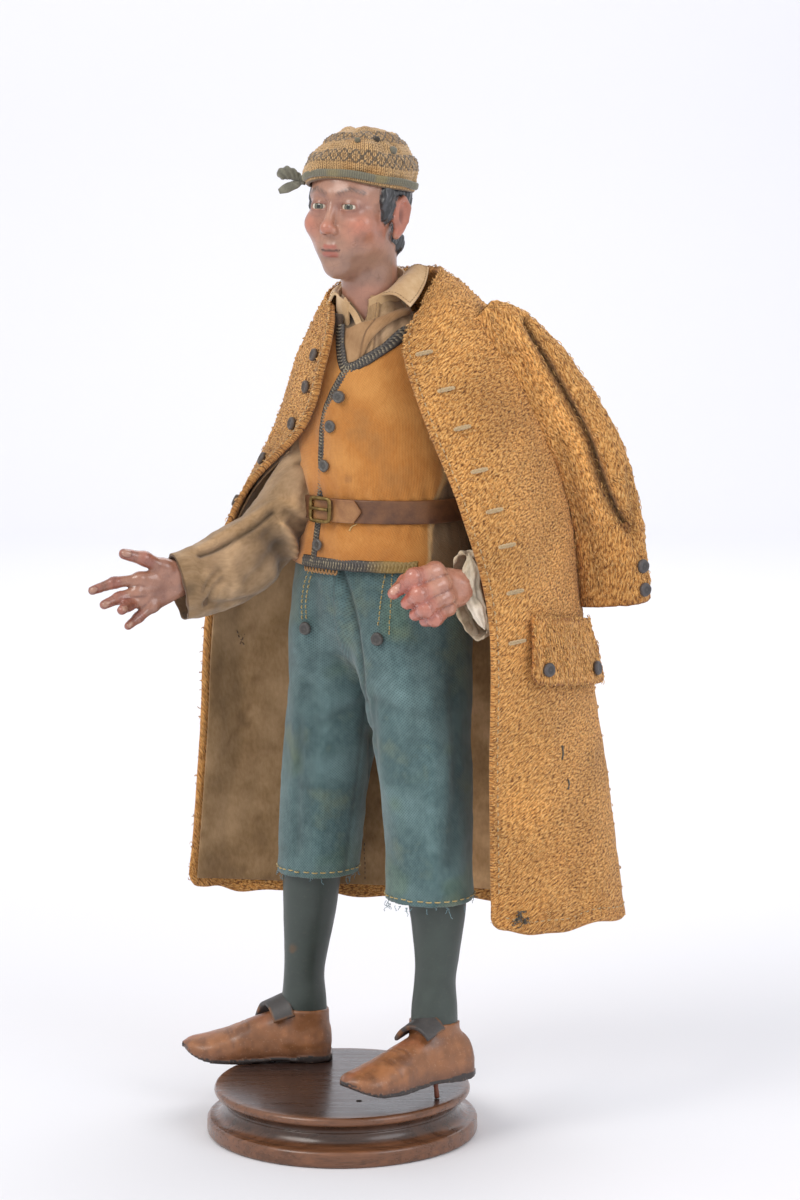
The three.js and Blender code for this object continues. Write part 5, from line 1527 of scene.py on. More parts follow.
# Sleeves are lofted from stations: middle, half width and half depth, from the shoulder to the cuff
shirtLook = {
    "light": "#c4a583", "dark": "#977a57", "stain": "#77603f", "weave": 0.5, "collar": "#dcbf98",
    "collarDark": "#c09c70", "wall": 1.2, "cuffDepth": 16, "rows": 112, "columns": 96,
    "sleeveTint": (0.86, 0.82, 0.75),
}
sleeves = {
    "right": [
        [2, 13, 304, 7, 7], [-3.6, 12.5, 288, 9, 9], [-10, 10, 266, 10.4, 10.4], [-18.5, 7, 244, 12.5, 12],
        [-31, 2.4, 226, 15.5, 11.5], [-45, -3, 216, 17, 11], [-57, -10.5, 211.6, 15.5, 10],
        [-65, -14, 209.6, 14.4, 9.4],
    ],
    "left": [
        [34, -6, 302, 7, 7], [45, -5, 286, 9.5, 9], [56, -1, 258, 10, 10], [65, -6, 234, 11.5, 11],
        [63, -20, 217.5, 13, 10.5], [57, -30, 210.5, 17, 8.6], [51.5, -37.5, 209, 18.5, 8.6],
    ],
}
sleeveSides = {"right": unit(np.array([0.35, 0, 1])), "left": unit(np.array([0.1, 0.3, 1]))}
# Creases as seen in the photograph: pixels, width and depth in millimetres (below 0 for a ridge)
shirtFolds = {
    "right": [
        ([(200, 555), (217, 549), (248, 531), (272, 512)], 0.8, 1.3),
        ([(200, 549), (240, 524), (270, 506)], 1.4, -0.6),
        ([(281, 523), (290, 534), (295, 548), (295, 560), (292, 568)], 0.9, -1.5),
        ([(270, 536), (284, 552), (286, 570), (276, 584)], 3.0, 2.2),
        ([(292, 524), (303, 540), (306, 560), (300, 584)], 1.6, 1.4),
        ([(311, 511), (322, 516), (334, 522)], 0.7, 1.0),
        ([(298, 463), (308, 467), (320, 472)], 0.7, 1.2),
        ([(281, 499), (292, 507), (300, 516)], 1.2, -0.9),
        ([(294, 500), (304, 511), (318, 518)], 1.4, -0.7),
        ([(286, 512), (296, 516), (305, 526)], 1.0, 1.0),
        ([(250, 580), (262, 566), (280, 548)], 2.0, 0.8),
        ([(206, 606), (214, 590), (222, 580)], 0.8, 0.9),
        ([(205, 592), (210, 580), (220, 570)], 0.8, 0.7),
        ([(208, 604), (232, 603), (262, 594)], 1.4, 0.7),
        ([(240, 540), (232, 560), (236, 584)], 2.4, -0.7),
        ([(322, 440), (314, 470), (304, 500)], 1.2, 0.7),
    ],
    "left": [
        ([(470, 548), (474, 580), (466, 612)], 1.4, 1.2),
        ([(478, 560), (482, 590), (478, 626)], 1.2, 1.1),
        ([(463, 600), (470, 622), (478, 638)], 1.1, 1.0),
        ([(464, 575), (476, 600), (484, 630)], 1.3, -0.8),
    ],
}
# Stains, and painted shade and highlight along the folds: pixels, width and share of the light that is left
shirtStainsAndShading = {
    "right": [
        ([(262, 556), (276, 552), (284, 566)], 4.5, 0.72), ([(244, 540), (252, 538)], 2.5, 0.8),
        ([(308, 530), (312, 560), (302, 580)], 4.0, 0.66), ([(190, 590), (178, 606)], 2.5, 0.6),
        ([(210, 570), (222, 592)], 3.0, 1.22), ([(296, 500), (312, 506)], 3.0, 1.25),
        ([(326, 440), (322, 470), (316, 500)], 4.0, 1.15), ([(205, 548), (260, 518)], 2.5, 1.12),
        ([(200, 555), (217, 549), (248, 531), (272, 512)], 0.7, 0.45),
        ([(270, 540), (282, 552), (284, 570)], 3.6, 0.78),
        ([(281, 523), (290, 534), (295, 548), (295, 560), (292, 568)], 0.8, 1.6),
        ([(311, 511), (322, 516), (334, 522)], 0.6, 0.5), ([(303, 530), (308, 550), (304, 575)], 4.0, 0.8),
    ],
    "left": [],
}


# A sleeve as one grid: down its outside, round the rim of its open end and up its inside
def openTube(stations, side, length, wall, depth, rows=150, count=120, shape=None):
    outer = np.linspace(0, 1, rows)
    turn = np.linspace(0, np.pi, 7)[1:-1]
    rim = np.full(5, 1.0)
    inner = 1 - depth / length * np.linspace(0, 1, 14)
    along = np.concatenate([outer, rim, inner])
    thin = np.concatenate([np.zeros(rows), -wall / 2 * (1 - np.cos(turn)), np.full(14, -wall)])
    points = loftPoints(stations, along, ringAngles(count), side, thin, shape)
    step = unit(points[rows - 1].mean(0) - points[rows - 3].mean(0))
    points[rows : rows + 5] += step * (wall / 2 * np.sin(turn))[:, None, None]
    return points, along


def gridPiece(name, points, material, closed=True, flip=False, tones=None):
    rows, columns = points.shape[:2]
    corners = mapCorners(gridMap(points, closed), rows, columns, closed, flip)
    return makePiece(name, points, gridFaces(rows, columns, closed, flip=flip), material, corners, tones)


def makeShirtSleeve(name, stations, linen):
    length = {"right": 128.0, "left": 135.0}[name]
    points, along = openTube(stations, sleeveSides[name], length, shirtLook["wall"], shirtLook["cuffDepth"],
                               shirtLook["rows"], shirtLook["columns"])
    normals = gridNormals(points, True)
    rows, columns = shirtLook["rows"], shirtLook["columns"]
    outside = np.arange(len(points)) < rows
    pull = fractal(points * [0.6, 1, 1], 13, 3, 15) * 0.7 + 0.4 * fractal(points, 5, 2, 16)
    angle = ringAngles(columns)
    # Gathers run in from the cuff and fade up the sleeve
    count, high = {"left": (13, 0.36), "right": (9, 0.18)}[name]
    gather = high * np.sin(angle * count + 2 * noise(points / 9, 4))
    fade = np.clip((along - 0.8) / 0.2, 0, 1)[:, None]
    points = points + normals * ((pull + gather * fade) * np.where(outside, 1, 0.9)[:, None])[..., None]
    plain = points[:rows]
    tree = gridTree(plain)
    folds = [(pixels, 1.4 * width, 1.7 * depth) for pixels, width, depth in shirtFolds[name]]
    front = creased(plain, normals[:rows], tree, folds)
    points = np.concatenate([front, points[rows:] + front[-1] - points[rows - 1]])
    tone = np.ones((*points.shape[:2], 3)) * shirtLook["sleeveTint"]
    grime = smooth(0.1, 0.8, fractal(points, 17, 3, 33))
    tone = mix(tone, [0.66, 0.6, 0.52], 0.6 * grime)
    tone = mix(tone, [1.2, 1.17, 1.1], 0.6 * smooth(0.3, 0.9, fractal(points, 9, 2, 41)))
    inside = np.where(outside, 0, 0.9)[:, None] * np.ones(columns)
    if name == "left":
        # The left sleeve ends in whiter cloth, painted brighter than the cloth is on both of its sides:
        # painted light where the cuff lies in shade
        pale = smooth(0.5, 0.75, along)[:, None] * np.ones(columns)
        tone = mix(tone, [1.72, 2.1, 2.55], 0.95 * pale)
    else:
        # The right sleeve's inside is painted dark: painted shade
        tone = mix(tone, [0.34, 0.28, 0.22], inside)
    marks = creaseMarks(folds, 0.2) + shirtStainsAndShading[name]
    tone = np.concatenate([shaded(plain, tree, tone[:rows], marks), tone[rows:]])
    piece = gridPiece(f"shirt_sleeve_{name}", points, linen, True, False, tone)
    finishPiece(piece, "raw_linen")


# White gathered cloth between the left wrist and the coat: seen middle pixels, depth and half widths
cuffGathers = {
    "middle": [(469, 553), (471, 572), (472, 590), (477, 608), (482, 621), (485, 630)],
    "depth": -42.6, "half": [0.05, 3.9, 4.3, 3.3, 2.1, 0.05], "flat": 0.6,
}


# The place at a depth (its y) that the camera sees at a pixel
def placeAt(pixel, depth):
    ray = cameraAhead + (pixel[0] - photoMiddle[0]) / photoFocal * cameraRight
    ray = ray - (pixel[1] - photoMiddle[1]) / photoFocal * cameraUp
    return cameraPlace + ray * (depth - cameraPlace[1]) / ray[1]


def makeCuffGathers(linen):
    t = np.linspace(0, 1, 90)
    path = curve(np.array([placeAt(pixel, cuffGathers["depth"]) for pixel in cuffGathers["middle"]]), t)
    half = np.interp(t, np.linspace(0, 1, 6), cuffGathers["half"])
    tube = tubeMesh(path, half, 72, squash=cuffGathers["flat"], up=np.array([0.0, 1.0, 0.0]))[0]
    grid = tube.reshape(90, 72, 3)
    centre = grid.mean(1, keepdims=True)
    # Lengthwise pleats that shift along the cloth, with soft puffs across them
    angle = ringAngles(72)
    pleat = 0.07 * np.sin(9 * angle + 3 * noise(grid / 5, 4)) + 0.24 * fractal(grid, 4.5, 3, 7)
    grid = centre + (grid - centre) * (1 + pleat[..., None])
    # Painted brighter than the white cloth is: painted light on gathers that lie in shade; darker in the
    # pleats' hollows: painted shade
    tone = np.array([1.72, 2.25, 3.1]) * (1 + 1.1 * np.clip(pleat, -0.3, 0.1))[..., None]
    flip = facesIn(grid, centre, True)
    finishPiece(gridPiece("cuff_gathers_left", grid, linen, True, flip, tone), "raw_linen")


# The shirt's front on the chest: across and height of the slit at the throat, and of the front band
slitLine = np.array([[-9, 326.5], [-2.2, 323.4], [5.2, 316.3], [6.0, 316.3], [6.2, 326.5]])
bandLine = np.array([[7.2, 325.6], [7.6, 321], [8.0, 314], [8.6, 306]])


def makeShirtBody(linen):
    count = 180
    angles = ringAngles(count)
    top = np.full(count, 326.0)
    front = np.sin(angles) > 0
    for _ in range(30):
        offset = (roundChest(angles, top, 0.0) - chestMiddle) @ leftOf(chestTurn)
        limit = np.interp(offset, slitLine[:, 0], slitLine[:, 1])
        top = np.where(front, 0.5 * top + 0.5 * np.minimum(326, limit), 326)
    heights = top + (222.8 - top) * np.linspace(0, 1, 72)[:, None]
    grid = np.broadcast_to(angles, heights.shape)
    body = roundChest(grid, heights, 0.0)
    offset = (body - chestMiddle) @ leftOf(chestTurn)
    faces = np.sin(grid) > 0
    band = np.interp(heights, bandLine[::-1, 1], bandLine[::-1, 0])
    raised = smooth(2.5, 2.1, np.abs(offset - band)) * faces * smooth(300, 304, heights)
    # Folds fan out over the breast from the collar
    fan = np.sin((offset - 8) * 1.1 + (heights - 310) * 0.35) * smooth(9, 13, offset) * faces
    hollow = bell(np.hypot((offset + 2.6) / 1.3, heights - 317), 0, 3.2) * faces
    lift = 0.5 * raised + 0.35 * fan - 1.2 * hollow + 0.25 * fractal(body, 10, 3, 3) - 0.1
    body = body + gridNormals(body, True) * lift[..., None]
    tone = np.ones((*heights.shape, 3))
    breast = smooth(4, 8, offset) * faces * smooth(296, 302, heights)
    tone = mix(tone, [1.22, 1.2, 1.2], breast)
    tone = mix(tone, [1.3, 1.22, 1.1], raised)
    # Darker in the hollows of the fanned folds: painted shade
    tone = mix(tone, [0.55, 0.48, 0.42], 0.7 * smooth(0.2, 1.0, -fan))
    tone = mix(tone, [0.45, 0.36, 0.3], 0.7 * bell(np.abs(offset - band), 2.5, 0.3) * faces)
    # Nearly black in the hollow at the throat: painted shade
    tone = mix(tone, [0.1, 0.08, 0.07], np.clip(1.4 * hollow, 0, 1))
    finishPiece(gridPiece("shirt_body", body, linen, True, False, tone), "raw_linen", "shirt")


def makeCollar(collarLinen):
    neckBase = np.array([12.3, 3.4])
    around = [26, 60, 90, 180, 250, 285, 320, 350]
    rises = [324.8, 328.5, 333, 338, 331, 327.5, 325.5, 323.4]

    def roundNeck(degrees, reach, height):
        angle = np.radians(degrees)
        flat = np.cos(angle)[..., None] * frontOf(30) + np.sin(angle)[..., None] * leftOf(30)
        place = flat * np.asarray(reach)[..., None] if np.ndim(reach) else flat * reach
        place = place + np.array([neckBase[0], neckBase[1], plinthHeight])
        return place + np.asarray(height)[..., None] * upward

    def collarHeight(degrees):
        return np.interp(np.asarray(degrees) % 360, around, rises)

    # The stand leaves the throat open between its two ends
    u, v = np.meshgrid(crowded(84, 84, 0.5), crowded(15, 17, 0.5))
    turn = 26 + 324 * u
    stand = roundNeck(turn, 13.4 - 0.4 * v, collarHeight(turn) * (1 - v) + 309 * v)
    stand = stand + gridNormals(stand) * (0.25 * fractal(stand, 6, 2, 2))[..., None]
    flip = facesIn(stand, np.array([*neckBase, 318 + plinthHeight]))
    full = edgeFullness(stand, 0.5)
    piece = clothPiece("collar_stand", stand, collarLinen, 0.55 * full, 0.55 * full, flip=flip)
    finishPiece(piece, "raw_linen")
    # The right front edge is turned over into a narrow band that runs down to the throat
    line = curve(np.array([[-4.6, 325.4], [-2.2, 323.0], [1.8, 319.6], [5.2, 315.4]]), np.linspace(0, 1, 60))
    across = unit(np.gradient(line, axis=0))[:, ::-1] * [-1, 1]
    width = crowded(10, 2.6, 0.45)
    flat = line[None] - across[None] * (2.6 * width)[:, None, None]
    edge = chestPoint(flat[..., 0], flat[..., 1], 1.1)
    flip = facesIn(edge, chestMiddle + upward * (320 + plinthHeight))
    full = edgeFullness(edge, 0.45)
    piece = clothPiece("collar_edge_right", edge, collarLinen, 0.45 * full, 0.45 * full, flip=flip)
    finishPiece(piece, "raw_linen")
    leaves = [
        {"name": "left", "fold": (46, 122), "outer": (66, 106), "reach": (26.4, 24), "rise": (321.5, 336.5)},
        {"name": "right", "fold": (320, 242), "outer": (310, 248), "reach": (16.8, 15), "rise": (321.5, 326)},
    ]
    parts = []
    for leaf in leaves:
        u, v = np.meshgrid(crowded(50, 24, 0.5), crowded(34, 13, 0.5))
        turn = leaf["fold"][0] + (leaf["fold"][1] - leaf["fold"][0]) * u
        top = roundNeck(turn, 13.9, collarHeight(turn) - 0.6)
        sides = [leaf[key][0] + (leaf[key][1] - leaf[key][0]) * u for key in ("outer", "reach", "rise")]
        tip = roundNeck(*sides)
        middle = top + (tip - top) * v[..., None] + (2.4 * np.sin(np.pi * v))[..., None] * upward
        normals = gridNormals(middle)
        curl = 0.5 * fractal(middle, 9, 2, 8) + 0.5 * bell(v, 1, 0.12)
        flip = float((normals[..., 2]).mean()) < 0
        middle = middle + normals * (-1 if flip else 1) * curl[..., None]
        full = edgeFullness(middle, 0.5)
        piece = clothPiece(
            f"collar_leaf_{leaf['name']}", middle, collarLinen, 0.6 * full, 0.55 * full, flip=flip
        )
        finishPiece(piece, "raw_linen")
        normals = gridNormals(middle) * (-1 if flip else 1)
        rows, columns = middle.shape[:2]
        inset = 5
        border = [(r, inset) for r in range(3, rows - inset)]
        border += [(rows - inset - 1, c) for c in range(inset, columns - inset)]
        border += [(r, columns - inset - 1) for r in range(rows - inset - 1, 3, -1)]
        line = np.array([middle[r, c] + normals[r, c] * 0.62 for r, c in border])
        outs = np.array([normals[r, c] for r, c in border])
        parts += stitchParts(line, 0.9, 0.5, 0.14, 0.15, outs, 5, 0.02)
    # The front band below the throat has two stitched edges
    for side in (-1, 1):
        heights = np.linspace(325, 312, 14)
        middle = np.interp(heights, bandLine[::-1, 1], bandLine[::-1, 0])
        line = chestPoint(middle + side * 1.6, heights, 0.62)
        parts += stitchParts(line, 0.8, 0.5, 0.13, 0.15, np.repeat(frontOf(chestTurn)[None], 14, 0), 5, 0.02)
    points, faces, _ = merged(parts)
    brown = threadMaterial("CollarStitchesBrownThread", "#a07c50", "#6d4f30")
    finishPiece(makePiece("collar_stitches", points, faces, brown), "raw_linen")


def makeShirt():
    linen = woven(
        "CoarseLinenUnbleachedStained", shirtLook["light"], shirtLook["dark"], shirtLook["stain"],
        shirtLook["weave"], 0.12, 0.3, tones=True,
    )
    collarLinen = woven(
        "CollarLinenStarchedIvory", shirtLook["collar"], shirtLook["collarDark"], "#b08d62", 0.42, 0.08, 0.2
    )
    makeShirtBody(linen)
    for name, stations in sleeves.items():
        makeShirtSleeve(name, stations, linen)
    makeCuffGathers(linen)
    makeCollar(collarLinen)


makeShirt()
print("shirt made")


# The area of a sheet's smooth middle, in square metres
def sheetArea(middle):
    a, b, c, d = middle[:-1, :-1], middle[:-1, 1:], middle[1:, 1:], middle[1:, :-1]
    return float(np.linalg.norm(np.cross(c - a, d - b), axis=-1).sum() / 2 * metre**2)


# The kerchief's two long edges on the chest, from the throat's right to its left: across and height
kerchiefTop = [[-7, 317], [-1.5, 313.2], [4.8, 315.6], [8.5, 316.6], [12.2, 318.3], [20, 323.2]]
kerchiefLow = [
    [-6.4, 309], [-2, 300.4], [3.2, 297.0], [7.4, 301.0], [9.6, 307.6], [14.2, 314.6], [20.5, 320.6]
]


def makeKerchief():
    across, down = crowded(80, 27, 0.45), crowded(36, 12, 0.45)
    top = curve(kerchiefTop, across)
    low = curve(kerchiefLow, across)
    flat = top + (low - top) * down[:, None, None]
    # The right half lies flat and laps over the rolled end that runs up to the left shoulder
    fold = np.interp(flat[..., 1], [302, 307, 312.4, 316.3], [6.6, 7.0, 7.8, 9.6])
    over = smooth(0.3, -0.3, flat[..., 0] - fold)
    roll = 0.8 * np.sin(np.pi * down)[:, None] * (1 - over)
    uneven = 0.2 * noise(np.concatenate([flat / 5, flat[..., :1] * 0], -1), 4)
    middle = chestPoint(flat[..., 0], flat[..., 1], 1.0 + 0.55 * over + roll + uneven)
    flip = facesIn(middle, chestMiddle + upward * (310 + plinthHeight))
    # Paler along the roll's crest: painted highlight; dark where the right half laps over the roll: painted
    # shade
    tone = mix(np.ones((*flat.shape[:2], 3)), np.array([1.12, 1.08, 1.0]), 0.5 * roll)
    tone = mix(tone, [0.35, 0.3, 0.26], 0.85 * bell(flat[..., 0] - fold, 0.35, 0.4))
    tone = mix(tone, [0.7, 0.66, 0.6], 0.5 * smooth(0, 0.8, fractal(middle, 7, 2, 5)))
    full = edgeFullness(middle, 0.45)
    material = woven(
        "TanCottonKerchiefSoftWorn", "#bb946a", "#97714a", "#7f5c3b", 0.4, 0.06, 0.25, tones=True
    )
    piece = clothPiece(
        "folded_neckerchief", middle, material, 0.45 * full, 0.42 * full, flip=flip, tones=tone
    )
    finishPiece(piece, "kerchief_cloth", "neckerchief")


makeKerchief()

coatRows = np.array([
    [[30.5, -20, 319.5], [38.5, -5, 333.5], [38, 8, 335.5], [28, 19, 335.5],
     [14, 22.5, 333.5], [2, 18.8, 329], [-4.4, 9, 325], [-3.2, 0, 322]],
    [[26, -26, 311.5], [45, -20, 320], [54, 0, 325], [42, 23, 324],
     [16, 31, 320], [-2, 28, 317], [-9, 14, 315.5], [-3.4, -13, 314]],
    [[25.4, -32, 301], [52, -28, 303], [73, -4, 305], [61, 26, 303],
     [24, 39, 302], [-6, 36, 300], [-16.6, 15, 300], [-6.4, -19, 300]],
    [[34, -39, 276], [61, -34, 276], [83, -2, 276], [72, 30, 276],
     [28, 46, 276], [-10, 44, 276], [-24, 20, 275], [-14.6, -10, 274]],
    [[47.2, -46.5, 243], [70.5, -36, 243], [92, 1, 243], [79, 33, 243],
     [34, 50, 243], [-10, 50, 243], [-35, 40, 243], [-40, 19, 243]],
    [[58.3, -49.5, 200], [79, -34, 200], [97, 3, 200], [84, 37, 200],
     [38, 54, 200], [-6, 56, 200], [-39, 54, 200], [-55, 40, 200]],
    [[59, -43, 134], [86, -28, 134], [108, 5, 134], [90, 41, 134],
     [40, 58, 134], [-4, 61, 134], [-40, 61, 134], [-60, 51, 134]],
    [[60, -38, 72], [90, -25, 70], [116, 5, 69], [94, 43, 65],
     [42, 60, 64], [-3, 64, 65], [-43, 65, 67], [-65, 56, 70]],
], float) + upward * plinthHeight
coatLook = {
    "light": "#dfa055", "bright": "#f5c47c", "dark": "#9a6028", "gap": "#4a2b10",
    "loop": (1.7, 0.8), "stitch": "#d6c095", "bar": "#dfcaa2", "loops": 3300,
    "sleeveRows": 112, "sleeveColumns": 80, "sleeveLoops": 1050,
}


def coatAt(u, v):
    u, v = np.broadcast_arrays(np.asarray(u, float), np.asarray(v, float))
    down, across = weights(v.ravel(), 8), weights(u.ravel(), 8)
    return np.einsum("ni,ijk,nj->nk", down, coatRows, across).reshape(*u.shape, 3)


# The coat's outward directions: its normal, across (towards larger u) and down
def coatFrame(u, v):
    step = 1e-3
    across = coatAt(np.minimum(u + step, 1), v) - coatAt(np.maximum(u - step, 0), v)
    down = coatAt(u, np.minimum(v + step, 1)) - coatAt(u, np.maximum(v - step, 0))
    normal = unit(np.cross(down, across))
    return normal, unit(across), unit(down)


def boucle(name, loopAcross, loopDown, wander):
    # Looped wool: crinkled cells longer than they are high, with painted shade between them, fuzzy in raking
    # light
    material, tree, shader, where = startMaterial(name, 0.95, Sheen_Weight=0.1, Sheen_Roughness=0.5)
    uv = where.outputs["UV"]
    shake = addNode(tree, "ShaderNodeTexNoise", {"Vector": uv, "Scale": 620.0, "Detail": 2.0}, out=1)
    spread = addNode(tree, "ShaderNodeVectorMath", {0: shake, 1: wander}, operation="MULTIPLY")
    moved = addNode(tree, "ShaderNodeVectorMath", {0: uv, 1: spread.outputs[0]}, out=0)
    loops = (1000 / loopAcross, 1000 / loopDown, 1.0)
    sized = addNode(tree, "ShaderNodeMapping", {0: moved, 3: loops}, out=0)
    links = {"Vector": sized, "Scale": 1.0, "Randomness": 0.9}
    cells = addNode(tree, "ShaderNodeTexVoronoi", links, voronoi_dimensions="2D")
    height = addNode(
        tree, "ShaderNodeValToRGB", {0: cells.outputs[0]}, [(0.0, 1.0), (0.36, 0.8), (0.62, 0.0)], out=0
    )
    crinkle = addNode(
        tree, "ShaderNodeTexNoise",
        {
            "Vector": addNode(
                tree, "ShaderNodeMapping", {0: uv, 3: (1 / loopAcross, 1 / loopDown, 1.0)}, out=0
            ),
            "Scale": 1000 / 1.0, "Detail": 3.0, "Roughness": 0.78
        },
        out=0
    )
    big = addNode(
        tree, "ShaderNodeTexNoise",
        {"Vector": where.outputs["Object"], "Scale": 1000 / 34, "Detail": 4.0, "Roughness": 0.6}, out=0
    )
    # Dark at the cells' borders: painted shade in the gaps between the loops
    gaps = addNode(
        tree, "ShaderNodeValToRGB", {0: cells.outputs[0]},
        [(0.4, coatLook["light"]), (0.58, coatLook["dark"]), (0.74, coatLook["gap"])], out=0
    )
    fibres = addNode(
        tree, "ShaderNodeValToRGB", {0: crinkle},
        [
            (0.37, coatLook["gap"]), (0.45, coatLook["dark"]), (0.52, coatLook["light"]),
            (0.58, coatLook["bright"])
        ],
        out=0
    )
    base = addNode(tree, "ShaderNodeMix", {0: 0.66, 6: gaps, 7: fibres}, out=2, data_type="RGBA")
    tint = addNode(tree, "ShaderNodeValToRGB", {0: big}, [(0.3, 0.8), (0.7, 1.18)], out=0)
    base = addNode(
        tree, "ShaderNodeMix", {0: 1.0, 6: base, 7: tint}, out=2, data_type="RGBA", blend_type="MULTIPLY"
    )
    tone = addNode(tree, "ShaderNodeAttribute", out=0, attribute_name="tone")
    base = addNode(
        tree, "ShaderNodeMix", {0: 1.0, 6: base, 7: tone}, out=2, data_type="RGBA", blend_type="MULTIPLY"
    )
    tree.links.new(base, shader.inputs["Base Color"])
    bumped(tree, shader, height, 0.7, 0.4)
    bumped(tree, shader, crinkle, 0.9, 0.7)
    return material


bodyWool = boucle("BoucleWoolLoopedAcross", *coatLook["loop"], (0.0009, 0.0004, 0.0))
sleeveWool = boucle(
    "BoucleWoolLoopedAlong", coatLook["loop"][1], coatLook["loop"][0] * 1.3, (0.0004, 0.0009, 0.0)
)


# Crinkled yarn loops standing off a surface, as many thin arched tubes in one mesh
def yarnLoops(places, normals, along, seed, length=(1.2, 3.0), rise=(0.3, 0.9), thick=0.2):
    rng = np.random.default_rng(seed)
    count, rings, sides = len(places), 5, 3
    size = rng.uniform(*length, count)
    high = rng.uniform(*rise, count)
    swing = rng.normal(0, 0.35, count)
    other = np.cross(normals, along)
    heading = unit(along + other * swing[:, None])
    beside = np.cross(normals, heading)
    t = np.linspace(0, 1, rings)
    arch = np.sin(np.pi * t) ** 0.7
    bend = (
        rng.normal(0, 0.4, (count, 1)) * np.sin(np.pi * t)
        + rng.normal(0, 0.22, (count, 1)) * np.sin(2 * np.pi * t)
    )
    path = (
        places[:, None]
        + heading[:, None] * ((t - 0.5) * size[:, None])[..., None]
        + normals[:, None] * (high[:, None] * arch - 0.25)[..., None]
        + beside[:, None] * bend[..., None]
    )
    angle = ringAngles(sides)
    radius = thick * (0.75 + 0.35 * np.sin(np.pi * t))[:, None, None]
    ring = np.cos(angle)[:, None] * normals[:, None, None] + np.sin(angle)[:, None] * beside[:, None, None]
    points = path[:, :, None] + ring * radius
    faces = gridFaces(rings, sides, True)
    faces = (np.arange(count)[:, None, None] * rings * sides + faces).reshape(-1, 4)
    shade = rng.uniform(0.7, 1.15, (count, 1, 1, 1)) * np.ones((count, rings, sides, 1))
    # Each loop is painted darker where it meets the cloth and paler over its arch: painted shade and painted
    # highlight; the tone also differs at random from loop to loop
    tones = shade * (0.72 + 0.4 * arch)[None, :, None, None] * np.ones(3)
    flat = points.reshape(-1, 3)
    normalsOut = np.cross(flat[faces[:, 2]] - flat[faces[:, 0]], flat[faces[:, 3]] - flat[faces[:, 1]])
    middle = np.repeat(path.mean(1), len(faces) // count, 0)
    if ((flat[faces].mean(1) - middle) * normalsOut).sum() < 0:
        faces = faces[:, ::-1]
    return flat, faces, tones.reshape(-1, 3)


def woolYarn():
    # Loose wool yarn: soft matt strands, coloured by the mesh's tones, which hold a painted highlight on
    # their raised parts and painted shade at their feet
    material, tree, shader, where = startMaterial("BoucleYarnLooseLoops", 0.95, Sheen_Weight=0.1)
    tone = addNode(tree, "ShaderNodeAttribute", out=0, attribute_name="tone")
    fibre = addNode(
        tree, "ShaderNodeTexNoise",
        {"Vector": where.outputs["Object"], "Scale": 1000 / 0.6, "Detail": 2.0, "Roughness": 0.6}, out=0
    )
    base = addNode(
        tree, "ShaderNodeValToRGB", {0: fibre}, [(0.35, coatLook["dark"]), (0.6, coatLook["bright"])], out=0
    )
    tree.links.new(
        addNode(
            tree, "ShaderNodeMix", {0: 1.0, 6: base, 7: tone}, out=2, data_type="RGBA", blend_type="MULTIPLY"
        ),
        shader.inputs["Base Color"]
    )
    bumped(tree, shader, fibre, 0.5, 0.1)
    return material


yarn = woolYarn()


def coatShade(middle):
    tone = np.ones((*middle.shape[:2], 3))
    tone = mix(tone, [0.8, 0.76, 0.7], 0.7 * smooth(0.1, 0.9, fractal(middle, 30, 3, 6)))
    return mix(tone, [1.12, 1.08, 1.0], 0.6 * smooth(0.2, 0.8, fractal(middle, 20, 2, 16)))


# The left armhole, as seen, where the sleeve shades the body
armholeLine = [(478, 308), (500, 340), (522, 376), (546, 424), (562, 470), (570, 520)]


# The coat body's width round the back and its length, in millimetres, at the middle of its cloth
coatWidth, coatLength = 258, 256


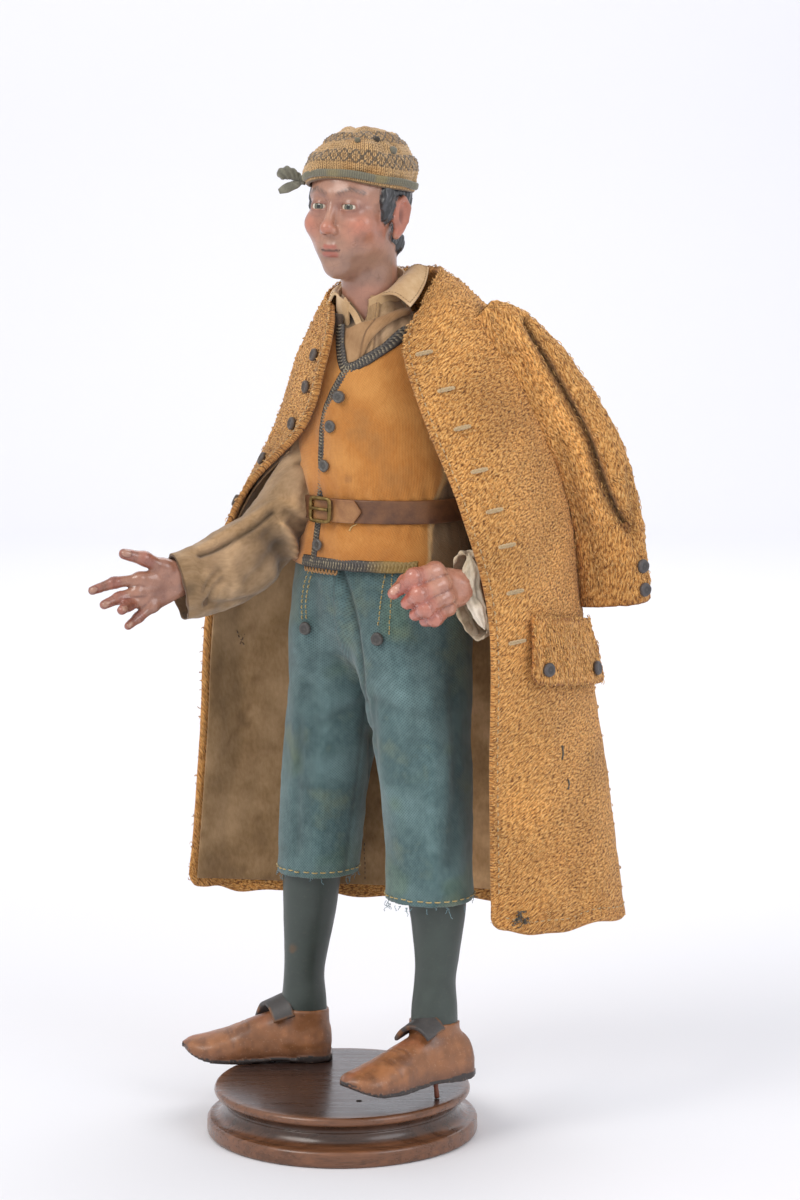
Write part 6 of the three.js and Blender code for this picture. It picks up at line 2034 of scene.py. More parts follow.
def makeCoatBody():
    reach = 1.3
    us, vs = crowded(120, coatWidth, reach), crowded(124, coatLength, reach)
    middle = np.einsum("ri,ijk,cj->rck", weights(vs, 8), coatRows, weights(us, 8))
    flip = facesIn(middle, np.array([24.0, 4, 190]))
    normals = gridNormals(middle) * (-1 if flip else 1)
    plane = np.meshgrid(us * coatWidth / 3.0, vs * coatLength / 1.6)
    lumps = 0.55 * fractal(np.stack([*plane, np.zeros((len(vs), len(us)))], -1), 1, 2, 3)
    sag = 0.9 * fractal(middle * [1, 1, 0.35], 30, 3, 12)
    sag = sag * smooth(0, 0.3, np.minimum(us, 1 - us))[None, :] ** 0.3
    middle = middle + normals * sag[..., None]
    rows, columns = middle.shape[:2]
    side = np.minimum(us, 1 - us)[None, :] * coatWidth + 0 * vs[:, None]
    # The hem hangs in a slight wave, and the lower front corners are rounded
    wave = 0.9 * np.sin(us * 34 + 1) + 0.5 * np.sin(us * 71)
    corner = 6.0 - np.sqrt(36.0 - np.clip(6.0 - side, 0, 6.0) ** 2)
    middle[..., 2] += smooth(0.84, 1.0, vs)[:, None] * wave + smooth(0.94, 1.0, vs)[:, None] * corner
    end = np.minimum(vs, 1 - vs)[:, None] * coatLength + 0 * us[None, :]
    edge = np.minimum(side, end)
    full = edgeFullness(middle, reach)
    roll = 0.45 * bell(edge, 1.8, 1.4)
    dip = 0.35 * bell(edge, 4.2, 0.9)
    tone = shaded(middle, gridTree(middle, False), coatShade(middle), [(armholeLine, 2.6, 0.5)])
    tone = mix(tone, [0.72, 0.62, 0.52], 0.5 * smooth(2.0, 0.6, edge))
    seam = bell(edge, 4.2, 0.8)
    tone = mix(tone, [0.7, 0.62, 0.54], 0.6 * seam)
    # Dirt rubbed into the hem and the front corners
    low = smooth(0.93, 1.0, vs)[:, None] * np.ones(columns)
    tone = mix(tone, [0.66, 0.6, 0.52], 0.5 * low * smooth(-0.2, 0.6, noise(middle / 6, 7)))
    outer = (1.3 + lumps * 0.6 + roll - dip) * full
    inner = (1.25 + roll * 0.4) * full
    # The cloth's map starts at both front edges and meets in a seam down the back
    steps = np.linalg.norm(np.diff(middle, axis=1), axis=2)
    start = np.concatenate([np.zeros((rows, 1)), np.cumsum(steps, axis=1)], 1)
    start = np.where(us < 0.5, start, start - start[:, -1:])
    uv = np.stack([start * metre, gridMap(middle)[..., 1]], -1)
    piece = clothPiece("boucle_coat", middle, bodyWool, outer, inner, flip=flip, tones=tone, uv=uv)
    finishPiece(piece, "boucle_wool", "coat")

    rng = np.random.default_rng(5)
    u = rng.uniform(0.004, 0.996, coatLook["loops"])
    v = rng.uniform(0.004, 0.998, coatLook["loops"])
    extra = 260
    u = np.concatenate([u, rng.choice([0.003, 0.997], extra), rng.uniform(0, 1, extra)])
    v = np.concatenate([v, rng.uniform(0, 1, extra), rng.choice([0.004, 0.997], extra)])
    normal, across, down = coatFrame(u, v)
    grid = [np.interp(u, us, np.arange(columns)), np.interp(v, vs, np.arange(rows))]
    spot = middle[np.round(grid[1]).astype(int), np.round(grid[0]).astype(int)]
    spot = (
        spot + normal * 1.35 + across * rng.normal(0, 0.3, (len(u), 1))
        + down * rng.normal(0, 0.3, (len(u), 1))
    )
    points, faces, tones = yarnLoops(spot, normal, across, 6)
    finishPiece(makePiece("coat_yarn_loops", points, faces, yarn, tones=tones), "boucle_wool")

    # A pale running stitch follows the rolled edges
    parts = []
    inset = 4.2
    lines = []
    vLine = np.linspace(0.03, 0.985, 260)
    for u0 in (inset / coatWidth, 1 - inset / coatWidth):
        lines.append((np.full(260, u0), vLine))
    uLine = np.linspace(0.02, 0.98, 300)
    lines.append((uLine, np.full(300, 1 - inset / coatLength)))
    for u, v in lines:
        normal, across, down = coatFrame(u, v)
        spot = middle[
            np.round(np.interp(v, vs, np.arange(rows))).astype(int),
            np.round(np.interp(u, us, np.arange(columns))).astype(int),
        ]
        line = curve((spot + normal * 1.35)[::4], np.linspace(0, 1, 300))
        outs = curve(normal[::4], np.linspace(0, 1, 300))
        parts += stitchParts(line, 1.5, 1.7, 0.2, 0.35, outs, 5, 0.06)
    points, faces, _ = merged(parts)
    thread = threadMaterial("CoatEdgePaleLinenThread", coatLook["stitch"], "#8f744c")
    finishPiece(makePiece("coat_edge_stitches", points, faces, thread), "boucle_wool")
    return pieceTree(piece)


coatSurface = makeCoatBody()
print("coat body made")

coatSleeves = {
    "left": [
        [56, -15, 320, 6, 4], [66.5, -15, 310, 12, 7.5], [82.5, -11, 289, 14.6, 8.5],
        [99.5, -6, 261, 14.4, 9],
        [107.6, -2, 235, 13.8, 9], [110.8, 0, 201.6, 14.7, 9],
    ],
    "right": [
        [2, 30, 315, 6, 4], [0, 40, 304, 11, 7], [-1, 50.5, 284, 13.5, 7.6], [1, 57.6, 256, 13.5, 7.8],
        [3, 62.6, 228, 13.5, 8], [5, 66, 199, 13.6, 8],
    ],
}
coatSleeveSides = {"left": unit(np.array([1, -0.1, 0.5])), "right": unit(np.array([1, 0.1, 0]))}


# Seen folds of the hanging sleeves, and the painted shade in the core of the deepest: pixels, width, and
# depth or share
coatSleeveFolds = {
    "left": [
        ([(528, 322), (545, 356), (563, 391), (587, 437), (602, 483), (616, 511), (630, 529)], 2.0, 4.6),
        ([(516, 330), (536, 366), (558, 408), (580, 448), (592, 488), (600, 520)], 2.6, -1.0),
        ([(585, 520), (594, 550), (598, 585)], 2.4, 0.9),
        ([(560, 440), (572, 480), (580, 530)], 2.4, 0.8),
        ([(628, 470), (634, 510), (636, 545)], 2.2, 0.9),
    ],
    "right": [],
}
coatSleeveCores = {"left": [(coatSleeveFolds["left"][0][0], 1.2, 0.4)], "right": []}


def makeCoatSleeves():
    def crease(along, angle):
        near = np.exp(-(((angle - np.pi / 2) / 0.45) ** 2))
        return 1 - 0.3 * near * np.sin(np.pi * np.clip(along, 0, 1))

    sleeveRows, sleeveColumns = coatLook["sleeveRows"], coatLook["sleeveColumns"]
    loopPlaces, loopNormals, loopAlong = [], [], []
    rng = np.random.default_rng(12)
    for name, stations in coatSleeves.items():
        points, along = openTube(
            stations, coatSleeveSides[name], 135.0, 2.4, 26, sleeveRows, sleeveColumns, crease
        )
        normals = gridNormals(points, True)
        lumps = 0.5 * fractal(points * [1.5, 1.5, 0.8], 2.6, 2, 5) + 0.9 * fractal(
            points * [1, 1, 0.5], 18, 3, 9
        )
        outside = np.arange(len(points)) < sleeveRows
        points = points + normals * (lumps * np.where(outside, 1, 0.4)[:, None])[..., None]
        plain = points[:sleeveRows]
        tree = gridTree(plain)
        front = creased(plain, normals[:sleeveRows], tree, coatSleeveFolds[name])
        points = np.concatenate([front, points[sleeveRows:]])
        tone = coatShade(points)
        marks = creaseMarks(coatSleeveFolds[name], 0.3) + coatSleeveCores[name]
        tone = np.concatenate([shaded(plain, tree, tone[:sleeveRows], marks), tone[sleeveRows:]])
        # Painted dark inside the sleeves: painted shade
        tone = mix(tone, [0.3, 0.24, 0.18], np.where(outside, 0, 0.85)[:, None] * np.ones(sleeveColumns))
        tone = mix(
            tone, [0.66, 0.56, 0.46], 0.6 * smooth(0.975, 0.995, along)[:, None] * np.ones(sleeveColumns)
        )
        piece = gridPiece(f"coat_sleeve_{name}", points, sleeveWool, True, False, tone)
        finishPiece(piece, "boucle_wool")
        normals = gridNormals(points, True)
        count = coatLook["sleeveLoops"]
        r, c = rng.integers(3, sleeveRows - 1, count), rng.integers(0, sleeveColumns, count)
        loopPlaces.append(points[r, c] + normals[r, c] * 0.1)
        loopNormals.append(normals[r, c])
        loopAlong.append(unit(points[r, c] - points[r - 2, c]))
    points, faces, tones = yarnLoops(
        np.concatenate(loopPlaces), np.concatenate(loopNormals), np.concatenate(loopAlong), 9, (1.6, 4.0),
        (0.2, 0.8)
    )
    finishPiece(makePiece("sleeve_yarn_loops", points, faces, yarn, tones=tones), "boucle_wool")


makeCoatSleeves()
print("coat sleeves made")


# A seam down the middle of the back, and the two lines of a darn on the right side, as seen
liningStitches = [
    [(364, 842), (365, 868), (365, 894)], [(236, 630), (241, 640), (247, 648)],
    [(239, 645), (243, 637), (246, 632)],
]


def makeLining():
    us, vs = crowded(84, 250, 0.35), crowded(64, 130, 0.35)
    u = 0.013 + (1 - 0.026) * us
    v = 0.478 + (0.989 - 0.478) * vs
    middle = np.einsum("ri,ijk,cj->rck", weights(v, 8), coatRows, weights(u, 8))
    normals = coatFrame(*np.meshgrid(u, v))[0]
    sag = 0.9 * fractal(middle * [1, 1, 0.35], 30, 3, 12)
    # Long soft folds hang from the waist, and the sewn seams pull straight lines
    folds = 0.5 * np.sin(us[None, :] * 46 + 2 * noise(middle / 40, 3)) * smooth(0, 0.3, vs)[:, None]
    folds = folds * smooth(0, 0.06, np.minimum(us, 1 - us))[None, :]
    middle = middle + normals * (sag * 0.8 - 2.7 - 0.5 * np.abs(folds) - 0.3 * folds)[..., None]
    tone = np.ones((*middle.shape[:2], 3))
    streak = smooth(0.0, 0.9, fractal(middle * [1, 1, 0.25], 9, 3, 5))
    tone = mix(tone, [0.66, 0.6, 0.5], 0.75 * streak)
    tone = mix(tone, [0.6, 0.54, 0.46], 0.5 * smooth(0.25, 0.0, vs)[:, None] * np.ones(len(us)))
    tone = mix(tone, [0.5, 0.42, 0.32], 0.54 * smooth(0.45, 0.9, fractal(middle, 6, 2, 61)))
    full = edgeFullness(middle, 0.35)
    # The right side keeps the lining's own browned colour; towards the left front, where it hangs free of the
    # legs, it is painted paler: painted light on lining that lies in the coat's shade
    tone = mix(
        tone, tone * np.array([1.85, 1.85, 1.95]), smooth(0.72, 0.5, us)[None, :] * np.ones((len(vs), 1))
    )
    cloth = woven("LiningLinenBrownedBeige", "#b3916a", "#8f6f48", "#705534", 0.5, 0.1, 0.3, tones=True)
    inside = facesIn(middle, np.array([24.0, 4, 150]))
    piece = clothPiece("linen_coat_lining", middle, cloth, 0.35 * full, 0.35 * full, flip=inside, tones=tone)
    finishPiece(piece, "lining_linen", "coat_lining")
    parts = []
    own = pieceTree(piece)
    for pixels in liningStitches:
        found = seenAt(own, curve(pixels, np.linspace(0, 1, 20)))
        if len(found) > 3:
            line, outs = np.array([f[0] for f in found]), np.array([f[1] for f in found])
            parts += stitchParts(line, 1.2, 0.9, 0.2, 0.3, outs, 5, 0.1)
    if parts:
        points, faces, _ = merged(parts)
        dark = threadMaterial("LiningDarningThreadDark", "#5b4429", "#33261a")
        finishPiece(makePiece("lining_darn", points, faces, dark), "lining_linen")


makeLining()
print("lining made")


def makeFlaps():
    pockets = {"left": (0.178, 0.71, 1), "right": (0.79, 0.71, -1)}
    rng = np.random.default_rng(3)
    for name, (u0, v0, backward) in pockets.items():
        here = coatAt(np.array([u0]), np.array([v0]))
        shareU = 0.01 / np.linalg.norm(coatAt(np.array([u0 + 0.01]), np.array([v0])) - here)
        shareV = 0.01 / np.linalg.norm(coatAt(np.array([u0]), np.array([v0 + 0.01])) - here)
        a, b = np.meshgrid(crowded(54, 50, 1.1), crowded(32, 26, 1.1))
        across = (2 * a - 1) * 22.5 * (1 + 0.26 * b)
        corner = np.clip((np.abs(2 * a - 1) - 0.82) / 0.18, 0, 1)
        down = (24 - 3.4 * corner**2) * b + 3.25 * (1 + backward * (2 * a - 1))
        u, v = u0 + across * shareU, v0 + down * shareV
        lift = 2.5 + 1.1 + 1.4 * np.sin(np.pi / 2 * b) + 0.6 * bell(b, 0, 0.06)
        normals = coatFrame(u, v)[0]
        middle = coatAt(u, v) + normals * (lift + 0.5 * fractal(coatAt(u, v), 12, 2, 8))[..., None]
        flip = facesIn(middle, np.array([24.0, 4, 150]))
        full = edgeFullness(middle, 1.1)
        edge = np.minimum(np.minimum(a, 1 - a) * 50, np.minimum(b, 1 - b) * 26)
        lumps = 0.35 * fractal(np.stack([across / 1.4, down / 2.6, across * 0], -1), 1, 2, 3)
        roll = 0.5 * bell(edge, 1.8, 1.2)
        tone = coatShade(middle) * 0.97
        tone = mix(tone, [0.6, 0.5, 0.4], 0.7 * smooth(2.0, 0.6, edge))
        piece = clothPiece(
            f"pocket_flap_{name}_wool", middle, sleeveWool, (1.1 + lumps + roll) * full, 1.0 * full,
            flip=flip,
            tones=tone,
        )
        print("flap area", sheetArea(middle))
        finishPiece(piece, "boucle_wool", f"pocket_flap_{name}")
        count = 420
        r, c = rng.integers(1, middle.shape[0] - 1, count), rng.integers(1, middle.shape[1] - 1, count)
        spot = middle[r, c] + normals[r, c] * 1.2
        heading = unit(middle[np.minimum(r + 1, middle.shape[0] - 1), c] - middle[r - 1, c])
        points, faces, tones = yarnLoops(spot, normals[r, c], heading, 21, (1.2, 3.2), (0.2, 0.7))
        finishPiece(makePiece(f"pocket_flap_{name}_loops", points, faces, yarn, tones=tones), "boucle_wool")


makeFlaps()


# Their middles in the photograph, down the left front
buttonholes = [
    (424, 353), (446, 390), (462, 428), (479, 471), (494, 511), (506, 546), (514, 592), (516, 641.6)
]
wornSlits = [(562, 752.6, 7), (568, 784.5, 5)]  # a middle and half a length
hemTufts = [(520, 913), (525, 922), (516, 920)]


# Buttonhole bars: close satin stitches across a short slit
def makeButtonholes():
    parts = []
    for x, y in buttonholes:
        found = seenAt(coatSurface, [(x - 8, y + 1.8), (x, y), (x + 8, y - 1.8)])
        if len(found) < 3:
            continue
        ends = np.array([f[0] for f in found])
        normal = unit(np.mean([f[1] for f in found], axis=0))
        if normal @ (cameraPlace - ends[1]) < 0:
            normal = -normal
        ends = ends + normal * 0.45
        along = unit(ends[2] - ends[0])
        beside = np.cross(normal, along)
        for k, t in enumerate(np.linspace(-0.5, 0.5, 13)):
            middle = ends[0] + (ends[2] - ends[0]) * (t + 0.5) + normal * 0.35
            wide = 0.72 * (1 - 0.5 * abs(2 * t) ** 6) + 0.1 * math.sin(k * 2.3)
            for side in (-1, 1):
                line = [middle + beside * side * 0.08, middle + beside * side * wide * 0.6 + normal * 0.4,
                        middle + beside * side * wide - normal * 0.1]
                parts.append(tubeMesh(curve(np.array(line), np.linspace(0, 1, 6)), 0.26, 5))
    points, faces, _ = merged(parts)
    thread = threadMaterial("ButtonholeLinenTwistPale", coatLook["bar"], "#c2a67c")
    finishPiece(makePiece("buttonhole_bars", points, faces, thread), "boucle_wool")
    # Two worn slits near the pocket, drawn as dark threads: painted shade in the slits; and grey tufts at the
    # hem's front corner
    parts = []
    for x, y, high in wornSlits:
        found = seenAt(coatSurface, [(x, y - high), (x + 1, y), (x, y + high)])
        line = np.array([f[0] + f[1] * 0.05 for f in found])
        parts.append(tubeMesh(curve(line, np.linspace(0, 1, 8)), 0.42, 6))
    rng = np.random.default_rng(8)
    for x, y in hemTufts:
        found = seenAt(coatSurface, [(x, y)])
        if found:
            place, normal = found[0]
            for _ in range(12):
                path = place + np.cumsum(rng.normal(0, 0.5, (6, 3)) + normal * 0.15, axis=0)
                parts.append(tubeMesh(path, 0.2, 5))
    points, faces, _ = merged(parts)
    grey = threadMaterial("GreyWoolTuftsAndSlitShade", "#5d5a4c", "#33281c")
    finishPiece(makePiece("coat_tufts", points, faces, grey), "boucle_wool")


makeButtonholes()
woodButton = painted("ThreadCoveredButtonDark", 0.5, 0.1, 1.4, "#8f8377", 0.3, 0.12)
for index in range(1, 9):
    name = f"coat_button_{index}"
    makeButton(f"worn_{name}", name, "button_metal", woodButton, "#54483f", 1.8, 1.0, 0.2, coatSurface)
for side in ("left", "right"):
    for pattern in (
        "pocket_button_{}_front", "pocket_button_{}_back", "cuff_button_{}_lower", "cuff_button_{}_upper"
    ):
        name = pattern.format(side)
        makeButton(f"worn_{name}", name, "button_metal", woodButton, "#4f4a4a", 2.1, 1.08, 0.12)
print("coat, flaps and buttons made")

headTurn = 30
headMiddle = np.array([6.2, 1, 360 + plinthHeight])
headLean, headNod = math.radians(-0.5), math.radians(-5)
headLook = {
    "skin": "#ab7d67", "cheek": "#bd6f58", "jaw": "#8b7161", "lip": "#a65a4b", "brow": "#4a3f3a",
    "hair": "#2b2b2d", "hairLight": "#4f5054", "ear": "#b86a54", "neck": "#a97863", "step": 0.76,
    "white": "#d6cab6", "iris": "#6a6b57", "pupil": "#171514",
}


def headAxes():
    basis = np.stack([leftOf(headTurn), upward, frontOf(headTurn)], 1)
    c, s = math.cos(headLean), math.sin(headLean)
    lean = np.array([[c, -s, 0], [s, c, 0], [0, 0, 1]])
    c, s = math.cos(headNod), math.sin(headNod)
    nod = np.array([[1, 0, 0], [0, c, -s], [0, s, c]])
    return basis @ lean @ nod


headBasis = headAxes()


def fromHead(p):
    return headMiddle + np.asarray(p) @ headBasis.T


neckStations = [
    [10.6, 3, 346, 12, 12.4, headTurn], [11.6, 3, 334, 11.4, 11.8, headTurn],
    [12.4, 3.4, 325, 11.4, 11.6, headTurn],
    [12.8, 3.8, 312, 11.4, 11.4, headTurn],
]
eyeMiddle = (6.8, 0.0, 14.3)
browLine = [(3.0, 4.9, 19), (7.4, 6.9, 17.8), (11.6, 5.6, 14.4)]


def chain(p, places, radii):
    best = None
    for start, end, ra, rb in zip(places[:-1], places[1:], radii[:-1], radii[1:]):
        here = rod(p, start, end, ra, rb)
        best = here if best is None else np.minimum(best, here)
    return best


# The two halves of the face are alike, so paired forms are worked out once on the absolute side
def skinField(p):
    m = np.concatenate([np.abs(p[..., :1]), p[..., 1:]], -1)
    face = smoothJoin(egg(p, (0, 6.5, -2.6), (18.2, 21.2, 21.8)), egg(p, (0, -9.5, 3), (15.2, 17.2, 15.6)), 5)
    face = smoothJoin(face, egg(p, (0, -23.4, 10.8), (6.4, 5.0, 5.6)), 4)
    face = smoothJoin(face, egg(m, (9.8, -6.6, 12.2), (5.4, 4.8, 5.0)), 5)
    face = smoothJoin(face, egg(p, (0, -16.4, 13.6), (7.6, 5.8, 5.2)), 4)
    face = smoothJoin(
        face, chain(m, [(2.4, 4.6, 17.6), (7.0, 5.8, 16.6), (11.4, 4.6, 12.8)], (1.5, 1.8, 1.4)), 3
    )
    face = smoothCut(face, egg(m, (6.9, 0.2, 20.6), (5.4, 3.2, 4.1)), 2.4)
    lids = egg(m, eyeMiddle, (4.75, 4.5, 4.7))
    face = smoothJoin(face, lids, 1.4)
    # An almond opening between the lids
    x, y = (m[..., 0] - eyeMiddle[0]) / 3.7, m[..., 1] - eyeMiddle[1]
    arch = 1 - x * x
    opening = np.maximum(y - 1.15 * arch, -1.05 * arch - y)
    face = np.maximum(face, -np.maximum(opening, eyeMiddle[2] + 1.5 - m[..., 2]))
    # Nose: bridge, tip, wings and nostrils
    face = smoothJoin(face, chain(p, [(0, 4.4, 17.4), (0, -2, 19.4), (0, -8.0, 22.2)], (1.5, 1.6, 2.1)), 2.4)
    face = smoothJoin(face, egg(p, (0, -8.8, 22.0), (2.7, 2.4, 2.6)), 1.4)
    face = smoothJoin(face, egg(m, (2.7, -9.8, 19.8), (1.7, 1.7, 2.2)), 1.2)
    face = smoothCut(face, egg(m, (1.4, -11.7, 21.0), (0.85, 0.9, 1.2)), 0.5)
    face = smoothCut(face, chain(m, [(4.6, -9.0, 19.6), (5.2, -12.5, 19.4)], (0.7, 0.4)), 1.6)
    # Mouth: a calm closed line between full lips
    face = smoothCut(face, egg(p, (0, -13.4, 20.6), (0.9, 2.0, 1.2)), 1.2)
    face = smoothJoin(
        face, chain(m, [(0, -15.9, 18.4), (2.0, -15.6, 18.3), (5.4, -16.9, 15.8)], (1.1, 1.15, 0.5)), 0.9
    )
    face = smoothJoin(
        face, chain(m, [(0, -18.9, 17.9), (2.6, -18.7, 17.4), (5.0, -17.6, 15.7)], (1.4, 1.25, 0.5)), 1.0
    )
    face = smoothCut(
        face, chain(m, [(0, -17.35, 19.6), (2.4, -17.2, 19.1), (6.6, -16.7, 15.8)], (0.3, 0.3, 0.4)), 0.4
    )
    face = smoothCut(face, egg(p, (0, -21.2, 18.4), (4.2, 1.2, 1.9)), 2.0)
    # Ears: rim, bowl and lobe
    ear = egg(m, (18.6, -2.4, -3.2), (1.9, 7.6, 4.5))
    rim = chain(
        m,
        [
            (18.0, -3, 1.0), (19.4, 2.6, 0.6), (20.4, 5.2, -3.2), (20.6, 1.5, -7.2), (20.0, -4.0, -6.8),
            (19.0, -8.4, -3.4)
        ],
        (0.8, 1.0, 1.1, 1.1, 1.0, 1.3),
    )
    ear = smoothJoin(ear, rim, 1.0)
    ear = smoothCut(ear, egg(m, (21.0, -1.8, -2.6), (1.9, 4.6, 2.5)), 0.9)
    ear = smoothJoin(ear, egg(m, (18.4, -9.4, -1.6), (1.5, 2.3, 2.0)), 1.0)
    ear = smoothJoin(ear, egg(m, (18.2, -3.4, 0.9), (1.0, 1.5, 1.1)), 0.7)
    face = smoothJoin(face, ear, 0.9)
    return face


def hairField(p):
    m = np.concatenate([np.abs(p[..., :1]), p[..., 1:]], -1)
    cap = egg(p, (0, 6, -4.6), (19.5, 21.5, 21.7))
    grooves = 0.35 * np.sin(np.arctan2(p[..., 2] + 4, np.abs(p[..., 0])) * 34 + 0.5 * p[..., 1])
    cap = np.maximum(cap + grooves, np.maximum(p[..., 2] - 3.5, -11.5 - p[..., 1] + 0.25 * p[..., 2]))
    side = egg(m, (17.2, 4.2, 4.4), (2.5, 8.0, 4.4))
    tip = egg(m, (16.8, -1.6, 4.2), (1.6, 4.4, 2.4))
    # The lock on the right side of the head lies flatter
    locks = smoothJoin(side, tip, 2.0) + np.where(p[..., 0] < 0, 1.5, 0) + 0.28 * np.sin(
        1.9 * p[..., 2] + 0.35 * p[..., 1]
    )
    nape = egg(m, (11.8, -12.2, -11.0), (4.6, 5.6, 5.0)) + 0.3 * np.sin(2.0 * p[..., 0] + 0.8 * p[..., 2])
    hair = smoothJoin(smoothJoin(cap, locks, 0.8), nape, 1.5)
    notch = np.maximum(egg(m, (18.8, -2.6, -3.0), (3.4, 8.6, 5.4)), 0 * p[..., 0] - 5)
    return np.maximum(hair, -notch)


def neckField(p):
    world = fromHead(p)
    return ringDistance(neckStations, world)


def makeHead():
    def field(p):
        skin = smoothJoin(skinField(p), neckField(p), 4.5)
        return np.minimum(skin, hairField(p))

    points, quads = fieldMesh(field, (-24, -49, -30), (24, 25, 27), headLook["step"])
    points = relaxed(points, quads, 1)
    x, y, z = np.abs(points[:, 0]), points[:, 1], points[:, 2]
    p32 = points.astype(np.float32)
    isHair = smooth(0.25, -0.05, hairField(p32) - np.minimum(skinField(p32), neckField(p32)))
    rough = fractal(points, 5, 3, 3)
    tone = np.broadcast_to(toneOf(headLook["skin"]), points.shape)
    tone = mix(tone, toneOf(headLook["neck"]), smooth(-22, -32, y))
    tone = mix(tone, toneOf(headLook["jaw"]), 0.5 * smooth(-13, -20, y) * smooth(-33, -27, y) * (z > -6))
    upperLip = bell(y, -14.2, 1.6) * smooth(8, 5, x) * (z > 12)
    tone = mix(tone, toneOf(headLook["jaw"]), 0.35 * upperLip)
    cheek = np.exp(-(((x - 11.6) / 6.0) ** 2 + ((y + 7.0) / 5.8) ** 2)) * (z > 2)
    tone = mix(tone, toneOf(headLook["cheek"]), 0.62 * cheek)
    tip = np.linalg.norm(points - (0, -8.8, 23), axis=1)
    tone = mix(tone, toneOf(headLook["cheek"]), 0.6 * smooth(5, 1, tip))
    mirroredPoints = np.stack([x, y, z], 1)
    lips = np.minimum(
        chain(mirroredPoints, [(0, -15.9, 18.6), (2.0, -15.7, 18.5), (5.2, -16.9, 16)], (1.0, 1.0, 0.4)),
        chain(mirroredPoints, [(0, -18.8, 18.2), (2.6, -18.6, 17.6), (5.0, -17.5, 16)], (1.3, 1.1, 0.4)),
    )
    tone = mix(tone, toneOf(headLook["lip"]), 0.85 * smooth(0.5, -0.1, lips))
    # Nearly black in the crease between the lips: painted shade
    line = chain(mirroredPoints, [(0, -17.35, 18.9), (2.4, -17.2, 18.4), (5.8, -17.0, 16.2)], (0.3, 0.3, 0.3))
    tone = mix(tone, toneOf("#3a1d18"), 0.85 * smooth(0.55, 0.15, line))
    # Nearly black in the nostrils: painted shade
    nostril = np.linalg.norm((mirroredPoints - (1.4, -11.5, 20.6)) / (1, 0.9, 1.4), axis=1)
    tone = mix(tone, toneOf("#3a1d18"), 0.8 * smooth(1.1, 0.7, nostril))
    brow = nearest(mirroredPoints, [np.array(b) for b in browLine])
    strands = 0.7 + 0.3 * np.sin(6.0 * (points[:, 0] * 0.8 + y))
    tone = mix(tone, toneOf(headLook["brow"]), 0.85 * smooth(1.75, 0.7, brow) * strands)
    eye = mirroredPoints - eyeMiddle
    lid = np.hypot(eye[:, 0] / 4.2, eye[:, 1] / 1.9)
    tone = mix(tone, toneOf("#7d4a3e"), 0.6 * bell(lid, 1.0, 0.28) * (z > 12))
    # A darker ring round each eye, in the socket's hollow: painted shade
    tone = mix(
        tone, toneOf("#94685a"),
        0.5 * bell(np.hypot(eye[:, 0] / 5.6, (eye[:, 1] - 0.4) / 4.2), 1, 0.3) * (z > 11)
    )
    earDistance = np.linalg.norm((mirroredPoints - (19.6, -2.4, -3)) / (3.2, 9, 6), axis=1)
    tone = mix(tone, toneOf(headLook["ear"]), 0.7 * smooth(1.2, 0.8, earDistance))
    # Dark in the ear's bowl: painted shade
    tone = mix(
        tone, toneOf("#6d3b30"),
        0.7 * smooth(1.0, 0.5, np.linalg.norm((mirroredPoints - (20, -2, -2.6)) / (1.6, 4, 2.2), axis=1))
    )
    tone = mix(tone, toneOf("#7c5c4e"), 0.35 * smooth(0.3, 0.9, rough))
    groove = np.sin(np.arctan2(z + 4, points[:, 0]) * 34 + 0.5 * y)
    hair = mix(toneOf(headLook["hair"]), toneOf(headLook["hairLight"]), 0.6 * smooth(-0.1, 0.9, groove))
    tone = mix(tone, hair, isHair)
    normals = vertexNormals(points, quads)
    strand = 0.22 * np.sin(2.6 * z + 1.1 * y + 3 * noise(points / 6, 2)) * isHair
    points = points + normals * (0.05 * rough + strand)[:, None]
    # Flesh paint over terracotta: a satin gleam, soft clouding and a fine crackle
    skin, tree, shader, where = startMaterial(
        "SatinFleshPaintOverTerracotta", 0.36, Coat_Weight=0.4, Coat_Roughness=0.2
    )
    colour = addNode(tree, "ShaderNodeAttribute", out=0, attribute_name="tone")
    cloudy = addNode(
        tree, "ShaderNodeTexNoise",
        {"Vector": where.outputs["Object"], "Scale": 1000 / 7, "Detail": 4.0, "Roughness": 0.6}, out=0
    )
    crackle = addNode(
        tree, "ShaderNodeTexVoronoi", {"Vector": where.outputs["Object"], "Scale": 260.0}, out=0,
        feature="DISTANCE_TO_EDGE"
    )
    pores = addNode(
        tree, "ShaderNodeTexNoise",
        {"Vector": where.outputs["Object"], "Scale": 1000 / 0.7, "Detail": 2.0, "Roughness": 0.6}, out=0
    )
    tint = addNode(tree, "ShaderNodeValToRGB", {0: cloudy}, [(0.3, 0.86), (0.7, 1.1)], out=0)
    base = addNode(
        tree, "ShaderNodeMix", {0: 1.0, 6: colour, 7: tint}, out=2, data_type="RGBA", blend_type="MULTIPLY"
    )
    tint = addNode(tree, "ShaderNodeValToRGB", {0: crackle}, [(0.0, 0.35), (0.03, 1.0)], out=0)
    base = addNode(
        tree, "ShaderNodeMix", {0: 0.22, 6: base, 7: tint}, out=2, data_type="RGBA", blend_type="MULTIPLY"
    )
    tree.links.new(base, shader.inputs["Base Color"])
    tree.links.new(
        addNode(tree, "ShaderNodeValToRGB", {0: cloudy}, [(0.3, 0.26), (0.7, 0.46)], out=0),
        shader.inputs["Roughness"]
    )
    bumped(tree, shader, pores, 0.25, 0.05)
    piece = makePiece("painted_head", fromHead(points), quads, skin, tones=tone)
    finishPiece(piece, "painted_terracotta", "head")

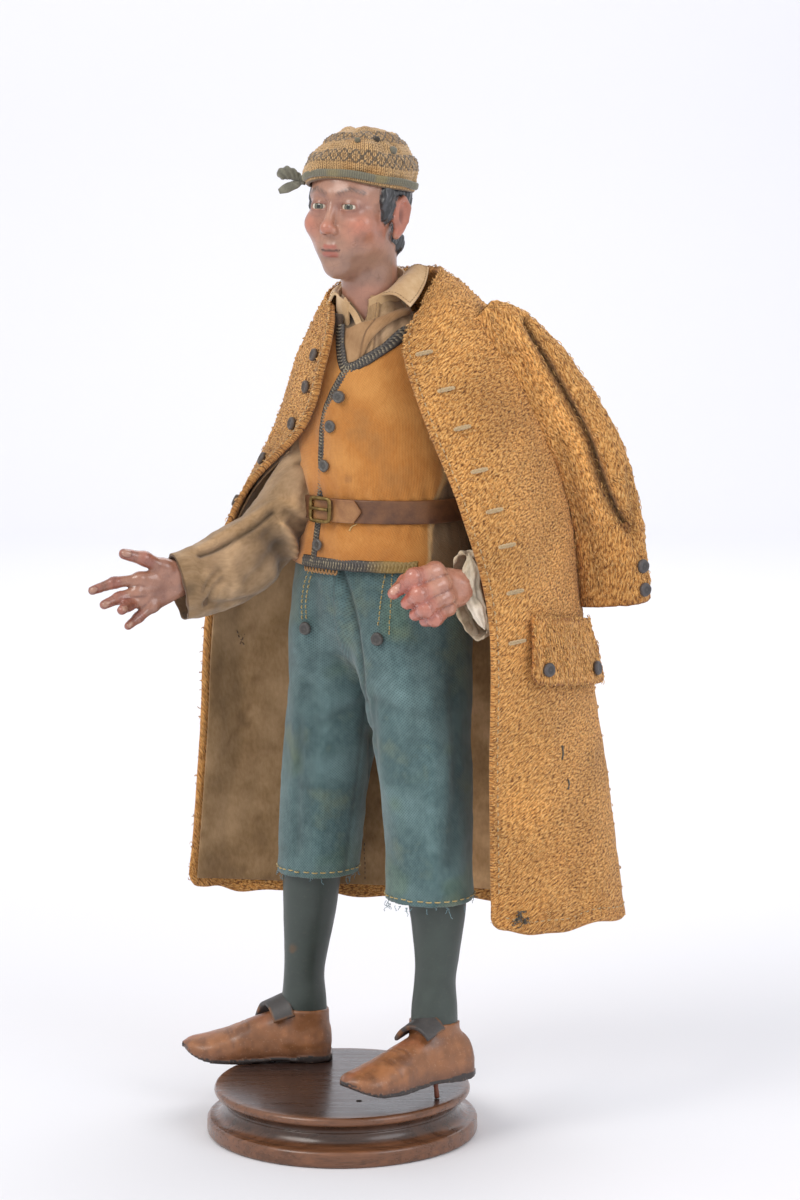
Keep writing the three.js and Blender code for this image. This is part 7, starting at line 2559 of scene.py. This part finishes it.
    # Eyes of painted and varnished paste, set in behind the lids: the varnish gives a sharp highlight
    glossy, tree, shader, where = startMaterial(
        "VarnishedEyePaint", 0.08, Coat_Weight=1.0, Coat_Roughness=0.03
    )
    colour = addNode(tree, "ShaderNodeAttribute", out=0, attribute_name="tone")
    veins = addNode(
        tree, "ShaderNodeTexNoise",
        {"Vector": where.outputs["Object"], "Scale": 1000 / 1.0, "Detail": 3.0, "Roughness": 0.6}, out=0
    )
    tint = addNode(tree, "ShaderNodeValToRGB", {0: veins}, [(0.3, 0.88), (0.7, 1.05)], out=0)
    tree.links.new(
        addNode(
            tree, "ShaderNodeMix", {0: 1.0, 6: colour, 7: tint}, out=2, data_type="RGBA",
            blend_type="MULTIPLY"
        ),
        shader.inputs["Base Color"]
    )
    parts, tones = [], []
    for side in (-1, 1):
        polar = np.concatenate([np.linspace(0.02, 0.62, 22), np.linspace(0.7, 2.2, 20)])
        turn = ringAngles(48)
        aim = unit(np.array([0.10, -0.02, 1.0]))
        right = unit(np.cross([0, 1, 0], aim))
        top = np.cross(aim, right)
        ring = np.cos(turn)[:, None] * right + np.sin(turn)[:, None] * top
        place = np.array([side * eyeMiddle[0], eyeMiddle[1], eyeMiddle[2]])
        rows = place + 4.12 * (np.cos(polar)[:, None, None] * aim + np.sin(polar)[:, None, None] * ring)
        iris = 4.12 * np.sin(polar)
        shade = mix(toneOf(headLook["iris"]), toneOf(headLook["white"]), smooth(1.72, 1.9, iris))
        shade = mix(shade, toneOf("#2e2c24"), bell(iris, 1.72, 0.16))
        shade = mix(shade, toneOf(headLook["pupil"]), smooth(0.86, 0.74, iris))
        spokes = 0.85 + 0.15 * np.sin(turn * 23)[None, :, None]
        shade = shade[:, None] * np.where((iris < 1.75)[:, None, None], spokes, 1.0)
        faces = gridFaces(len(polar), 48, True, flip=facesIn(rows, place, True)).tolist()
        parts.append((fromHead(rows.reshape(-1, 3)), faces))
        tones.append(shade.reshape(-1, 3))
    points, faces, _ = merged(parts)
    finishPiece(
        makePiece("painted_eyes", points, faces, glossy, tones=np.concatenate(tones)), "painted_terracotta"
    )


makeHead()
print("head made")

capLook = {
    "light": "#dbb27c", "dark": "#a97b46", "cross": "#4a4640", "gap": "#523a20", "round": 84, "rows": 27,
    "ribbon": "#77725c", "ribbonDark": "#45443a",
}
capStations = [
    [31.6, 5, 6, -5], [30.4, 10.5, 12.4, -4.6], [26.6, 16, 19, -4.2], [21, 20, 23, -4],
    [14.5, 21.6, 24.4, -4],
    [8.6, 21, 23.8, -3.4],
]


# How much the rim rises over the forehead
def rimRise(angles):
    return 3.0 * np.exp(-(((angles - np.pi / 2) / 0.8) ** 2))


# The cap's points in head coordinates, from the crown (0) to the rim (1)
def capPoints(along, angles, grow):
    found = curve(capStations, np.asarray(along))
    lump = 1 + 0.02 * np.cos(3 * angles + 6 * np.asarray(along)[:, None])
    grow = np.reshape(grow, (-1, 1))
    return np.stack(
        [
            np.cos(angles) * lump * (found[:, 1:2] + grow),
            found[:, :1] + rimRise(angles) * smooth(21, 9, found[:, :1]),
            np.sin(angles) * lump * (found[:, 2:3] + grow) + found[:, 3:],
        ],
        -1,
    )


# Bobbles of wool on the crown: a seen place, a radius in millimetres and a colour
bobbles = [(377, 140, 1.25, "#3a332a"), (392, 151, 1.6, "#6e6a5c"), (357, 141, 1.2, "#66614f")]

# The ribbon's knot, loop and end: a middle line in the head's own frame, radii along it, flatness and colour
bowParts = [
    ([(-18.4, 10.4, 9), (-20.6, 10.8, 9.6)], (1.9, 1.7), 0.9, "#625e4c"),
    (
        [
            (-19.6, 10.6, 9.2), (-22.4, 12.2, 10.2), (-25.6, 13.2, 11.4), (-28.4, 12.4, 12.4),
            (-29.4, 11.8, 12.8),
        ],
        (0.9, 2.0, 2.7, 2.2, 0.5), 0.75, "#6b6857"
    ),
    (
        [(-19.4, 10.0, 9.2), (-22.0, 8.8, 10.2), (-25.4, 7.2, 11.4), (-28.6, 5.6, 12.2)],
        (0.8, 1.7, 1.9, 1.2), 0.28, "#767363"
    ),
]


def makeCap():
    columns, rows = capLook["round"] * 4, 108
    angles = ringAngles(columns)
    crown = np.linspace(0, 1, 12)[:-1]
    top = capPoints(np.zeros(11), angles, 0)
    centre = np.array([0, 32.6, -5.0])
    top = centre + (top - centre) * crown[:, None, None] - np.array([0, 1.0, 0]) * (crown**2)[:, None, None]
    along = np.linspace(0, 1, rows)
    side = capPoints(along, angles, 0)
    turn = np.linspace(0, np.pi, 6)[1:-1]
    rim = capPoints(np.ones(4), angles, -0.8 * (1 - np.cos(turn)))
    rim[..., 1] -= 0.8 * np.sin(turn)[:, None]
    inner = capPoints(1 - np.linspace(0.05, 0.4, 6), angles, -1.7)
    points = np.concatenate([top, side, rim, inner])
    path = np.cumsum(np.linalg.norm(np.diff(points, axis=0, prepend=points[:1]), axis=2), axis=0).mean(1)
    outside = np.arange(len(points)) < 11 + rows
    normals = gridNormals(points, True) * (-1 if facesIn(points[: 11 + rows], (0, 10, -4), True) else 1)
    flip = facesIn(points[: 11 + rows], (0, 10, -4), True)
    # Knitted stitches: two legs of a V in each, rows a little over a millimetre apart
    rowPitch = 1.35
    wander = 0.6 * noise(np.stack([np.cos(angles) * 6, np.sin(angles) * 6, angles * 0], 1), 3)
    rowAt = path[:, None] / rowPitch + wander + 0.12 * np.sin(2 * angles)
    phase = rowAt % 1
    across = (angles * capLook["round"] / (2 * np.pi)) % 1 - 0.5
    leg = np.abs(np.abs(across)[None, :] - (0.08 + 0.28 * phase))
    stitch = np.cos(np.clip(leg / 0.2, 0, 1) * np.pi / 2) * (0.55 + 0.45 * np.sin(np.pi * phase))
    lumps = 1.7 * fractal(points, 12, 3, 8) + 0.5 * fractal(points, 4, 2, 3)
    height = points[..., 1] - rimRise(angles) * smooth(24, 12, points[..., 1])
    fade = np.where(outside, 1, 0)[:, None]
    moved = (
        points + normals * ((0.42 * stitch - 0.15) * fade + lumps * fade * smooth(9, 13, height))[..., None]
    )
    # Darker between the raised stitches: painted shade in the gaps
    tone = mix(toneOf(capLook["gap"]), toneOf(capLook["light"]), smooth(0.0, 0.6, stitch))
    tone = mix(tone, toneOf(capLook["dark"]), 0.55 * smooth(-0.1, 0.9, fractal(points, 7, 2, 5)))
    # Dark crossing stitches in a band above the ribbon and a smaller one round the crown
    for middle, high, period in ((19.2, 6.6, 28), (28.2, 3.6, 22)):
        share = (height - middle) / high + 0.5 + 0.06 * np.sin(3 * angles)
        inBand = smooth(0, 0.06, share) * smooth(1, 0.94, share)
        waves = (angles * period / (2 * np.pi)) % 1
        cross = np.minimum(np.abs(waves - share), np.abs(1 - waves - share))
        cross2 = np.minimum(np.abs((waves + 0.5) % 1 - share), np.abs(1 - (waves + 0.5) % 1 - share))
        dark = np.maximum(smooth(0.13, 0.06, cross), 0.6 * smooth(0.1, 0.05, cross2)) * inBand * fade
        moved = moved + normals * (0.3 * dark)[..., None]
        tone = mix(tone, toneOf(capLook["cross"]), 0.85 * dark)
    # Painted dark inside the cap: painted shade
    tone = mix(tone, toneOf(capLook["gap"]), 0.8 * (1 - fade) * np.ones(columns))
    # Worn cotton knit: matt stitches with painted shade in the gaps between them, from the mesh's tones, and
    # a soft fuzz
    knit, tree, shader, where = startMaterial("KnittedOchreCottonWorn", 0.95, Sheen_Weight=0.3)
    colour = addNode(tree, "ShaderNodeAttribute", out=0, attribute_name="tone")
    fibre = addNode(
        tree, "ShaderNodeTexNoise",
        {"Vector": where.outputs["Object"], "Scale": 1000 / 0.6, "Detail": 3.0, "Roughness": 0.7}, out=0
    )
    tint = addNode(tree, "ShaderNodeValToRGB", {0: fibre}, [(0.3, 0.7), (0.65, 1.25)], out=0)
    base = addNode(
        tree, "ShaderNodeMix", {0: 1.0, 6: colour, 7: tint}, out=2, data_type="RGBA", blend_type="MULTIPLY"
    )
    tree.links.new(base, shader.inputs["Base Color"])
    bumped(tree, shader, fibre, 0.6, 0.15)
    piece = makePiece(
        "knitted_cap", fromHead(moved), gridFaces(len(moved), columns, True, flip=flip), knit, tones=tone
    )
    finishPiece(piece, "knitted_cotton", "cap")
    own = pieceTree(piece)

    # Small bobbles of grey and dark wool
    parts, tones = [], []
    for x, y, radius, colour in bobbles:
        found = seenAt(own, [(x, y)])
        if not found:
            continue
        turn, polar = ringAngles(22), np.linspace(0.05, np.pi - 0.05, 16)
        ball = np.stack(
            [
                np.sin(polar)[:, None] * np.cos(turn), np.sin(polar)[:, None] * np.sin(turn),
                np.cos(polar)[:, None] + 0 * turn
            ],
            -1
        )
        ball = (
            ball * radius * (1 + 0.18 * noise(ball * 4, 3))[..., None] + found[0][0]
            + found[0][1] * radius * 0.3
        )
        faces = gridFaces(16, 22, True, flip=facesIn(ball, ball.mean((0, 1)), True)).tolist()
        parts.append((ball.reshape(-1, 3), faces))
        tones.append(np.broadcast_to(toneOf(colour), (16 * 22, 3)))
    points, faces, _ = merged(parts)
    finishPiece(makePiece("cap_bobbles", points, faces, knit, tones=np.concatenate(tones)), "knitted_cotton")

    # Ribbed ribbon round the rim
    columns, bands = 600, 8
    angles = ringAngles(columns)
    rise = np.linspace(-1.5, 1.5, bands)
    levels = 10.6 - rise
    heights = np.array([s[0] for s in capStations])
    along = np.interp(-levels, -heights, np.linspace(0, 1, 6))
    edge = np.sqrt(np.clip(1 - (rise / 1.55) ** 4, 0, 1))
    rib = 0.16 * np.sin(angles * 150) + 0.12 * noise(np.stack([angles * 12, 0 * angles, 0 * angles], 1), 5)
    points = capPoints(along, angles, 0.45 + 0.75 * edge)
    away = np.stack([np.cos(angles), 0 * angles, np.sin(angles)], -1)
    points = points + away * (rib * edge[:, None])[..., None]
    points[..., 1] = levels[:, None] + rimRise(angles) + 0.25 * np.sin(3 * angles) + 0.15 * np.sin(7 * angles)
    back = capPoints(along[::-1], angles, 0.2 * np.ones(bands))
    back[..., 1] = points[::-1, :, 1]
    points = np.concatenate([points, back])
    # Each rib is painted paler on its crest and darker in its groove: painted highlight and painted shade
    share = 0.5 + 0.5 * np.sin(angles * 150)
    tone = (
        mix(toneOf(capLook["ribbonDark"]), toneOf(capLook["ribbon"]), 0.35 + 0.65 * share)
        * np.ones((2 * bands, 1, 1))
    )
    tone = mix(tone, toneOf("#8c7c4c"), 0.6 * smooth(0, 0.9, fractal(points, 6, 2, 2)))
    # Faded silk ribbon: a dull sheen that breaks on the ribs
    silk, tree, shader, where = startMaterial("RibbedSilkRibbonFaded", 0.6, Sheen_Weight=0.4)
    colour = addNode(tree, "ShaderNodeAttribute", out=0, attribute_name="tone")
    fibre = addNode(
        tree, "ShaderNodeTexNoise",
        {"Vector": where.outputs["Object"], "Scale": 1000 / 0.5, "Detail": 3.0, "Roughness": 0.7}, out=0
    )
    tint = addNode(tree, "ShaderNodeValToRGB", {0: fibre}, [(0.3, 0.75), (0.7, 1.2)], out=0)
    base = addNode(
        tree, "ShaderNodeMix", {0: 1.0, 6: colour, 7: tint}, out=2, data_type="RGBA", blend_type="MULTIPLY"
    )
    tree.links.new(base, shader.inputs["Base Color"])
    bumped(tree, shader, fibre, 0.5, 0.1)
    flip = facesIn(points[:bands], (0, 10, -4), True)
    faces = gridFaces(2 * bands, columns, True, flip=flip).tolist()
    parts = [(points.reshape(-1, 3), faces)]
    tones = [tone.reshape(-1, 3)]
    for line, radii, squash, colour in bowParts:
        t = np.linspace(0, 1, 34)
        path = curve(np.array(line, float), t)
        radius = np.interp(t, np.linspace(0, 1, len(radii)), radii)
        tube, tubeFaces = tubeMesh(path, radius, 28, squash=squash, up=np.array([0.2, 0.1, 1.0]))
        wrinkle = 0.22 * np.sin(11 * np.arctan2(tube[:, 1] - 10, tube[:, 2] - 11) + 1.3 * tube[:, 0])
        grid = tube.reshape(34, 28, 3)
        centre = grid.mean(1, keepdims=True)
        tube = (centre + (grid - centre) * (1 + 0.16 * wrinkle.reshape(34, 28, 1) * 3)).reshape(-1, 3)
        parts.append((tube, tubeFaces))
        # The bow's wrinkles are painted paler where they swell and darker where they sink: painted highlight
        # and painted shade
        tones.append(toneOf(colour) * (0.85 + 0.8 * wrinkle[:, None]))
    points, faces, _ = merged(parts)
    piece = makePiece("ribbed_ribbon", fromHead(points), faces, silk, tones=np.concatenate(tones))
    finishPiece(piece, "ribbon_silk", "cap_ribbon")


makeCap()
print("cap and ribbon made")

handLook = {
    "skin": "#bd8a74", "dark": "#8e5a48", "red": "#b5685a", "nail": "#cfa590", "crease": "#6f4033",
    "step": 0.68
}
hands = {
    "right": {
        "wrist": [(-50, -7, 215.4), (-58, -12, 214.8), (-64, -16.4, 214)],
        "wristRadii": (5.0, 4.5, 4.8),
        "palm": [
            ((-63, -16, 214.6), (-80, -26, 214.5), 3.6, 3.0), ((-63, -16, 213), (-81, -27, 209.6), 3.8, 3.0),
            ((-63, -16, 211.6), (-80, -26.4, 206), 3.8, 2.9),
            ((-62, -15, 210.6), (-76, -25, 203.6), 3.4, 2.7),
            ((-62, -15.4, 215.6), (-71, -21, 218.6), 3.6, 3.9),
        ],
        "fingers": [
            [(-70, -21, 218), (-78, -24.8, 222.6), (-86, -28, 225), 2.9],
            [(-80, -26, 214.5), (-90, -28, 213.4), (-98.6, -30, 210.6), 2.35],
            [(-81, -27, 209.6), (-88, -30, 207.6), (-93.8, -33.6, 205.4), 2.45],
            [(-80, -26.4, 206), (-84.5, -31.6, 204.8), (-86.6, -38, 203.8), 2.4],
            [(-75, -25, 203.6), (-80.5, -29, 199.6), (-84.4, -33.4, 196.8), 2.2],
        ],
        "box": ((-104, -45, 188), (-47, 2, 233)),
        "back": (0.45, -0.85, 0.25),
        "nails": (0, 1, 2, 3, 4),
        # The right hand's tones are darkened as a whole: painted shade
        "shade": (0.69, 0.65, 0.61),
    },
    "left": {
        "wrist": [(60, -29, 211.4), (53, -36, 212.4), (48, -40, 213)],
        "wristRadii": (5.0, 5.2, 5.6),
        "palm": [
            ((49, -39.6, 215), (36.5, -48, 218.6), 4.8, 4.2),
            ((49, -39.6, 213), (37.5, -48, 213.6), 5.0, 4.6),
            ((49, -39.6, 211), (38.5, -48, 209), 4.6, 4.2), ((48, -39, 211), (39.5, -46, 205.8), 4.0, 3.8),
        ],
        "fingers": [
            [(37.0, -49, 220.6), (28.6, -56, 219.4), (23.6, -52.8, 214.6), 3.5],
            [(39.0, -50, 215.6), (30.6, -57.4, 212.8), (26.0, -53.2, 208.8), 3.5],
            [(40.8, -49.6, 210.6), (33.4, -56.6, 207), (29.2, -52.2, 204.0), 3.4],
            [(42.0, -48.2, 206.2), (36.8, -54.2, 202.8), (33.0, -50.2, 201.2), 3.1],
            [(35, -45, 218), (25.6, -49.4, 216.4), (20.6, -53.6, 212.6), 3.2],
        ],
        "box": ((12, -66, 192), (64, -24, 230)),
        "back": (-0.3, -0.9, 0.3),
        "nails": (4,),
        "shade": (1.0, 0.93, 0.9),
    },
}


def makeHand(name, hand):
    def field(p):
        q = p - np.array([0, 0, plinthHeight], np.float32)
        body = chain(q, hand["wrist"], hand["wristRadii"])
        for start, end, ra, rb in hand["palm"]:
            body = smoothJoin(body, rod(q, start, end, ra, rb), 2.2)
        fingers = None
        for root, joint, tip, radius in hand["fingers"]:
            root, joint, tip = (np.array(s, float) for s in (root, joint, tip))
            middle = joint + (tip - joint) * 0.5
            finger = chain(
                q, [root, joint, middle, tip], (radius * 0.98, radius, radius * 0.9, radius * 0.78)
            )
            finger = smoothJoin(finger, egg(q, joint, (radius * 1.12,) * 3), 0.8)
            knuckle = egg(q, root, (radius * 1.22,) * 3)
            finger = smoothJoin(finger, knuckle, 1.0)
            fingers = finger if fingers is None else smoothJoin(fingers, finger, 0.5)
        return smoothJoin(body, fingers, 1.5)

    low, high = (np.array(s, float) + upward * plinthHeight for s in hand["box"])
    points, quads = fieldMesh(field, low, high, handLook["step"])
    points = relaxed(points, quads, 1)
    normals = vertexNormals(points, quads)
    q = points - upward * plinthHeight
    tone = np.broadcast_to(toneOf(handLook["skin"]), points.shape)
    rough = fractal(points, 6, 3, 5)
    tone = mix(tone, toneOf(handLook["dark"]), 0.6 * smooth(-0.1, 0.8, rough))
    change = 0.07 * rough
    # Painted shade in the grooves between the fingers
    apart = np.sort(
        [chain(q, np.array(line, float), (radius,) * 3) for *line, radius in hand["fingers"]], axis=0
    )
    groove = bell(apart[1] - apart[0], 0, 0.5) * smooth(2.5, 0.8, apart[0])
    tone = mix(tone, toneOf(handLook["crease"]), 0.75 * groove)
    for index, (root, joint, tip, radius) in enumerate(hand["fingers"]):
        root, joint, tip = (np.array(s, float) for s in (root, joint, tip))
        past = unit(tip - joint)
        tone = mix(
            tone, toneOf(handLook["red"]), 0.6 * smooth(radius * 2.4, radius, np.linalg.norm(q - tip, axis=1))
        )
        tone = mix(
            tone, toneOf(handLook["red"]),
            0.55 * smooth(radius * 1.9, radius, np.linalg.norm(q - joint, axis=1))
        )
        # Creases at the joints and a nail on the back of each tip; the creases and the groove round each nail
        # are painted dark: painted shade
        for place, heading in ((joint, unit(joint - root)), (joint + (tip - joint) * 0.5, past)):
            ring = np.abs((q - place) @ heading)
            close = smooth(radius * 1.7, radius * 1.2, np.linalg.norm(q - place, axis=1))
            line = bell(ring, 0.5, 0.28) * close
            change = change - 0.14 * line
            tone = mix(tone, toneOf(handLook["crease"]), 0.4 * line)
        if index not in hand["nails"]:
            continue
        away = unit(np.array(hand["back"]) - past * (np.array(hand["back"]) @ past))
        nail = tip + away * radius * 0.55 - past * 0.3
        side = np.cross(past, away)
        local = np.stack([(q - nail) @ side / (radius * 0.55), (q - nail) @ past / (radius * 0.75)], -1)
        shape = np.linalg.norm(local, axis=1)
        onBack = ((q - nail) @ away > -0.4) & (np.linalg.norm(q - nail, axis=1) < 1.3 * radius)
        change = change + np.where(onBack, 0.16 * smooth(1.0, 0.8, shape) - 0.14 * bell(shape, 1.08, 0.12), 0)
        tone = mix(tone, toneOf(handLook["nail"]), 0.7 * smooth(1.0, 0.85, shape) * onBack)
        tone = mix(tone, toneOf(handLook["crease"]), 0.6 * bell(shape, 1.08, 0.13) * onBack)
    points = points + normals * change[:, None]
    piece = makePiece(f"painted_hand_{name}", points, quads, handPaint, tones=tone * hand["shade"])
    finishPiece(piece, "painted_hand", f"hand_{name}")


handPaint = painted("GlossFleshPaintOverWood", 0.27, 0.7, 6, "#d9ab96", 0.15, 0.05)
for handName, hand in hands.items():
    makeHand(handName, hand)
print("hands made")
